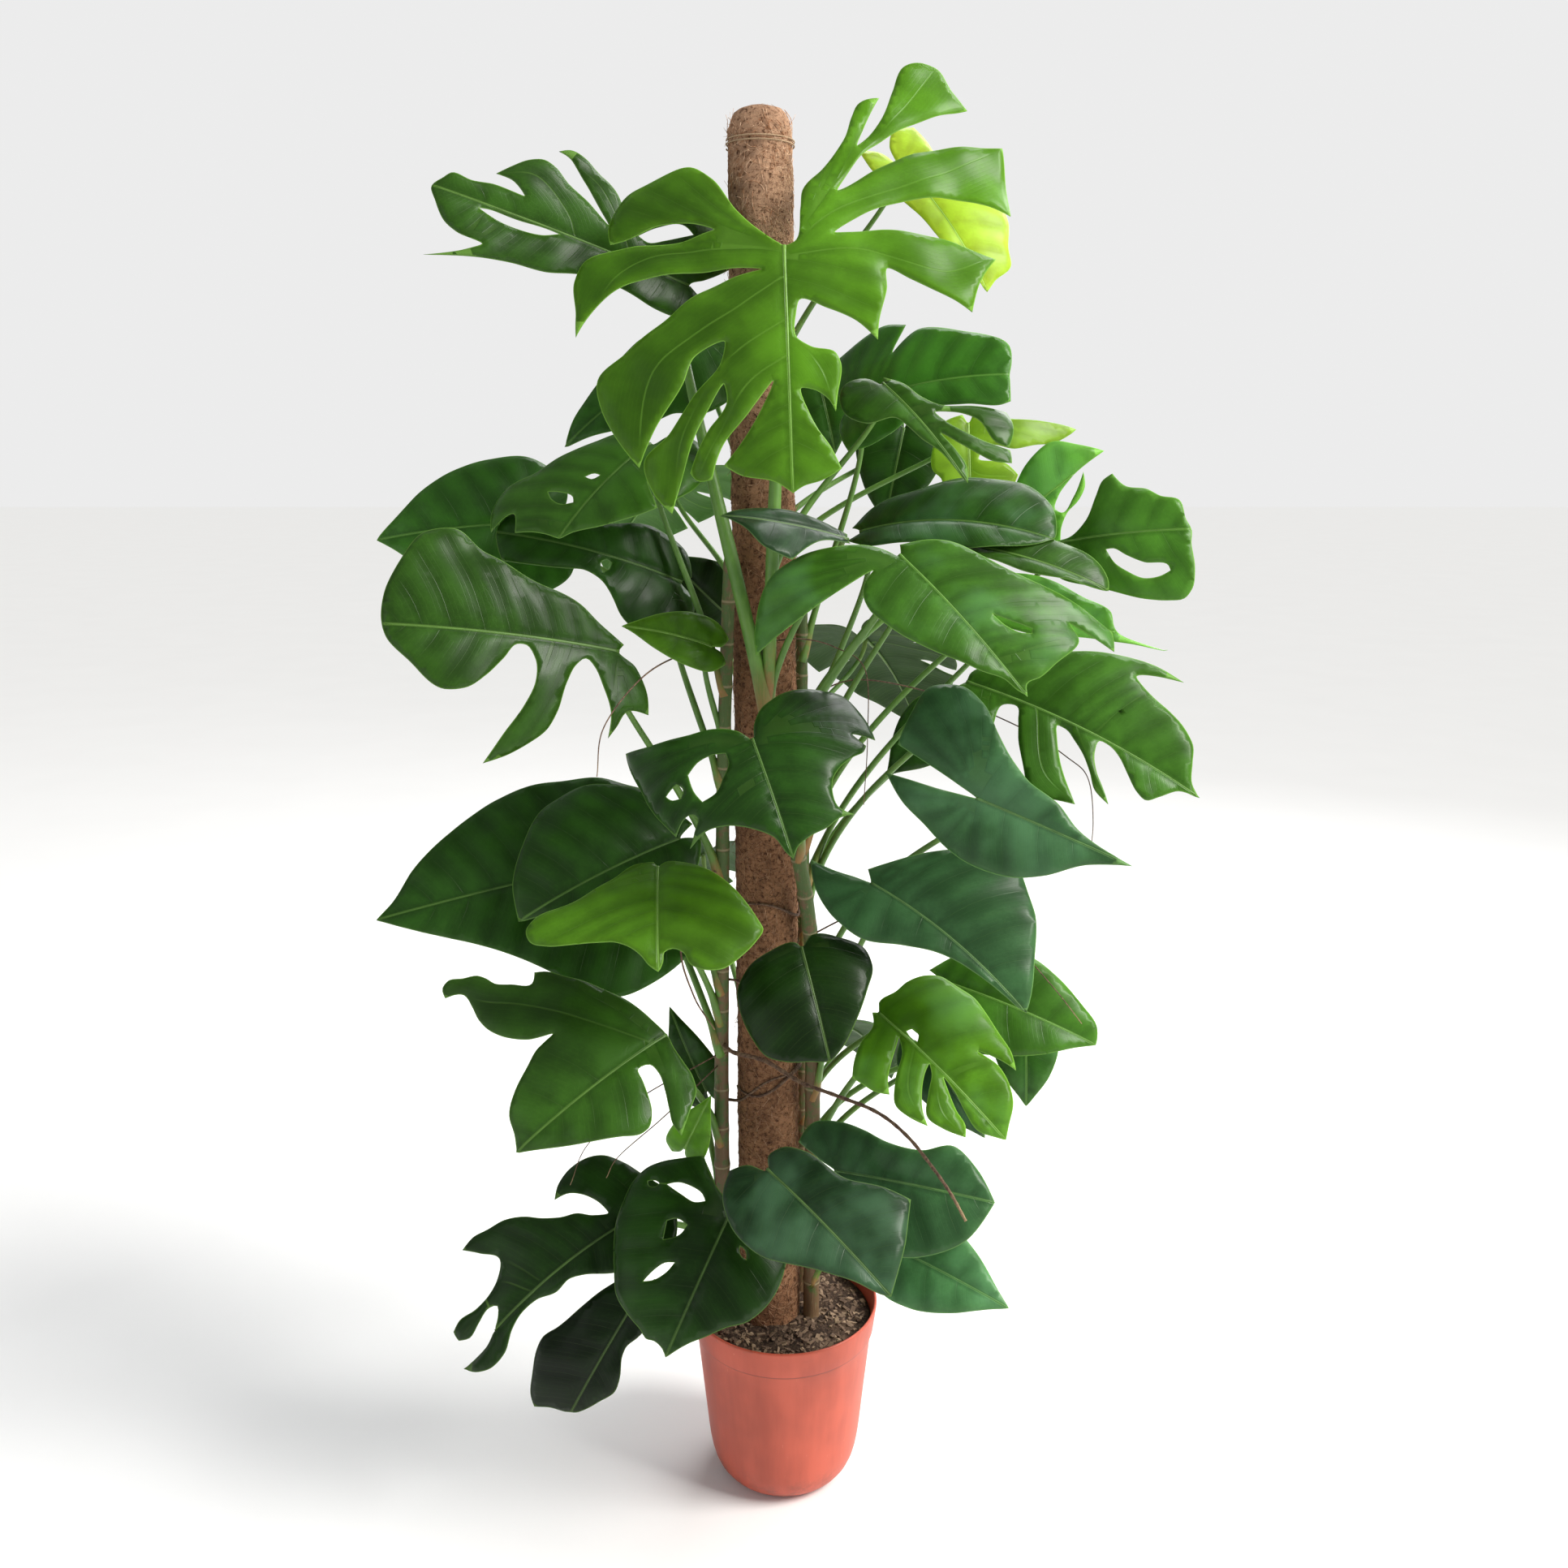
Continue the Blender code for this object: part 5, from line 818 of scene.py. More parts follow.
CREST_DOWN = [(0.0, 0.04), (0.3, 0.1), (0.7, 0.10)]
CREST_UP = [(0.0, 0.04), (0.2, 0.12), (0.55, 0.17), (0.85, 0.17), (0.98, 0.06)]
PEAK_LEFT = [
    (-0.05, 0.07), (-0.07, 0.25), (-0.01, 0.41), (0.12, 0.55), (0.31, 0.45), (0.40, 0.33), (0.51, 0.25),
    (0.61, 0.23), (0.72, 0.16), (0.78, 0.04), (0.61, 0.17), (0.47, 0.22), (0.45, 0.16), (0.52, 0.08),
    (0.66, 0.02),
]
PEAK_RIGHT = [
    (-0.02, 0.06), (0.07, 0.10), (0.32, 0.25), (0.47, 0.34), (0.58, 0.37), (0.73, 0.37), (0.88, 0.19),
]
ISLAND_UP = [(0.0, 0.02), (0.20, 0.03), (0.32, 0.12), (0.39, 0.27), (0.44, 0.38), (0.50, 0.42),
    (0.59, 0.32), (0.73, 0.28), (0.82, 0.22), (0.93, 0.19), (0.97, 0.06)]
ISLAND_DOWN = [(0.0, 0.04), (0.12, 0.25), (0.30, 0.32), (0.46, 0.37), (0.68, 0.44), (0.84, 0.46),
    (0.94, 0.45), (0.99, 0.39), (1.01, 0.26), (0.995, 0.10)]
ISLAND_HOLES = [
    [(0.45, -0.10), (0.50, -0.10), (0.58, -0.15), (0.70, -0.21), (0.85, -0.24), (0.86, -0.27),
        (0.80, -0.30), (0.69, -0.31), (0.59, -0.26), (0.51, -0.20)]
]
# the split leaf at the right with hanging fingers
COMB_UP = [(0.0, 0.03), (0.1, 0.12), (0.25, 0.22), (0.43, 0.32), (0.6, 0.36), (0.74, 0.37), (0.58, 0.28),
    (0.68, 0.235), (0.75, 0.215), (0.82, 0.19), (0.88, 0.15), (0.91, 0.09), (0.95, 0.025)]
COMB_DOWN = [(-0.02, 0.04), (-0.04, 0.18), (0.02, 0.26), (0.10, 0.36), (0.22, 0.38), (0.20, 0.27),
    (0.18, 0.14), (0.18, 0.04), (0.23, 0.03), (0.26, 0.08), (0.30, 0.16), (0.37, 0.25), (0.43, 0.33),
    (0.53, 0.30), (0.61, 0.28), (0.54, 0.22), (0.48, 0.16), (0.43, 0.09), (0.405, 0.03), (0.44, 0.03),
    (0.49, 0.06), (0.55, 0.10), (0.60, 0.145), (0.65, 0.20), (0.72, 0.22), (0.67, 0.175), (0.62, 0.13),
    (0.58, 0.07), (0.575, 0.02), (0.62, 0.02), (0.67, 0.04), (0.73, 0.08), (0.79, 0.12), (0.83, 0.13),
    (0.87, 0.09), (0.92, 0.03)]
DROOP_DOWN = [(-0.15, 0.02), (-0.60, 0.06), (-0.41, 0.17), (-0.23, 0.23), (-0.06, 0.29), (0.10, 0.32),
    (0.25, 0.32), (0.38, 0.30), (0.57, 0.22), (0.76, 0.09)]
DROOP_UP = [(-0.15, 0.03), (-0.60, 0.10), (-0.62, 0.30), (-0.60, 0.47), (-0.42, 0.55), (-0.25, 0.51),
    (-0.05, 0.36), (0.10, 0.26), (0.26, 0.18), (0.48, 0.13), (0.62, 0.06)]
SHIELD_LEFT = [(-0.1, 0.02), (-0.34, 0.05), (-0.22, 0.17), (-0.05, 0.25), (0.15, 0.27), (0.34, 0.18),
    (0.60, 0.07), (0.85, 0.03)]
SHIELD_RIGHT = [(-0.05, 0.05), (0.05, 0.18), (0.19, 0.33), (0.38, 0.50), (0.50, 0.51), (0.70, 0.38),
    (0.88, 0.17), (0.97, 0.05)]
# the broad dark leaf in front of the pole's middle
STAR_RIGHT = [
    (-0.1, 0.04), (-0.24, 0.14), (-0.33, 0.30), (-0.36, 0.6), (-0.34, 0.9), (-0.12, 1.0), (0.08, 1.02),
    (0.10, 0.78), (0.20, 0.88), (0.30, 0.80), (0.37, 0.66), (0.44, 0.55), (0.53, 0.46), (0.63, 0.42),
    (0.74, 0.42), (0.83, 0.52), (0.83, 0.40), (0.87, 0.30), (0.89, 0.18), (0.94, 0.05),
]
STAR_LEFT = [(-0.09, 0.08), (-0.19, 0.26), (-0.23, 0.44), (-0.30, 0.60), (-0.39, 0.79), (-0.56, 1.05),
    (-0.31, 1.05), (-0.06, 1.00), (0.24, 0.92), (0.53, 0.80), (0.46, 0.71), (0.44, 0.63), (0.50, 0.57),
    (0.58, 0.63), (0.68, 0.71), (0.62, 0.54), (0.65, 0.36), (0.73, 0.20), (0.83, 0.08), (0.96, 0.03)]
STAR_HOLES = [
    [(0.10, -0.55), (0.05, -0.45), (0.05, -0.34), (0.08, -0.23), (0.17, -0.23), (0.28, -0.31), (0.36, -0.38),
        (0.39, -0.50), (0.28, -0.54)],
    [(0.16, -0.77), (0.12, -0.66), (0.21, -0.62), (0.27, -0.65), (0.24, -0.72)],
]
WING_LEFT = [(-0.1, 0.05), (0.0, 0.28), (0.168, 0.47), (0.366, 0.56), (0.618, 0.54), (0.80, 0.38),
    (0.93, 0.2), (0.98, 0.06)]
WING_RIGHT = [(-0.1, 0.05), (0.0, 0.2), (0.3, 0.28), (0.6, 0.2), (0.85, 0.06)]
CAPE_LEFT = [(-0.05, 0.03), (-0.02, 0.15), (0.18, 0.31), (0.33, 0.47), (0.43, 0.64), (0.52, 0.78),
    (0.61, 0.83), (0.71, 0.80), (0.76, 0.69), (0.76, 0.39), (0.77, 0.26), (0.82, 0.17), (0.89, 0.10),
    (0.95, 0.06)]
CAPE_RIGHT = [(-0.03, 0.05), (0.01, 0.17), (0.13, 0.34), (0.29, 0.47), (0.49, 0.58), (0.63, 0.64),
    (0.72, 0.67), (0.82, 0.62), (0.94, 0.51), (1.02, 0.40), (1.02, 0.28), (0.97, 0.20), (0.88, 0.16),
    (0.84, 0.09), (0.86, 0.04), (0.93, 0.03)]
LONG_UP = [(-0.05, 0.05), (0.0, 0.2), (0.2, 0.3), (0.40, 0.315), (0.54, 0.29), (0.70, 0.217),
    (0.86, 0.116), (0.95, 0.03)]
LONG_DOWN = [(-0.05, 0.1), (0.0, 0.33), (0.14, 0.40), (0.29, 0.418), (0.407, 0.35), (0.594, 0.22),
    (0.8, 0.11), (0.94, 0.04)]
# the leaf at the left with a long hooked finger
HOOK_UP = [(0.01, 0.07), (0.03, 0.17), (0.07, 0.29), (0.14, 0.44), (0.25, 0.59), (0.33, 0.71),
    (0.38, 0.74), (0.43, 0.69), (0.52, 0.75), (0.59, 0.82), (0.61, 0.88), (0.64, 0.93), (0.71, 0.97),
    (0.79, 1.02), (0.83, 1.01), (0.85, 0.95), (0.76, 0.89), (0.76, 0.80), (0.77, 0.72), (0.76, 0.63),
    (0.72, 0.54), (0.62, 0.43), (0.50, 0.37), (0.62, 0.355), (0.71, 0.31), (0.81, 0.26), (0.92, 0.17),
    (0.96, 0.07)]
HOOK_DOWN = [
    (0.02, 0.09), (0.03, 0.19), (0.04, 0.28), (0.08, 0.37), (0.15, 0.42), (0.28, 0.51), (0.28, 0.43),
    (0.25, 0.36), (0.21, 0.27), (0.18, 0.17), (0.19, 0.10), (0.25, 0.08), (0.27, 0.15), (0.29, 0.22),
    (0.32, 0.30), (0.39, 0.37), (0.44, 0.37), (0.53, 0.32), (0.69, 0.22), (0.84, 0.12), (0.96, 0.03),
]
APRON_LEFT = [(-0.04, 0.03), (-0.02, 0.31), (0.05, 0.50), (0.19, 0.63), (0.40, 0.66), (0.66, 0.61),
    (0.85, 0.51), (0.93, 0.35), (0.97, 0.16)]
APRON_RIGHT = [
    (-0.07, 0.10), (0.0, 0.34), (0.13, 0.54), (0.30, 0.57), (0.52, 0.45), (0.75, 0.29), (0.93, 0.12),
]
# the bright leaf right of the pole with three fingers
SPLIT_LEFT = [(-0.02, 0.03), (0.04, 0.08), (0.07, 0.21), (0.12, 0.32), (0.17, 0.39), (0.24, 0.375),
    (0.31, 0.36), (0.39, 0.31), (0.33, 0.26), (0.28, 0.18), (0.23, 0.09), (0.195, 0.03), (0.27, 0.08),
    (0.36, 0.23), (0.46, 0.33), (0.56, 0.32), (0.66, 0.28), (0.59, 0.245), (0.51, 0.17), (0.45, 0.08),
    (0.43, 0.025), (0.48, 0.06), (0.54, 0.15), (0.63, 0.25), (0.72, 0.23), (0.84, 0.165), (0.80, 0.12),
    (0.71, 0.10), (0.62, 0.065), (0.54, 0.025), (0.64, 0.035), (0.74, 0.065), (0.87, 0.085), (0.94, 0.045)]
SPLIT_RIGHT = [(-0.03, 0.04), (-0.01, 0.16), (-0.01, 0.25), (0.03, 0.35), (0.10, 0.42), (0.22, 0.445),
    (0.34, 0.46), (0.43, 0.44), (0.59, 0.40), (0.70, 0.37), (0.79, 0.31), (0.69, 0.285), (0.57, 0.23),
    (0.70, 0.255), (0.80, 0.23), (0.89, 0.17), (0.96, 0.06)]
SPLIT_HOLES = [[(0.20, 0.025), (0.22, 0.06), (0.27, 0.055), (0.29, 0.02), (0.24, 0.015)]]
SLIM_RIGHT = [
    (-0.10, 0.05), (0.05, 0.25), (0.20, 0.38), (0.41, 0.45), (0.67, 0.36), (0.85, 0.24), (0.96, 0.14),
]
BEAK_UP = [(-0.05, 0.04), (-0.16, 0.22), (0.05, 0.24), (0.26, 0.22), (0.45, 0.17), (0.63, 0.11), (0.67, 0.03)]
BEAK_DOWN = [(-0.05, 0.04), (0.0, 0.15), (0.30, 0.16), (0.60, 0.08), (0.72, 0.06), (0.90, 0.03)]
# the dark leaf at the lower left with antler-like arms
ANTLER_UP = [(-0.10, 0.04), (-0.03, 0.15), (0.01, 0.23), (0.07, 0.30), (0.14, 0.33), (0.22, 0.33),
    (0.28, 0.30), (0.32, 0.25), (0.27, 0.24), (0.21, 0.19), (0.17, 0.12), (0.16, 0.07), (0.22, 0.10),
    (0.27, 0.145), (0.33, 0.17), (0.40, 0.22), (0.45, 0.27), (0.53, 0.32), (0.60, 0.34), (0.66, 0.36),
    (0.72, 0.35), (0.67, 0.28), (0.62, 0.20), (0.68, 0.14), (0.74, 0.12), (0.81, 0.12), (0.88, 0.14),
    (0.93, 0.13), (0.94, 0.09), (0.90, 0.06), (0.83, 0.07), (0.76, 0.08), (0.73, 0.06), (0.75, 0.03),
    (0.80, 0.0), (0.86, -0.02), (0.93, -0.015)]
ANTLER_DOWN = [(-0.1, 0.05), (0.0, 0.2), (0.10, 0.19), (0.25, 0.16), (0.37, 0.09), (0.43, 0.065),
    (0.50, 0.07), (0.59, 0.035), (0.66, 0.035), (0.74, 0.06), (0.82, 0.10), (0.90, 0.10), (0.96, 0.06)]
# the dark leaf in front of the pot's left side, with long windows
WINDOW_LEFT = [(-0.07, 0.05), (-0.14, 0.17), (-0.23, 0.28), (-0.29, 0.34), (-0.22, 0.48), (-0.16, 0.60),
    (-0.09, 0.69), (0.06, 0.77), (0.21, 0.76), (0.37, 0.73), (0.53, 0.66), (0.68, 0.57), (0.80, 0.49),
    (0.88, 0.33), (0.92, 0.22), (0.95, 0.17), (0.94, 0.11), (0.96, 0.04)]
WINDOW_RIGHT = [(0.0, 0.04), (-0.02, 0.19), (0.0, 0.32), (0.04, 0.47), (0.14, 0.50), (0.25, 0.51),
    (0.38, 0.49), (0.48, 0.45), (0.56, 0.40), (0.65, 0.29), (0.76, 0.19), (0.84, 0.11), (0.92, 0.05)]
WINDOW_HOLES = [
    [(0.01, -0.64), (-0.01, -0.58), (0.0, -0.545), (0.03, -0.56), (0.04, -0.61)],
    [(-0.01, -0.49), (-0.05, -0.42), (-0.06, -0.33), (-0.045, -0.23), (-0.01, -0.19), (0.03, -0.25),
        (0.02, -0.36)],
    [(0.22, -0.37), (0.18, -0.31), (0.19, -0.23), (0.25, -0.24), (0.34, -0.34), (0.28, -0.355)],
    [(0.64, -0.34), (0.55, -0.31), (0.47, -0.26), (0.44, -0.20), (0.51, -0.22), (0.60, -0.28)],
    [(0.15, 0.155), (0.16, 0.20), (0.21, 0.23), (0.20, 0.18)],
]
FLAG_LEFT = [(-0.10, 0.04), (-0.03, 0.13), (0.14, 0.24), (0.36, 0.33), (0.55, 0.40), (0.68, 0.46),
    (0.79, 0.45), (0.93, 0.40), (1.09, 0.32), (1.13, 0.26), (1.07, 0.17)]
FLAG_RIGHT = [(-0.10, 0.04), (0.0, 0.20), (0.15, 0.19), (0.27, 0.16), (0.38, 0.12), (0.44, 0.13),
    (0.56, 0.19), (0.67, 0.21), (0.79, 0.15)]
SADDLE_RIGHT = [(-0.05, 0.05), (-0.02, 0.12), (0.12, 0.18), (0.40, 0.22), (0.60, 0.32),
    (0.74, 0.37), (0.88, 0.2), (0.97, 0.05)]
SADDLE_LEFT = [(-0.1, 0.05), (-0.16, 0.13), (-0.05, 0.25), (0.09, 0.31), (0.34, 0.31),
    (0.65, 0.16), (0.82, 0.08), (0.95, 0.03)]
TRAY_DOWN = [(-0.1, 0.05), (-0.1, 0.2), (0.2, 0.33), (0.6, 0.35), (0.87, 0.22)]
TRAY_UP = [(-0.10, 0.04), (-0.29, 0.12), (-0.21, 0.23), (-0.03, 0.26), (0.17, 0.23), (0.32, 0.19),
    (0.55, 0.18), (0.73, 0.23), (0.88, 0.14)]


def cross_section(reach, fold, droop, half):
    """How far out and up a blade's half gets at a reach: it rises at the midrib and droops outward."""
    curl = droop / half
    out = (np.sin(curl * reach - fold) + np.sin(fold)) / curl
    lift = (np.cos(curl * reach - fold) - np.cos(fold)) / curl
    return out, lift


class Leaf:
    """One leaf: where its stalk joins, its tip, the way its upper face looks, its halves and its bends.

    Holes are rings of points (forward, sideways) in leaf lengths, with the left side negative.
    """

    def __init__(self, name, base, tip, face, halves, colour, stem, node_height, **bends):
        self.name = name
        self.base = np.array(base)
        self.length = float(np.linalg.norm(np.array(tip) - self.base))
        self.forward = (np.array(tip) - self.base) / self.length
        face = np.array(face)
        face = face - face.dot(self.forward) * self.forward
        self.up = face / np.linalg.norm(face)
        self.side = np.cross(self.up, self.forward)
        self.halves = halves
        self.colour = colour
        self.stem = stem
        self.node_height = node_height
        self.width = bends.get("width", 1.0)
        self.arch = bends.get("arch", 0.08)
        self.sweep = bends.get("sweep", 0.0)
        self.fold = np.radians(bends.get("fold", (10, 10)))
        self.droop = np.radians(bends.get("droop", (30, 30)))
        self.swing = bends.get("swing", (0.0, 0.0, 0.0))
        self.holes = bends.get("holes", [])
        self.stalk = bends.get("stalk", 0.0045 + 0.0015 * min(1.0, self.length / 0.3))

    def frame(self, x):
        """Point on the midrib's line and the directions along, across and off the blade there."""
        x = np.asarray(x, float)[..., None]
        ahead = x >= 0
        height = np.where(ahead, 4 * self.arch * x * (1 - x), 4 * self.arch * x)
        shift = np.where(ahead, 4 * self.sweep * x * (1 - x), 4 * self.sweep * x)
        rise = np.where(ahead, 4 * self.arch * (1 - 2 * x), 4 * self.arch)
        turn = np.where(ahead, 4 * self.sweep * (1 - 2 * x), 4 * self.sweep)
        point = self.base + self.length * (self.forward * x + self.up * height + self.side * shift)
        along = self.forward + self.up * rise + self.side * turn
        along = along / np.linalg.norm(along, axis=-1, keepdims=True)
        across = self.side - (along @ self.side)[..., None] * along
        across = across / np.linalg.norm(across, axis=-1, keepdims=True)
        return point, along, across, np.cross(along, across)

    def place(self, x, y):
        """World points for leaf-plane points x forward and y outward, in leaf lengths."""
        y = np.asarray(y, float)
        point, along, across, normal = self.frame(x)
        half = (y > 0).astype(int)
        out, lift = cross_section(np.abs(y) * self.length, self.fold[half], self.droop[half],
            0.5 * self.length)
        return point + across * (out * np.where(half, 1, -1))[..., None] + normal * lift[..., None]


LEAVES = [
    Leaf(
        "leaf_01", (0.000, -0.110, 1.545), (0.010, -0.200, 1.270), (0.0, -0.92, 0.35),
        (TOP_LEFT, TOP_RIGHT), "BRIGHT", "stem_front", 1.02, arch=0.05, fold=(0.01, 0.01), droop=(10, 10),
        stalk=0.0098,
    ),
    Leaf(
        "leaf_02", (0.140, 0.070, 1.670), (0.245, 0.000, 1.505), (0.3, -0.85, 0.35),
        (SUNNY_LEFT, SUNNY_RIGHT), "LIME", "stem_back", 1.33, width=0.9,
    ),
    Leaf(
        "leaf_03", (-0.115, 0.020, 1.515), (-0.405, -0.060, 1.620), (-0.2, -0.85, 0.45),
        (REACH_UP, REACH_DOWN), "MID", "stem_front", 0.985, width=1.05, arch=0.02, holes=REACH_HOLES,
        stalk=0.0105, swing=(-0.045, -0.020, 0.0),
    ),
    Leaf(
        "leaf_04", (-0.100, 0.150, 1.460), (-0.280, 0.080, 1.320), (-0.2, -0.9, 0.3),
        (LEAN_LEFT, LEAN_RIGHT), "DARK", "stem_back", 1.18, width=0.75,
    ),
    Leaf(
        "leaf_05", (0.080, 0.020, 1.370), (0.265, -0.050, 1.405), (0.2, -0.8, 0.5),
        (BLUNT_DOWN, BLUNT_UP), "DARK", "stem_right", 1.05, width=1.1,
    ),
    Leaf(
        "leaf_06", (0.115, -0.060, 1.395), (0.205, -0.150, 1.280), (0.1, -0.8, 0.5),
        (FORK_LEFT, FORK_RIGHT), "MID", "stem_front", 1.13, arch=0.06,
    ),
    Leaf(
        "leaf_07", (0.230, 0.050, 1.350), (0.230, 0.020, 1.170), (0.0, -0.95, 0.2),
        (YOUNG_LEFT, YOUNG_RIGHT), "LIME", "stem_back", 1.10,
    ),
    Leaf(
        "leaf_08", (-0.160, -0.020, 1.325), (-0.260, -0.100, 1.215), (-0.2, -0.85, 0.4),
        (BROAD_UP, ONE_CUT), "MID", "stem_left", 1.02, width=0.95, swing=(0.0, 0.03, 0.0),
        holes=BROAD_HOLES,
    ),
    Leaf(
        "leaf_09", (-0.310, 0.060, 1.224), (-0.505, 0.020, 1.205), (-0.2, -0.9, 0.3),
        (HEART, HEART), "DARK", "stem_back", 0.98, width=0.92,
    ),
    Leaf(
        "leaf_10", (-0.125, 0.000, 1.155), (-0.340, -0.060, 1.220), (-0.1, -0.8, 0.5),
        (SHELF_UP, SHELF_DOWN), "DARK", "stem_left", 0.90, width=1.1, holes=SHELF_HOLES,
    ),
    Leaf(
        "leaf_11", (-0.190, -0.110, 1.085), (-0.435, -0.210, 1.130), (-0.2, -0.85, 0.4),
        (CLAW_UP, CLAW_DOWN), "MID", "stem_left", 0.78, width=1.05, arch=0.06,
    ),
    Leaf(
        "leaf_12", (-0.085, -0.070, 1.085), (-0.190, -0.090, 1.112), (-0.1, -0.8, 0.5),
        (HEART_SMALL, HEART_SMALL), "BRIGHT", "stem_left", 0.96, width=0.62,
    ),
    Leaf(
        "leaf_13", (-0.075, 0.150, 1.095), (-0.160, 0.135, 1.180), (-0.1, -0.95, 0.2),
        (HEART_SMALL, HEART_SMALL), "DARK", "stem_back", 0.88, width=0.9, swing=(0.0, 0.03, 0.0),
    ),
    Leaf(
        "leaf_14", (0.130, -0.140, 1.200), (0.260, -0.240, 1.055), (0.1, -0.85, 0.5),
        (GLOSS_LEFT, GLOSS_RIGHT), "MID", "stem_front", 0.90, width=1.06, arch=0.05, swing=(0.0, 0.02, 0.0),
        holes=GLOSS_HOLES, stalk=0.0075,
    ),
    Leaf(
        "leaf_15", (0.090, -0.040, 1.220), (0.310, -0.110, 1.215), (0.1, -0.65, 0.75),
        (CANOPY_DOWN, CANOPY_UP), "DARK", "stem_right", 0.92, width=1.3, arch=0.1,
    ),
    Leaf(
        "leaf_16", (0.075, -0.100, 1.215), (-0.070, -0.160, 1.245), (-0.1, -0.6, 0.8),
        (STRAP_UP, STRAP_DOWN), "TEAL", "stem_front", 1.00, width=1.6, arch=0.03,
    ),
    Leaf(
        "leaf_17", (0.155, -0.090, 1.210), (0.365, -0.150, 1.160), (0.1, -0.6, 0.8),
        (CREST_DOWN, CREST_UP), "MID", "stem_right", 0.86,
    ),
    Leaf(
        "leaf_18", (0.272, 0.066, 1.210), (0.400, 0.045, 1.315), (0.2, -0.85, 0.4),
        (PEAK_LEFT, PEAK_RIGHT), "MID", "stem_right", 0.96, width=0.8,
    ),
    Leaf(
        "leaf_19", (0.320, 0.000, 1.200), (0.475, -0.080, 1.225), (0.3, -0.85, 0.3),
        (ISLAND_DOWN, ISLAND_UP), "MID", "stem_right", 0.80, width=1.05, holes=ISLAND_HOLES,
    ),
    Leaf(
        "leaf_20", (0.215, -0.080, 1.045), (0.465, -0.180, 0.930), (0.2, -0.85, 0.4),
        (COMB_DOWN, COMB_UP), "MID", "stem_right", 0.68, width=1.08, sweep=0.02, arch=0.05,
        swing=(-0.03, 0.0, 0.03),
    ),
    Leaf(
        "leaf_21", (0.211, -0.205, 0.936), (0.366, -0.280, 0.882), (0.1, -0.90, 0.25),
        (DROOP_DOWN, DROOP_UP), "TEAL", "stem_front", 0.62, width=1.2, arch=0.03, swing=(0.0, 0.05, 0.03),
    ),
    Leaf(
        "leaf_22", (0.208, 0.092, 0.968), (0.132, 0.062, 0.898), (0.0, -0.9, 0.4),
        (HEART_SMALL, HEART_SMALL), "DARK", "stem_right", 0.74, width=0.8,
    ),
    Leaf(
        "leaf_23", (0.100, -0.140, 0.820), (0.265, -0.240, 0.705), (0.1, -0.85, 0.5),
        (SHIELD_LEFT, SHIELD_RIGHT), "TEAL", "stem_front", 0.56, width=1.05, sweep=0.03, arch=0.06,
    ),
    Leaf(
        "leaf_24", (-0.035, -0.190, 1.000), (0.010, -0.280, 0.890), (0.0, -0.85, 0.5),
        (STAR_LEFT, STAR_RIGHT), "DARK", "stem_front", 0.82, holes=STAR_HOLES,
    ),
    Leaf(
        "leaf_25", (-0.125, -0.060, 0.850), (-0.310, -0.130, 0.770), (-0.1, -0.8, 0.5),
        (WING_LEFT, WING_RIGHT), "DARK", "stem_left", 0.64,
    ),
    Leaf(
        "leaf_26", (-0.145, -0.140, 0.840), (-0.135, -0.260, 0.760), (0.0, -0.7, 0.7),
        (CAPE_LEFT, CAPE_RIGHT), "BRIGHT", "stem_left", 0.60, width=1.2, fold=(5, 10), droop=(5, 15),
    ),
    Leaf(
        "leaf_27", (-0.150, 0.020, 0.810), (-0.490, -0.080, 0.755), (-0.2, -0.8, 0.5),
        (LONG_UP, LONG_DOWN), "DARK", "stem_left", 0.56, width=1.1, arch=0.03,
    ),
    Leaf(
        "leaf_28", (-0.134, -0.170, 0.651), (-0.292, -0.260, 0.556), (-0.2, -0.8, 0.5),
        (HOOK_UP, HOOK_DOWN), "MID", "stem_left", 0.44, droop=(6, 20), fold=(5, 10),
    ),
    Leaf(
        "leaf_29", (-0.125, -0.040, 0.445), (-0.090, -0.060, 0.525), (0.0, -0.9, 0.4),
        (HEART_SMALL, HEART_SMALL), "BRIGHT", "stem_left", 0.34, width=0.6,
    ),
    Leaf(
        "leaf_30", (0.020, -0.170, 0.755), (0.050, -0.250, 0.655), (0.0, -0.85, 0.5),
        (APRON_LEFT, APRON_RIGHT), "DARK", "stem_front", 0.50,
    ),
    Leaf(
        "leaf_31", (0.110, -0.140, 0.665), (0.245, -0.240, 0.560), (0.1, -0.8, 0.5),
        (SPLIT_LEFT, SPLIT_RIGHT), "BRIGHT", "stem_front", 0.42, holes=SPLIT_HOLES,
    ),
    Leaf(
        "leaf_32", (0.190, -0.080, 0.680), (0.365, -0.140, 0.625), (0.1, -0.8, 0.5),
        (HEART, SLIM_RIGHT), "MID", "stem_right", 0.44, width=0.75,
    ),
    Leaf(
        "leaf_33", (0.295, -0.060, 0.615), (0.295, -0.080, 0.520), (0.0, -0.9, 0.4),
        (HEART_SMALL, HEART_SMALL), "DARK", "stem_right", 0.38, width=0.85,
    ),
    Leaf(
        "leaf_34", (0.170, -0.080, 0.595), (0.240, -0.120, 0.500), (0.0, -0.9, 0.4),
        (HEART_SMALL, HEART_SMALL), "TEAL", "stem_right", 0.34, width=0.65,
    ),
    Leaf(
        "leaf_35", (-0.165, -0.080, 0.390), (-0.380, -0.160, 0.235), (-0.2, -0.8, 0.5),
        (ANTLER_UP, ANTLER_DOWN), "DARK", "stem_left", 0.28, sweep=-0.04,
    ),
    Leaf(
        "leaf_36", (-0.065, -0.140, 0.415), (-0.135, -0.220, 0.290), (0.0, -0.8, 0.5),
        (WINDOW_LEFT, WINDOW_RIGHT), "DARK", "stem_left", 0.25, width=1.05, holes=WINDOW_HOLES,
    ),
    Leaf(
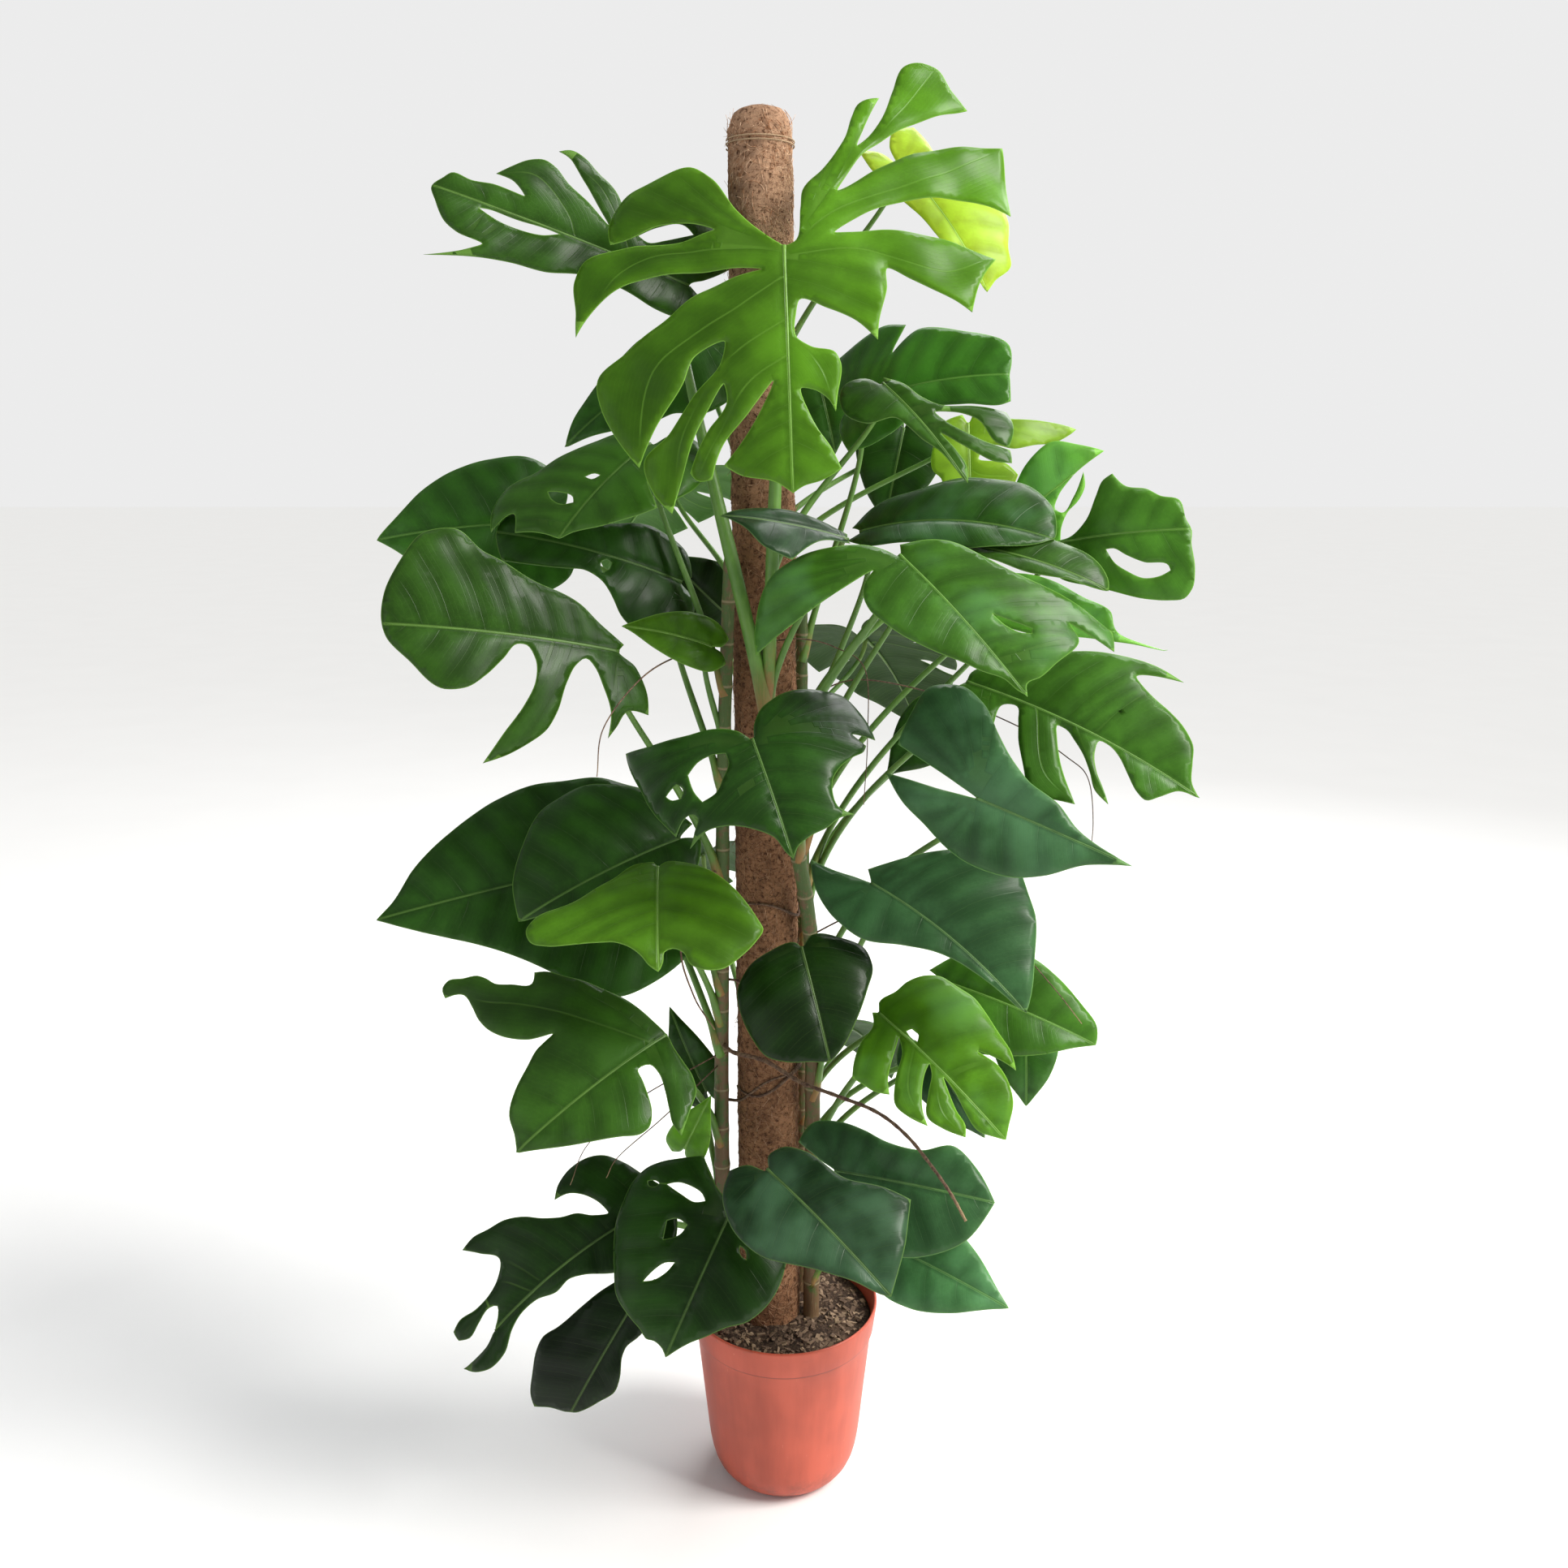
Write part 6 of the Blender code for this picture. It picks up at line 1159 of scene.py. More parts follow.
        "leaf_37", (-0.175, -0.080, 0.285), (-0.260, -0.120, 0.150), (-0.1, -0.9, 0.4),
        (FLAG_LEFT, FLAG_RIGHT), "DARK", "stem_left", 0.235,
    ),
    Leaf(
        "leaf_38", (-0.020, -0.180, 0.495), (0.115, -0.300, 0.415), (0.1, -0.8, 0.6),
        (SADDLE_LEFT, SADDLE_RIGHT), "TEAL", "stem_front", 0.28, width=1.2,
    ),
    Leaf(
        "leaf_39", (0.060, -0.120, 0.460), (0.240, -0.200, 0.465), (0.1, -0.8, 0.5),
        (TRAY_DOWN, TRAY_UP), "TEAL", "stem_front", 0.32, width=1.1,
    ),
    Leaf(
        "leaf_40", (0.140, -0.140, 0.370), (0.255, -0.220, 0.350), (0.1, -0.8, 0.5),
        (HEART_SMALL, HEART_SMALL), "TEAL", "stem_front", 0.25, width=0.75,
    ),
    Leaf(
        "leaf_41", (-0.150, 0.200, 1.280), (-0.260, 0.320, 1.140), (-0.4, 0.7, 0.6),
        (TWO_CUTS, TWO_CUTS), "MID", "stem_back", 1.05, width=0.95,
    ),
    Leaf(
        "leaf_42", (0.110, 0.210, 1.060), (0.200, 0.340, 0.900), (0.3, 0.75, 0.6),
        (TWO_CUTS, ONE_CUT), "MID", "stem_back", 0.82, width=0.95,
    ),
    Leaf(
        "leaf_43", (-0.110, 0.190, 0.760), (-0.200, 0.310, 0.600), (-0.3, 0.75, 0.6),
        (ONE_CUT, TWO_CUTS), "DARK", "stem_back", 0.50, width=0.9,
    ),
    Leaf(
        "leaf_44", (0.080, 0.170, 0.520), (0.160, 0.280, 0.390), (0.3, 0.75, 0.6),
        (HEART, HEART), "DARK", "stem_back", 0.28, width=0.85,
    ),
    Leaf(
        "leaf_45", (0.158, 0.140, 1.345), (0.132, 0.130, 1.218), (0.0, -0.9, 0.4),
        (HEART, HEART), "DARK", "stem_back", 1.15, width=0.9,
    ),
    Leaf(
        "leaf_46", (0.265, -0.020, 1.129), (0.452, -0.080, 1.083), (0.1, -0.8, 0.5),
        (BEAK_DOWN, BEAK_UP), "MID", "stem_right", 0.74, arch=0.04,
    ),
    Leaf(
        "leaf_47", (0.046, 0.130, 1.404), (0.067, 0.120, 1.310), (0.0, -0.9, 0.4),
        (HEART_SMALL, HEART_SMALL), "DARK", "stem_back", 1.24, width=0.9,
    ),
    Leaf(
        "leaf_48", (-0.101, 0.040, 0.482), (-0.149, 0.040, 0.598), (-0.1, -0.9, 0.3),
        (HEART_SMALL, HEART_SMALL), "DARK", "stem_left", 0.37, width=0.5, swing=(-0.01, 0.06, 0.0),
    ),
]


def stalk_line(leaf):
    """Leaf stalk's path: up and out from the stem, then over to meet the blade square from behind."""
    path = stem_paths[leaf.stem]
    start = np.array([np.interp(leaf.node_height, path[:, 2], path[:, axis]) for axis in range(3)])
    foot = POLE_FOOT + pole_axis * (start - POLE_FOOT).dot(pole_axis)
    outward = (start - foot) / np.linalg.norm(start - foot)
    point, along, across, normal = leaf.frame(0.03)
    seat = point - normal * 0.0008
    reach = np.linalg.norm(seat - start)
    rise = start + np.array((0, 0, 1)) * 0.40 * reach + outward * 0.12 * reach + np.array(leaf.swing)
    toward = normal * 0.8 + np.array((0, 0, 0.35))
    near = seat - toward / np.linalg.norm(toward) * min(0.25 * reach, 0.07)
    tail = seat - normal * 0.006
    t = np.linspace(0, 1, 40)[:, None]
    line = start * (1 - t) ** 3 + rise * 3 * t * (1 - t) ** 2 + near * 3 * t * t * (1 - t) + tail * t ** 3
    return np.vstack((line, seat))


petiole, start, place = material("leaf_stalk")
share = start.node("Attribute", {"attribute_name": "share"}, {}, "Fac")
cloud = start.noise(place, 30.0, 3.0)
grain = start.noise(start.stretched(place, (500.0, 500.0, 40.0)), 1.0, 3.0)
tint = (cloud * 0.7 + grain * 0.3).rise(0.35, 0.65).blend(STALK_GREEN, (0.085, 0.200, 0.030))
tint = (share.rise(0.86, 0.99) * 0.6).blend(tint, STALK_PALE)
dry = (share + grain * 0.10).rise(0.22, 0.06) * cloud.rise(0.38, 0.56)
tint = (dry * 0.85).blend(tint, SHEATH_BROWN)
surface(start, tint, 0.36 + grain * 0.2 + dry * 0.2, bump(start, grain, 0.25, 0.0012))
for name in STEMS:
    stalks = []
    for leaf in LEAVES:
        if leaf.stem == name:
            line = stalk_line(leaf)
            t = np.linspace(0, 1, len(line))
            radii = leaf.stalk + (0.0027 - leaf.stalk) * t ** (0.6 if leaf.stalk < 0.007 else 1.1)
            swell = 0.75 if leaf.stalk < 0.007 else 0.25
            radii = radii * (1 + swell * np.exp(-((t - 0.03) / 0.07) ** 2))
            radii = radii * (1 + 0.22 * np.exp(-((t - 0.955) / 0.03) ** 2))
            flat = 1 + 0.35 * np.clip(1 - t / 0.3, 0, 1)
            stalks.append(tube(leaf.name, line, radii, 12, flat))
    piece = gathered("stalks_of_" + name, stalks)
    piece.data.materials.append(petiole)
    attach(piece, "root")
    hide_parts(name)


# Aerial roots
# Brown cord-like roots grow from the stems. Some grip the mat and go round the pole, others hang free.
ROOTS = [
    (
        [
            (-0.079, -0.014, 0.575),
            (-0.064, -0.040, 0.572),
            (-0.024, -0.052, 0.566),
            (0.020, -0.068, 0.546),
            (0.062, -0.110, 0.549),
            (0.108, -0.150, 0.548),
            (0.141, -0.180, 0.534),
            (0.169, -0.205, 0.508),
            (0.188, -0.220, 0.485),
            (0.203, -0.230, 0.460),
        ],
        0.0022,
    ),
]
HANGING_ROOTS = [
    (
        [
            (-0.069, -0.043, 1.085),
            (-0.118, -0.060, 1.075),
            (-0.160, -0.140, 1.060),
            (-0.200, -0.180, 1.010),
            (-0.208, -0.185, 0.955),
        ],
        0.0010,
    ),
    (
        [
            (-0.019, -0.067, 1.090),
            (0.020, -0.078, 1.095),
            (0.060, -0.078, 1.085),
            (0.095, -0.090, 1.060),
            (0.098, -0.095, 0.980),
            (0.094, -0.095, 0.900),
        ],
        0.0008,
    ),
    (
        [
            (0.022, 0.036, 1.000),
            (0.090, 0.020, 1.030),
            (0.190, -0.035, 1.020),
            (0.280, -0.085, 0.990),
            (0.330, -0.110, 0.960),
            (0.350, -0.130, 0.940),
            (0.356, -0.135, 0.890),
            (0.352, -0.135, 0.840),
        ],
        0.0008,
    ),
    (
        [
            (0.033, -0.022, 0.715),
            (0.085, -0.050, 0.750),
            (0.150, -0.090, 0.772),
            (0.215, -0.120, 0.760),
            (0.265, -0.140, 0.745),
            (0.310, -0.150, 0.700),
            (0.345, -0.150, 0.655),
        ],
        0.0009,
    ),
    (
        [
            (-0.076, -0.022, 0.800),
            (-0.095, -0.055, 0.795),
            (-0.120, -0.130, 0.745),
            (-0.105, -0.150, 0.690),
            (-0.080, -0.155, 0.650),
        ],
        0.0013,
    ),
    (
        [
            (-0.078, -0.017, 0.562),
            (-0.100, -0.034, 0.556),
            (-0.180, -0.060, 0.520),
            (-0.240, -0.075, 0.470),
            (-0.262, -0.080, 0.420),
        ],
        0.0008,
    ),
    (
        [
            (-0.079, -0.016, 0.548),
            (-0.095, -0.036, 0.540),
            (-0.150, -0.070, 0.500),
            (-0.200, -0.095, 0.465),
            (-0.215, -0.100, 0.440),
        ],
        0.0008,
    ),
]
WRAPPING_ROOTS = [
    (0.735, 3.9, -3.6, 0.03, 0.0020), (0.545, 3.7, -3.4, -0.035, 0.0024),
    (0.500, 0.2, 3.0, 0.06, 0.0018), (0.340, 4.2, -3.0, 0.05, 0.0017), (0.655, 0.4, 2.2, -0.05, 0.0014),
]
ROOT_BROWN = (0.075, 0.036, 0.022)
ROOT_TAN = (0.21, 0.13, 0.075)
roots = []
for path, radius in ROOTS:
    line = smooth_path(path, 14)
    taper = np.linspace(1.25, 0.75, len(line)) * (1 + 0.10 * np.sin(np.arange(len(line)) * 1.3))
    roots.append(tube("root", line, radius * taper, 10))
for path, radius in HANGING_ROOTS:
    line = smooth_path(path, 12)
    roots.append(tube("root", line, radius * np.linspace(1.2, 0.6, len(line)), 6))
for height, turn, sweep, climb, radius in WRAPPING_ROOTS:
    way = np.linspace(0, 1, 70)
    wander = 0.006 * np.sin(way * 9 + height * 20)
    out = POLE_RADIUS + radius * 0.7 + 0.012 * np.clip(1 - way / 0.15, 0, 1) ** 2
    line = on_pole(height - POLE_FOOT[2] + climb * way + wander, turn + sweep * way, out)
    roots.append(tube("root", line, radius * np.linspace(1.1, 0.5, len(line)), 8))
root_piece = gathered("aerial_roots", roots)
corded, start, place = material("aerial_root")
share = start.node("Attribute", {"attribute_name": "share"}, {}, "Fac")
grain = start.noise(place, 240.0, 4.0, 0.7)
tint = grain.rise(0.38, 0.66).blend(ROOT_BROWN, ROOT_TAN)
tint = (share.rise(0.90, 1.0) * 0.7).blend(tint, (0.34, 0.24, 0.12))
surface(start, tint, 0.75 + grain * 0.15, bump(start, grain, 0.7, 0.0015))
root_piece.data.materials.append(corded)
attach(root_piece, "root")


# Leaf blades
# Broad leathery blades, glossy above and paler beneath. Between their side ribs old blades split to the
# margin or open in holes, and the light that the thin margin catches is painted on as a pale line. Every
# blade is a solid sheet with its midrib.
MARGIN_STEP = 0.0040
LATTICE_STEP = 0.0068
VEIN_STEP = 0.0050
VEIN_SPACING = 0.034
MARGIN_CLEARANCE = 0.0018
VEIN_CLEARANCE = 0.0016
BLADE_HALF = 0.00030


def corner_ways(ring):
    """Chord lengths, ways out and in, cosine and turn at each corner of a closed ring."""
    chord = np.roll(ring, -1, axis=0) - ring
    size = np.linalg.norm(chord, axis=1)
    out = chord / size[:, None]
    into = np.roll(out, 1, axis=0)
    turn = into[:, 0] * out[:, 1] - into[:, 1] * out[:, 0]
    return size, out, into, (into * out).sum(axis=1), turn


def margin_line(ring, length):
    """Smooth closed line through a ring. Finger tips stay pointed and slit ends are round."""
    size, out, into, bend, turn = corner_ways(ring)
    before = np.roll(size, 1)
    lean = out * before[:, None] + into * size[:, None]
    lean = lean / np.maximum(np.linalg.norm(lean, axis=1), 1e-9)[:, None]
    lean = lean * np.clip((1 + bend) / 1.2, 0.15, 1.0)[:, None]
    pointed = ((turn < 0) & (bend < 0.45))[:, None]
    leave = np.where(pointed, out * 1.4 - np.roll(lean, -1, axis=0) * 0.4, lean)
    arrive = np.where(pointed, into * 1.4 - np.roll(lean, 1, axis=0) * 0.4, lean)
    line = []
    for k in range(len(ring)):
        steps = max(2, int(round(size[k] * length / MARGIN_STEP)))
        t = (np.arange(steps) / steps)[:, None]
        n = (k + 1) % len(ring)
        curve = ring[k] * (1 + 2 * t) * (1 - t) ** 2 + ring[n] * t * t * (3 - 2 * t)
        line.append(curve + (leave[k] * t * (1 - t) ** 2 - arrive[n] * t * t * (1 - t)) * size[k] * 0.9)
    return np.vstack(line)


def inside(points, ring):
    """Whether each leaf-plane point lies inside a ring."""
    x, y = points[:, 0], points[:, 1]
    within = np.zeros(len(points), bool)
    for (ax, ay), (bx, by) in zip(ring, np.roll(ring, -1, axis=0)):
        if ay != by:
            within ^= ((ay > y) != (by > y)) & (x < (bx - ax) * (y - ay) / (by - ay) + ax)
    return within


def side_veins(leaf):
    """Side ribs as lines: one down each finger, and an even row where the margin is whole."""
    step = VEIN_SPACING / leaf.length
    strong, faint = [], []
    for sign, half in zip((-1, 1), leaf.halves):
        edge = np.array([(0.0, 0.0)] + list(half) + [(1.0, 0.0)]) * (1.0, leaf.width)
        size, out, into, bend, turn = corner_ways(edge)
        slits = [k for k in range(1, len(edge) - 1) if turn[k] > 0 and bend[k] < 0.35]
        stops = [0] + slits + [len(edge) - 1]
        last = 0.015
        for first, end in zip(stops[:-1], stops[1:]):
            part = edge[first:end + 1]
            run = np.concatenate(((0.0,), np.cumsum(np.linalg.norm(np.diff(part, axis=0), axis=1))))
            neck = (part[0] + part[-1]) / 2
            if first > 0 and end < len(edge) - 1 and np.linalg.norm(part[-1] - part[0]) < 0.5 * run[-1]:
                tip = part[np.argmax(np.linalg.norm(part - neck, axis=1))]
                place = run[np.argmax(np.linalg.norm(part - neck, axis=1))]
                spots = (place * 0.5, (place + run[-1]) / 2)
                sides = [[np.interp(s, run, part[:, axis]) for axis in range(2)] for s in spots]
                middle = np.mean(sides, axis=0)
                start = np.clip(neck[0] - 0.7 * neck[1], last, 0.92)
                lines = [[(start, 0.0), tuple(neck), tuple(middle), tuple(tip)]]
            else:
                count = max(1, int(round(run[-1] / step / 1.15)))
                lines = [()]
                for s in (np.arange(count) + 0.5) / count * run[-1]:
                    goal = np.array([np.interp(s, run, part[:, axis]) for axis in range(2)])
                    start = np.clip(goal[0] * 0.93 - 0.42 * goal[1] + 0.03, last, 0.94)
                    if goal[1] > 0.06 and goal[0] - start > -0.9:
                        way = goal - (start, 0.0)
                        lines.append([(start, 0.0), (start + way[0] * 0.38, way[1] * 0.47), tuple(goal)])
            veins = strong if len(lines[0]) == 4 else faint
            for line in filter(len, lines):
                last = max(last, line[0][0] + 0.012)
                line = smooth_path([(x, y, 0.0) for x, y in line], 10)[:, :2]
                walked = np.concatenate(((0.0,), np.cumsum(np.linalg.norm(np.diff(line, axis=0), axis=1))))
                count = max(4, int(walked[-1] * leaf.length / VEIN_STEP))
                spread = np.linspace(0, walked[-1], count + 1)
                veins.append(np.stack([np.interp(spread, walked, line[:, axis]) for axis in range(2)],
                    axis=1) * (1, sign))
    return strong, faint


def line_distance(points, lines):
    """Distance from each point to the nearest line and to the nearest other one."""
    found = np.full((2, len(points)), 9.0)
    for line in lines:
        a, b = line[:-1], line[1:]
        run = b - a
        share = np.clip(((points[:, None] - a) * run).sum(axis=2)
            / np.maximum((run * run).sum(axis=1), 1e-12), 0, 1)
        near = np.linalg.norm(points[:, None] - a - share[..., None] * run, axis=2).min(axis=1)
        found = np.sort(np.vstack((found, near)), axis=0)[:2]
    return found


def blade_sheet(leaf):
    """Middle sheet of a blade: leaf-plane points, its triangles, the side ribs and the way to the margin."""
    left, right = leaf.halves
    margin = [(0.0, 0.0)] + list(right) + [(1.0, 0.0)] + [(x, -y) for x, y in reversed(left)]
    rings = [margin_line(np.array(ring) * (1.0, leaf.width), leaf.length) for ring in [margin] + leaf.holes]
    rim = np.vstack(rings)
    tree = KDTree(len(rim))
    for k, (x, y) in enumerate(rim):
        tree.insert((x, y, 0.0), k)
    tree.balance()
    step = LATTICE_STEP / leaf.length
    low, high = rim.min(axis=0), rim.max(axis=0)
    rows = np.arange(low[1], high[1], step * 0.87)
    columns = np.arange(low[0], high[0], step)
    lattice = np.array([(x + step * 0.5 * (k % 2), y) for k, y in enumerate(rows) for x in columns])
    strong, faint = side_veins(leaf)
    veins = strong + faint
    forward = np.arange(0.0, 1.0, VEIN_STEP / leaf.length)
    spine = np.stack((forward, np.zeros(len(forward))), axis=1)
    points, edges, first = [rim], [], 0
    for ring in rings:
        edges += [(first + k, first + (k + 1) % len(ring)) for k in range(len(ring))]
        first += len(ring)
    taken = KDTree(len(spine) + sum(len(vein) for vein in veins) + 1)
    kept = 0
    for line in [spine] + veins:
        free = inside(line, rings[0])
        for hole in rings[1:]:
            free &= ~inside(line, hole)
        previous = None
        for k, (x, y) in enumerate(line):
            clear = tree.find((x, y, 0.0))[2] * leaf.length > MARGIN_CLEARANCE
            if kept and clear and (k == 0 or line is not spine):
                taken.balance()
                clear = taken.find((x, y, 0.0))[2] * leaf.length > VEIN_CLEARANCE
            if free[k] and clear:
                points.append(np.array([(x, y)]))
                if previous == k - 1 and previous is not None:
                    edges.append((first - 1, first))
                previous = k
                first += 1
        for x, y in line:
            taken.insert((x, y, 0.0), kept)
            kept += 1
    taken.balance()
    free = inside(lattice, rings[0])
    for hole in rings[1:]:
        free &= ~inside(lattice, hole)
    lattice = lattice[free]
    gaps = [(tree.find((x, y, 0.0))[2], taken.find((x, y, 0.0))[2]) for x, y in lattice]
    gap = np.array(gaps).reshape(-1, 2)
    points.append(lattice[(gap[:, 0] > 0.62 * step) & (gap[:, 1] > 0.5 * step)])
    found = delaunay_2d_cdt([Vector(p) for p in np.vstack(points)], edges, [], 0, 1e-7)
    flat = np.array([tuple(p) for p in found[0]])
    faces = np.array(found[2])
    centres = flat[faces].mean(axis=1)
    keep = inside(centres, rings[0])
    for hole in rings[1:]:
        keep &= ~inside(centres, hole)
    faces = faces[keep]
    a, b, c = (flat[faces[:, k]] for k in range(3))
    turned = (b[:, 0] - a[:, 0]) * (c[:, 1] - a[:, 1]) - (b[:, 1] - a[:, 1]) * (c[:, 0] - a[:, 0]) < 0
    faces[turned] = faces[turned][:, ::-1]
    return flat, faces, strong, faint, np.array([tree.find((x, y, 0.0))[2] for x, y in flat])


def sheet_normals(points, faces):
    """Unit normal at each point, averaged over its triangles."""
    normal = np.cross(points[faces[:, 1]] - points[faces[:, 0]], points[faces[:, 2]] - points[faces[:, 0]])
    total = np.zeros_like(points)
    for corner in range(3):
        np.add.at(total, faces[:, corner], normal)
    return total / np.maximum(np.linalg.norm(total, axis=1, keepdims=True), 1e-12)


def blade(leaf, seed):
    """Closed thin blade with its relief, its midrib beneath and its facts for the material on every point."""
    flat, faces, strong, faint, edge = blade_sheet(leaf)
    size = leaf.length
    edge = edge * size
    rib = np.abs(flat[:, 1]) * size
    near, other = line_distance(flat, strong + faint + [np.array([(0.0, 0.0), (1.0, 0.0)])]) * size
    vein = np.minimum(line_distance(flat, strong)[0] * size, line_distance(flat, faint)[0] * size + 0.0010)
    between = near / np.maximum(near + other, 1e-6)
    out = rib / np.maximum(rib + edge, 1e-6)
    points = leaf.place(flat[:, 0], flat[:, 1])
    normals = sheet_normals(points, faces)
    wave = np.random.default_rng(seed)
    lean = wave.uniform(0, 6, 4)
    spot = flat * size
    ripple = np.sin(spot[:, 0] * 68 + lean[0] + 2 * np.sin(spot[:, 1] * 31)) * 0.6
    ripple = ripple + np.sin(spot[:, 0] * 43 - spot[:, 1] * 88 + lean[1]) * 0.4
    ripple = ripple * out ** 2.5 * min(0.0032, size * 0.013)
    puff = np.sin(math.pi * between) * np.minimum(0.0018, 0.045 * (near + other))
    puff = puff * np.clip(edge / 0.012, 0.15, 1)
    dip = -np.exp(-(rib / 0.004) ** 2) * 0.0012 - np.exp(-edge / 0.004) * 0.0007
    points = points + normals * (puff + ripple + dip)[:, None]
    normals = sheet_normals(points, faces)
    count = len(points)
    borders = set()
    for a, b, c in faces.tolist():
        borders.update(((a, b), (b, c), (c, a)))
    rim = [(a, b) for a, b in borders if (b, a) not in borders]
    solid = [tuple(face) for face in faces.tolist()]
    solid += [(c + count, b + count, a + count) for a, b, c in faces.tolist()]
    solid += [(b, a, a + count, b + count) for a, b in rim]
    sheet = np.vstack((points + normals * BLADE_HALF, points - normals * BLADE_HALF))
    shares = np.linspace(0.0, 0.985, 44)
    line = np.stack((shares, np.zeros(len(shares))), axis=1)
    central = np.where(np.abs(flat[faces][..., 1]).min(axis=1) < 1e-6)[0]
    shown = line_distance(line, [flat[faces[:, [0, 1, 2, 0]]][k] for k in central])[0] < 0.01
    shares = shares[: len(shown) if shown.all() else np.argmin(shown)]
    middle, along, across, normal = leaf.frame(shares)
    radii = np.interp(shares, (0, 0.05, 1), (0.0030, 0.0023, 0.0004)) * min(1.10, 0.50 + size * 2)
    rib_points, rib_faces = tube("rib", middle - normal * (radii * 0.62 + 0.0008)[:, None], radii, 10)[:2]
    solid += [tuple(k + 2 * count for k in face) for face in rib_faces]
    mesh = bpy.data.meshes.new(leaf.name)
    mesh.from_pydata([tuple(p) for p in np.vstack((sheet, rib_points))], [], solid)
    mesh.polygons.foreach_set("use_smooth", [True] * len(mesh.polygons))
    look = np.full(len(mesh.polygons), 2)
    look[:len(faces)] = 0
    look[len(faces):2 * len(faces)] = 1
    mesh.polygons.foreach_set("material_index", look)
    none = np.zeros(len(rib_points))
    facts = (
        ("vein", vein, 0.0), ("between", between, 0.0), ("out", out, 0.0), ("edge", edge, 0.01),
        ("rib", rib, 0.0),
    )
    for label, values, rest in facts:
        values = np.concatenate((values, values, none + rest)).astype(np.float32)
        mesh.attributes.new(label, "FLOAT", "POINT").data.foreach_set("value", values)
    return show(leaf.name + "_blade", mesh)


def blade_looks(leaf, seed):
    """Materials of one blade: upper face, underside and ribs."""
    wave = np.random.default_rng(seed)
    strength = TONES_WITH_PAINTED_LIGHT.get(leaf.name[-2:], 1.0) * (1 + wave.uniform(-0.06, 0.06))
    young = {"LIME": 1.0, "BRIGHT": 0.55, "MID": 0.25, "TEAL": 0.10, "DARK": 0.05}[leaf.colour]
    base = np.array(PALETTE[leaf.colour]) * strength
    pale = base * (1.0 - 0.4 * young) + np.array((0.20, 0.36, 0.07)) * (0.28 + 0.55 * young)
    looks = []
    for side in ("top", "under"):
        made, start, place = material(leaf.name + "_" + side)
        vein, between, out, edge, rib = (
            start.node("Attribute", {"attribute_name": label}, {}, "Fac")
            for label in ("vein", "between", "out", "edge", "rib")
        )
        side_rib = vein.rise(0.0016, 0.0005) * edge.rise(0.003, 0.020)
        minor = ((vein * 210.0).math("FRACT") - 0.5).math("ABSOLUTE").rise(0.14, 0.02)
        minor = minor * vein.rise(0.002, 0.004)
        midrib = rib.rise(0.0021, 0.0011)
        border = edge.rise(0.0014, 0.0004)
        cloud = start.noise(place, 9.0, 3.0)
        blotch = start.noise(place, 34.0, 3.0)
        net = start.noise(place, 300.0, 3.0, 0.6)
        # Random lighter and darker mottling, with painted shade in the creases: darker next to each side rib
        # and lighter midway between ribs.
        mottle_and_crease_shade = (cloud * 0.52 + blotch * 0.20 + between * 0.22 + net * 0.10).rise(0.34, 0.66)
        if side == "top":
            tint = mottle_and_crease_shade.blend(tuple(base * 0.58), tuple(base * 1.42))
            # Painted light and shade on this blade: a shaded copy of its colours on the left and a sunlit
            # copy on the right.
            if leaf.name == "leaf_01":
                across = start.node("SeparateXYZ", {}, {0: place}, 0).rise(-0.12, 0.10)
                shaded = mottle_and_crease_shade.blend(tuple(base * 0.35), tuple(base * 0.85))
                sunlit = mottle_and_crease_shade.blend(tuple(base * 0.75), tuple(base * 1.55))
                tint = across.blend(shaded, sunlit)
            # Painted sheen: pale grey-green patches blended over the upper face of these blades.
            if leaf.name[-2:] in PAINTED_SHEEN:
                tint = (cloud.rise(0.46, 0.70) * 0.24).blend(tint, (0.17, 0.36, 0.20))
            tint = (edge.rise(0.012, 0.0) * 0.30).blend(tint, tuple(base * (1.5, 1.35, 1.2)))
            ribs = (midrib * 0.70).math("MAXIMUM", side_rib * 0.34).math("MAXIMUM", minor * 0.05)
            tint = ribs.blend(tint, tuple(pale))
            # Painted highlight: a pale line along the margin, where the thin edge catches the light.
            tint = (border * 0.9).blend(tint, tuple(pale * 1.25))
            rough = 0.27 + net * 0.10 + blotch * 0.06 + border * 0.1
            relief = bump(start, net * 0.03 + blotch * 0.25 - side_rib * 0.5 - midrib * 0.6 - minor * 0.08,
                0.45, 0.0014)
            settings = {"Coat Weight": 0.04, "Coat Roughness": 0.16, "IOR": 1.30}
        else:
            soft = base * 0.55 + np.array((0.030, 0.060, 0.020)) * (0.5 + 0.5 * strength)
            tint = mottle_and_crease_shade.blend(tuple(soft * 0.8), tuple(soft * 1.25))
            # Pale ribs, with a painted highlight along the margin.
            ribs = (side_rib * 0.6).math("MAXIMUM", minor * 0.15).math("MAXIMUM", border * 0.7)
            tint = ribs.blend(tint, tuple(pale))
            rough = 0.52 + net * 0.12
            relief = bump(start, side_rib * 0.8 + minor * 0.2 + net * 0.1, 0.5, 0.0016)
            settings = {"IOR": 1.28}
        sockets = {"Base Color": tint, "Roughness": rough, "Normal": relief}
        sockets.update(settings)
        shader = start.node("BsdfPrincipled", {}, sockets)
        through = start.node("BsdfTranslucent", {},
            {"Color": (*np.minimum(base * 2.2 + (0.02, 0.03, 0.0), 1.0), 1.0)})
        mixed = start.node("MixShader", {}, {0: 0.10 + 0.30 * young, 1: shader, 2: through})
        start.node("OutputMaterial", {}, {"Surface": mixed})
        looks.append(made)
    made, start, place = material(leaf.name + "_rib")
    cloud = start.noise(place, 60.0, 3.0)
    tint = cloud.rise(0.3, 0.7).blend(tuple(pale * 0.7), tuple(pale))
    surface(start, tint, 0.42 + cloud * 0.1, bump(start, cloud, 0.2, 0.001))
    looks.append(made)
    return looks


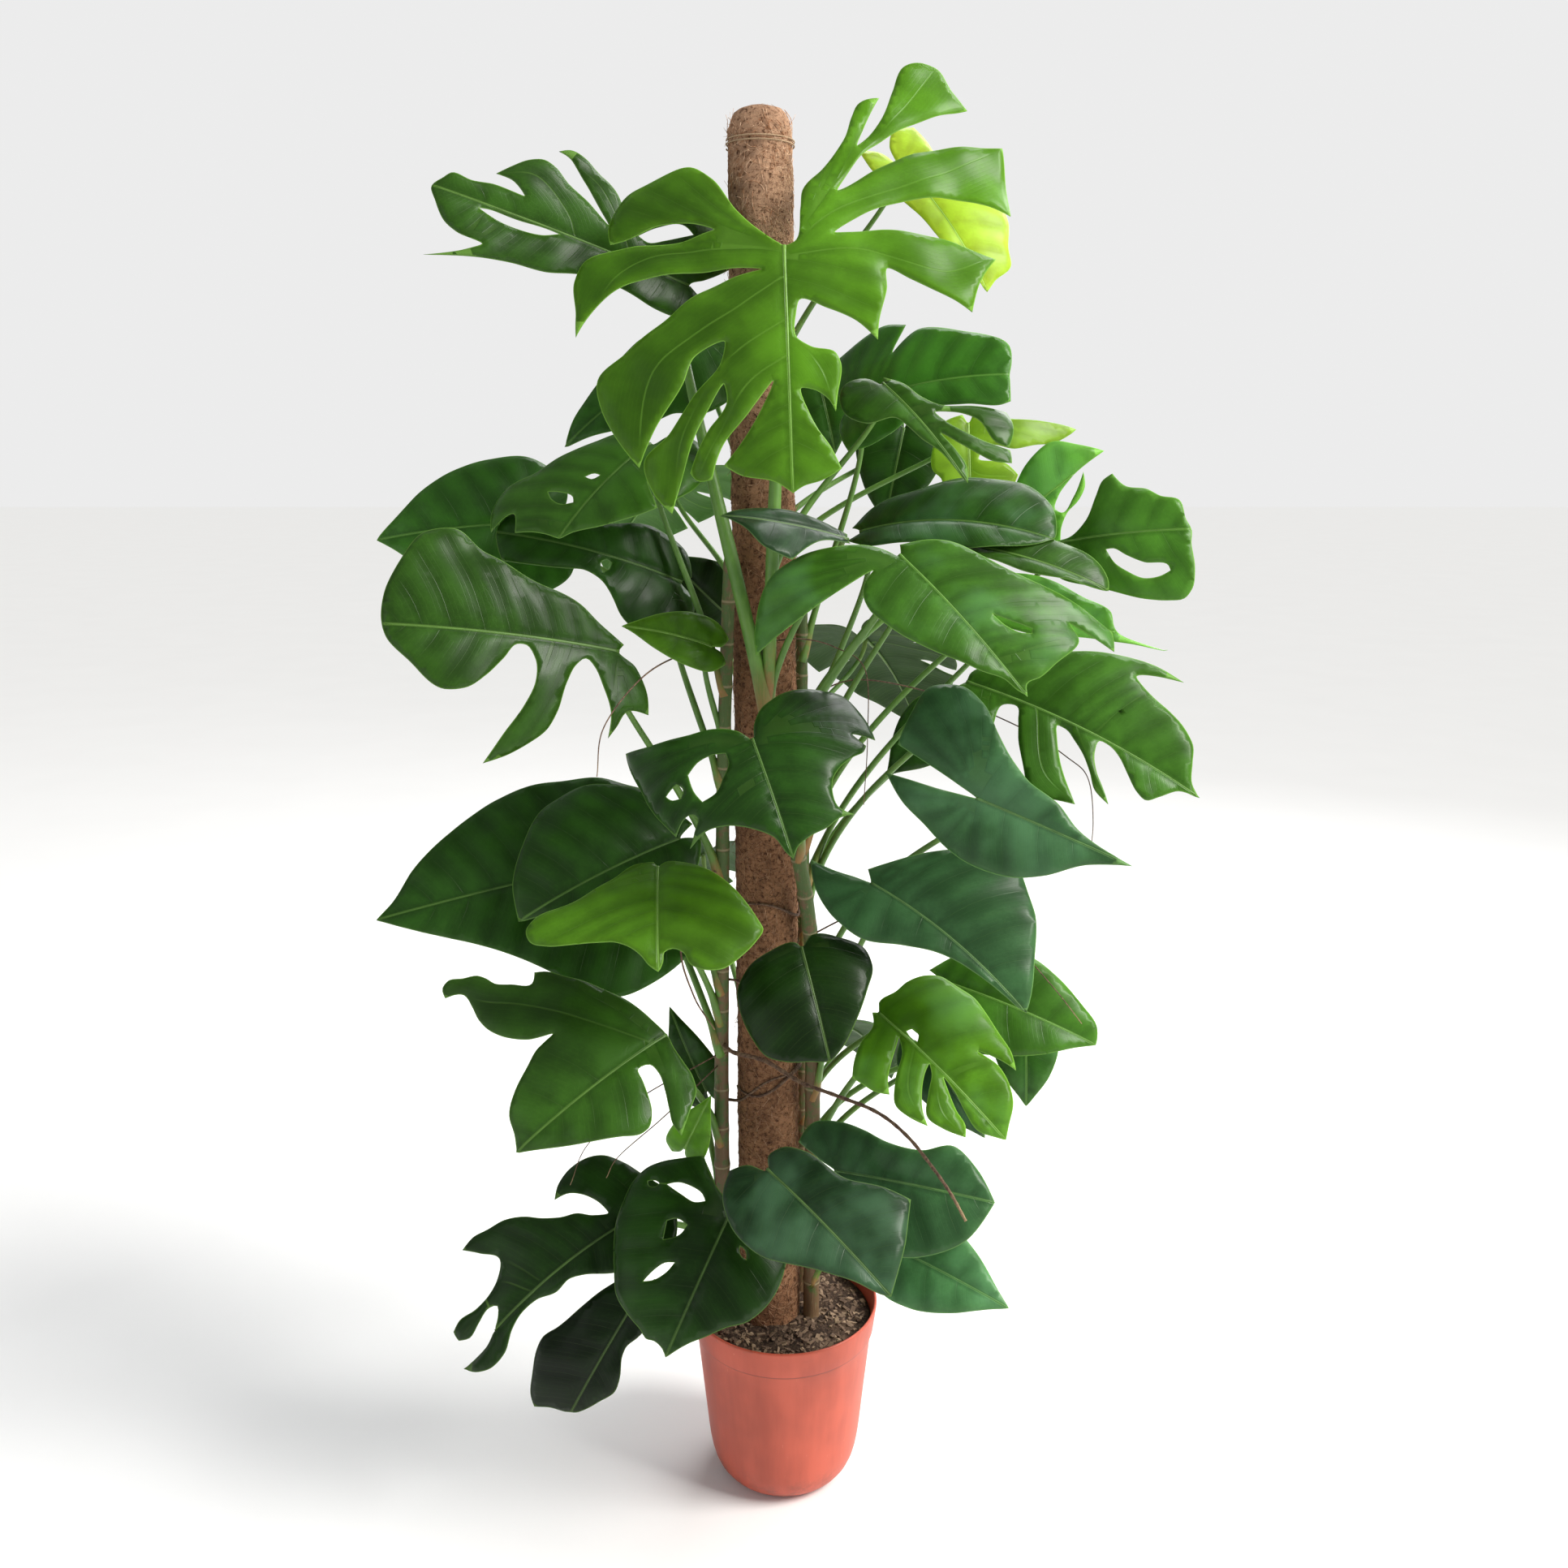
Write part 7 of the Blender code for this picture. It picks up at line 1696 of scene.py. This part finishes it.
PALETTE = {"LIME": LIME, "BRIGHT": BRIGHT, "MID": MID, "DARK": DARK, "TEAL": TEAL}
# Strength of each blade's colour by leaf number: partly the leaf's own tone and partly painted light, higher
# on blades that catch light or sheen and lower on blades in shade.
TONES_WITH_PAINTED_LIGHT = {
    "01": 0.95, "03": 0.70, "04": 2.2, "05": 3.1, "06": 0.75, "07": 0.5, "08": 1.05, "09": 2.6,
    "10": 1.3, "11": 0.60, "12": 0.72, "13": 0.4, "14": 1.25, "15": 1.4, "16": 0.65, "17": 0.75,
    "18": 2.4, "19": 1.6, "20": 1.2, "21": 1.7, "23": 1.5, "24": 1.2, "25": 1.3, "26": 0.80, "27": 1.4,
    "28": 0.72, "29": 1.15, "30": 0.50, "31": 1.0, "32": 1.3, "33": 2.4, "35": 0.75, "36": 0.9,
    "37": 0.3, "38": 0.55, "39": 1.7, "40": 2.6, "41": 1.4, "42": 0.4, "45": 1.0, "46": 2.4, "47": 1.3,
    "48": 1.2,
}
# Leaf numbers whose upper face gets a painted sheen.
PAINTED_SHEEN = ("14", "15", "18", "21", "31", "33", "38", "39", "40", "46")
for seed, leaf in enumerate(LEAVES):
    piece = blade(leaf, seed)
    for look in blade_looks(leaf, seed):
        piece.data.materials.append(look)
    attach(piece, "root")
    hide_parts(leaf.name)


# Studio
# A plain pale floor and soft light, brightest from the right as in the photograph. The camera looks from
# its angle; its two pixel values are in pixels of the photograph, which is square.
floor_mesh = bpy.data.meshes.new("floor")
floor_mesh.from_pydata([(-30, -30, 0), (30, -30, 0), (30, 30, 0), (-30, 30, 0)], [], [(0, 1, 2, 3)])
floor = show("floor", floor_mesh)
paper, start, place = material("floor_paper")
fleck = start.noise(place, 3.0, 2.0)
surface(start, fleck.blend((0.90, 0.90, 0.90), (0.93, 0.93, 0.93)), 0.9)
floor.data.materials.append(paper)

BACKDROP = 0.84
ROOM_LIGHT = 0.34
world = bpy.data.worlds.new("studio")
world.use_nodes = True
tree = world.node_tree
seen = tree.nodes.new("ShaderNodeLightPath")
backdrop = tree.nodes.new("ShaderNodeBackground")
backdrop.inputs["Color"].default_value = (1.0, 1.0, 1.0, 1.0)
backdrop.inputs["Strength"].default_value = BACKDROP
room = tree.nodes["Background"]
room.inputs["Color"].default_value = (0.96, 0.98, 1.0, 1.0)
room.inputs["Strength"].default_value = ROOM_LIGHT
choice = tree.nodes.new("ShaderNodeMixShader")
tree.links.new(seen.outputs["Is Camera Ray"], choice.inputs[0])
tree.links.new(room.outputs[0], choice.inputs[1])
tree.links.new(backdrop.outputs[0], choice.inputs[2])
tree.links.new(choice.outputs[0], tree.nodes["World Output"].inputs["Surface"])
bpy.context.scene.world = world


def softbox(name, place, aim, size, power, tint=(1.0, 1.0, 1.0)):
    light = bpy.data.lights.new(name, "AREA")
    light.shape = "RECTANGLE"
    light.size, light.size_y = size
    light.energy = power
    light.color = tint
    lamp = bpy.data.objects.new(name, light)
    lamp.location = place
    lamp.rotation_mode = "QUATERNION"
    lamp.rotation_quaternion = (Vector(aim) - Vector(place)).to_track_quat("-Z", "Y")
    bpy.context.scene.collection.objects.link(lamp)


softbox("window", (2.3, -0.8, 2.4), (0.0, 0.0, 1.0), (1.6, 2.2), 62.0, (1.0, 0.98, 0.94))
softbox("back_window", (1.2, 1.9, 2.8), (0.1, 0.0, 1.2), (2.4, 2.0), 75.0)
softbox("fill", (-2.2, -2.0, 1.6), (0.0, 0.0, 0.9), (2.0, 2.0), 9.0)
key = bpy.data.lights.new("key", "SUN")
key.energy = 2.7
key.angle = math.radians(26.0)
key.color = (1.0, 0.98, 0.94)
sun = bpy.data.objects.new("key", key)
sun.rotation_mode = "QUATERNION"
sun.rotation_quaternion = Vector((-0.69, 0.22, -0.71)).to_track_quat("-Z", "Y")
bpy.context.scene.collection.objects.link(sun)

PHOTO_SIDE = 1932.0
FOCAL_PIXELS = 1730.0
LENS_AXIS_ROW = 734.2
SENSOR_WIDTH = 36.0
CAMERA_PLACE = (0.0, -1.716, 1.318)
CAMERA_TILT = 84.0
lens = bpy.data.cameras.new("camera")
lens.sensor_width = SENSOR_WIDTH
lens.lens = FOCAL_PIXELS / PHOTO_SIDE * SENSOR_WIDTH
lens.shift_y = -(PHOTO_SIDE / 2 - LENS_AXIS_ROW) / PHOTO_SIDE
camera = bpy.data.objects.new("camera", lens)
camera.location = CAMERA_PLACE
camera.rotation_euler = (math.radians(CAMERA_TILT), 0.0, 0.0)
bpy.context.scene.collection.objects.link(camera)
bpy.context.scene.camera = camera
bpy.context.scene.view_settings.view_transform = "Standard"
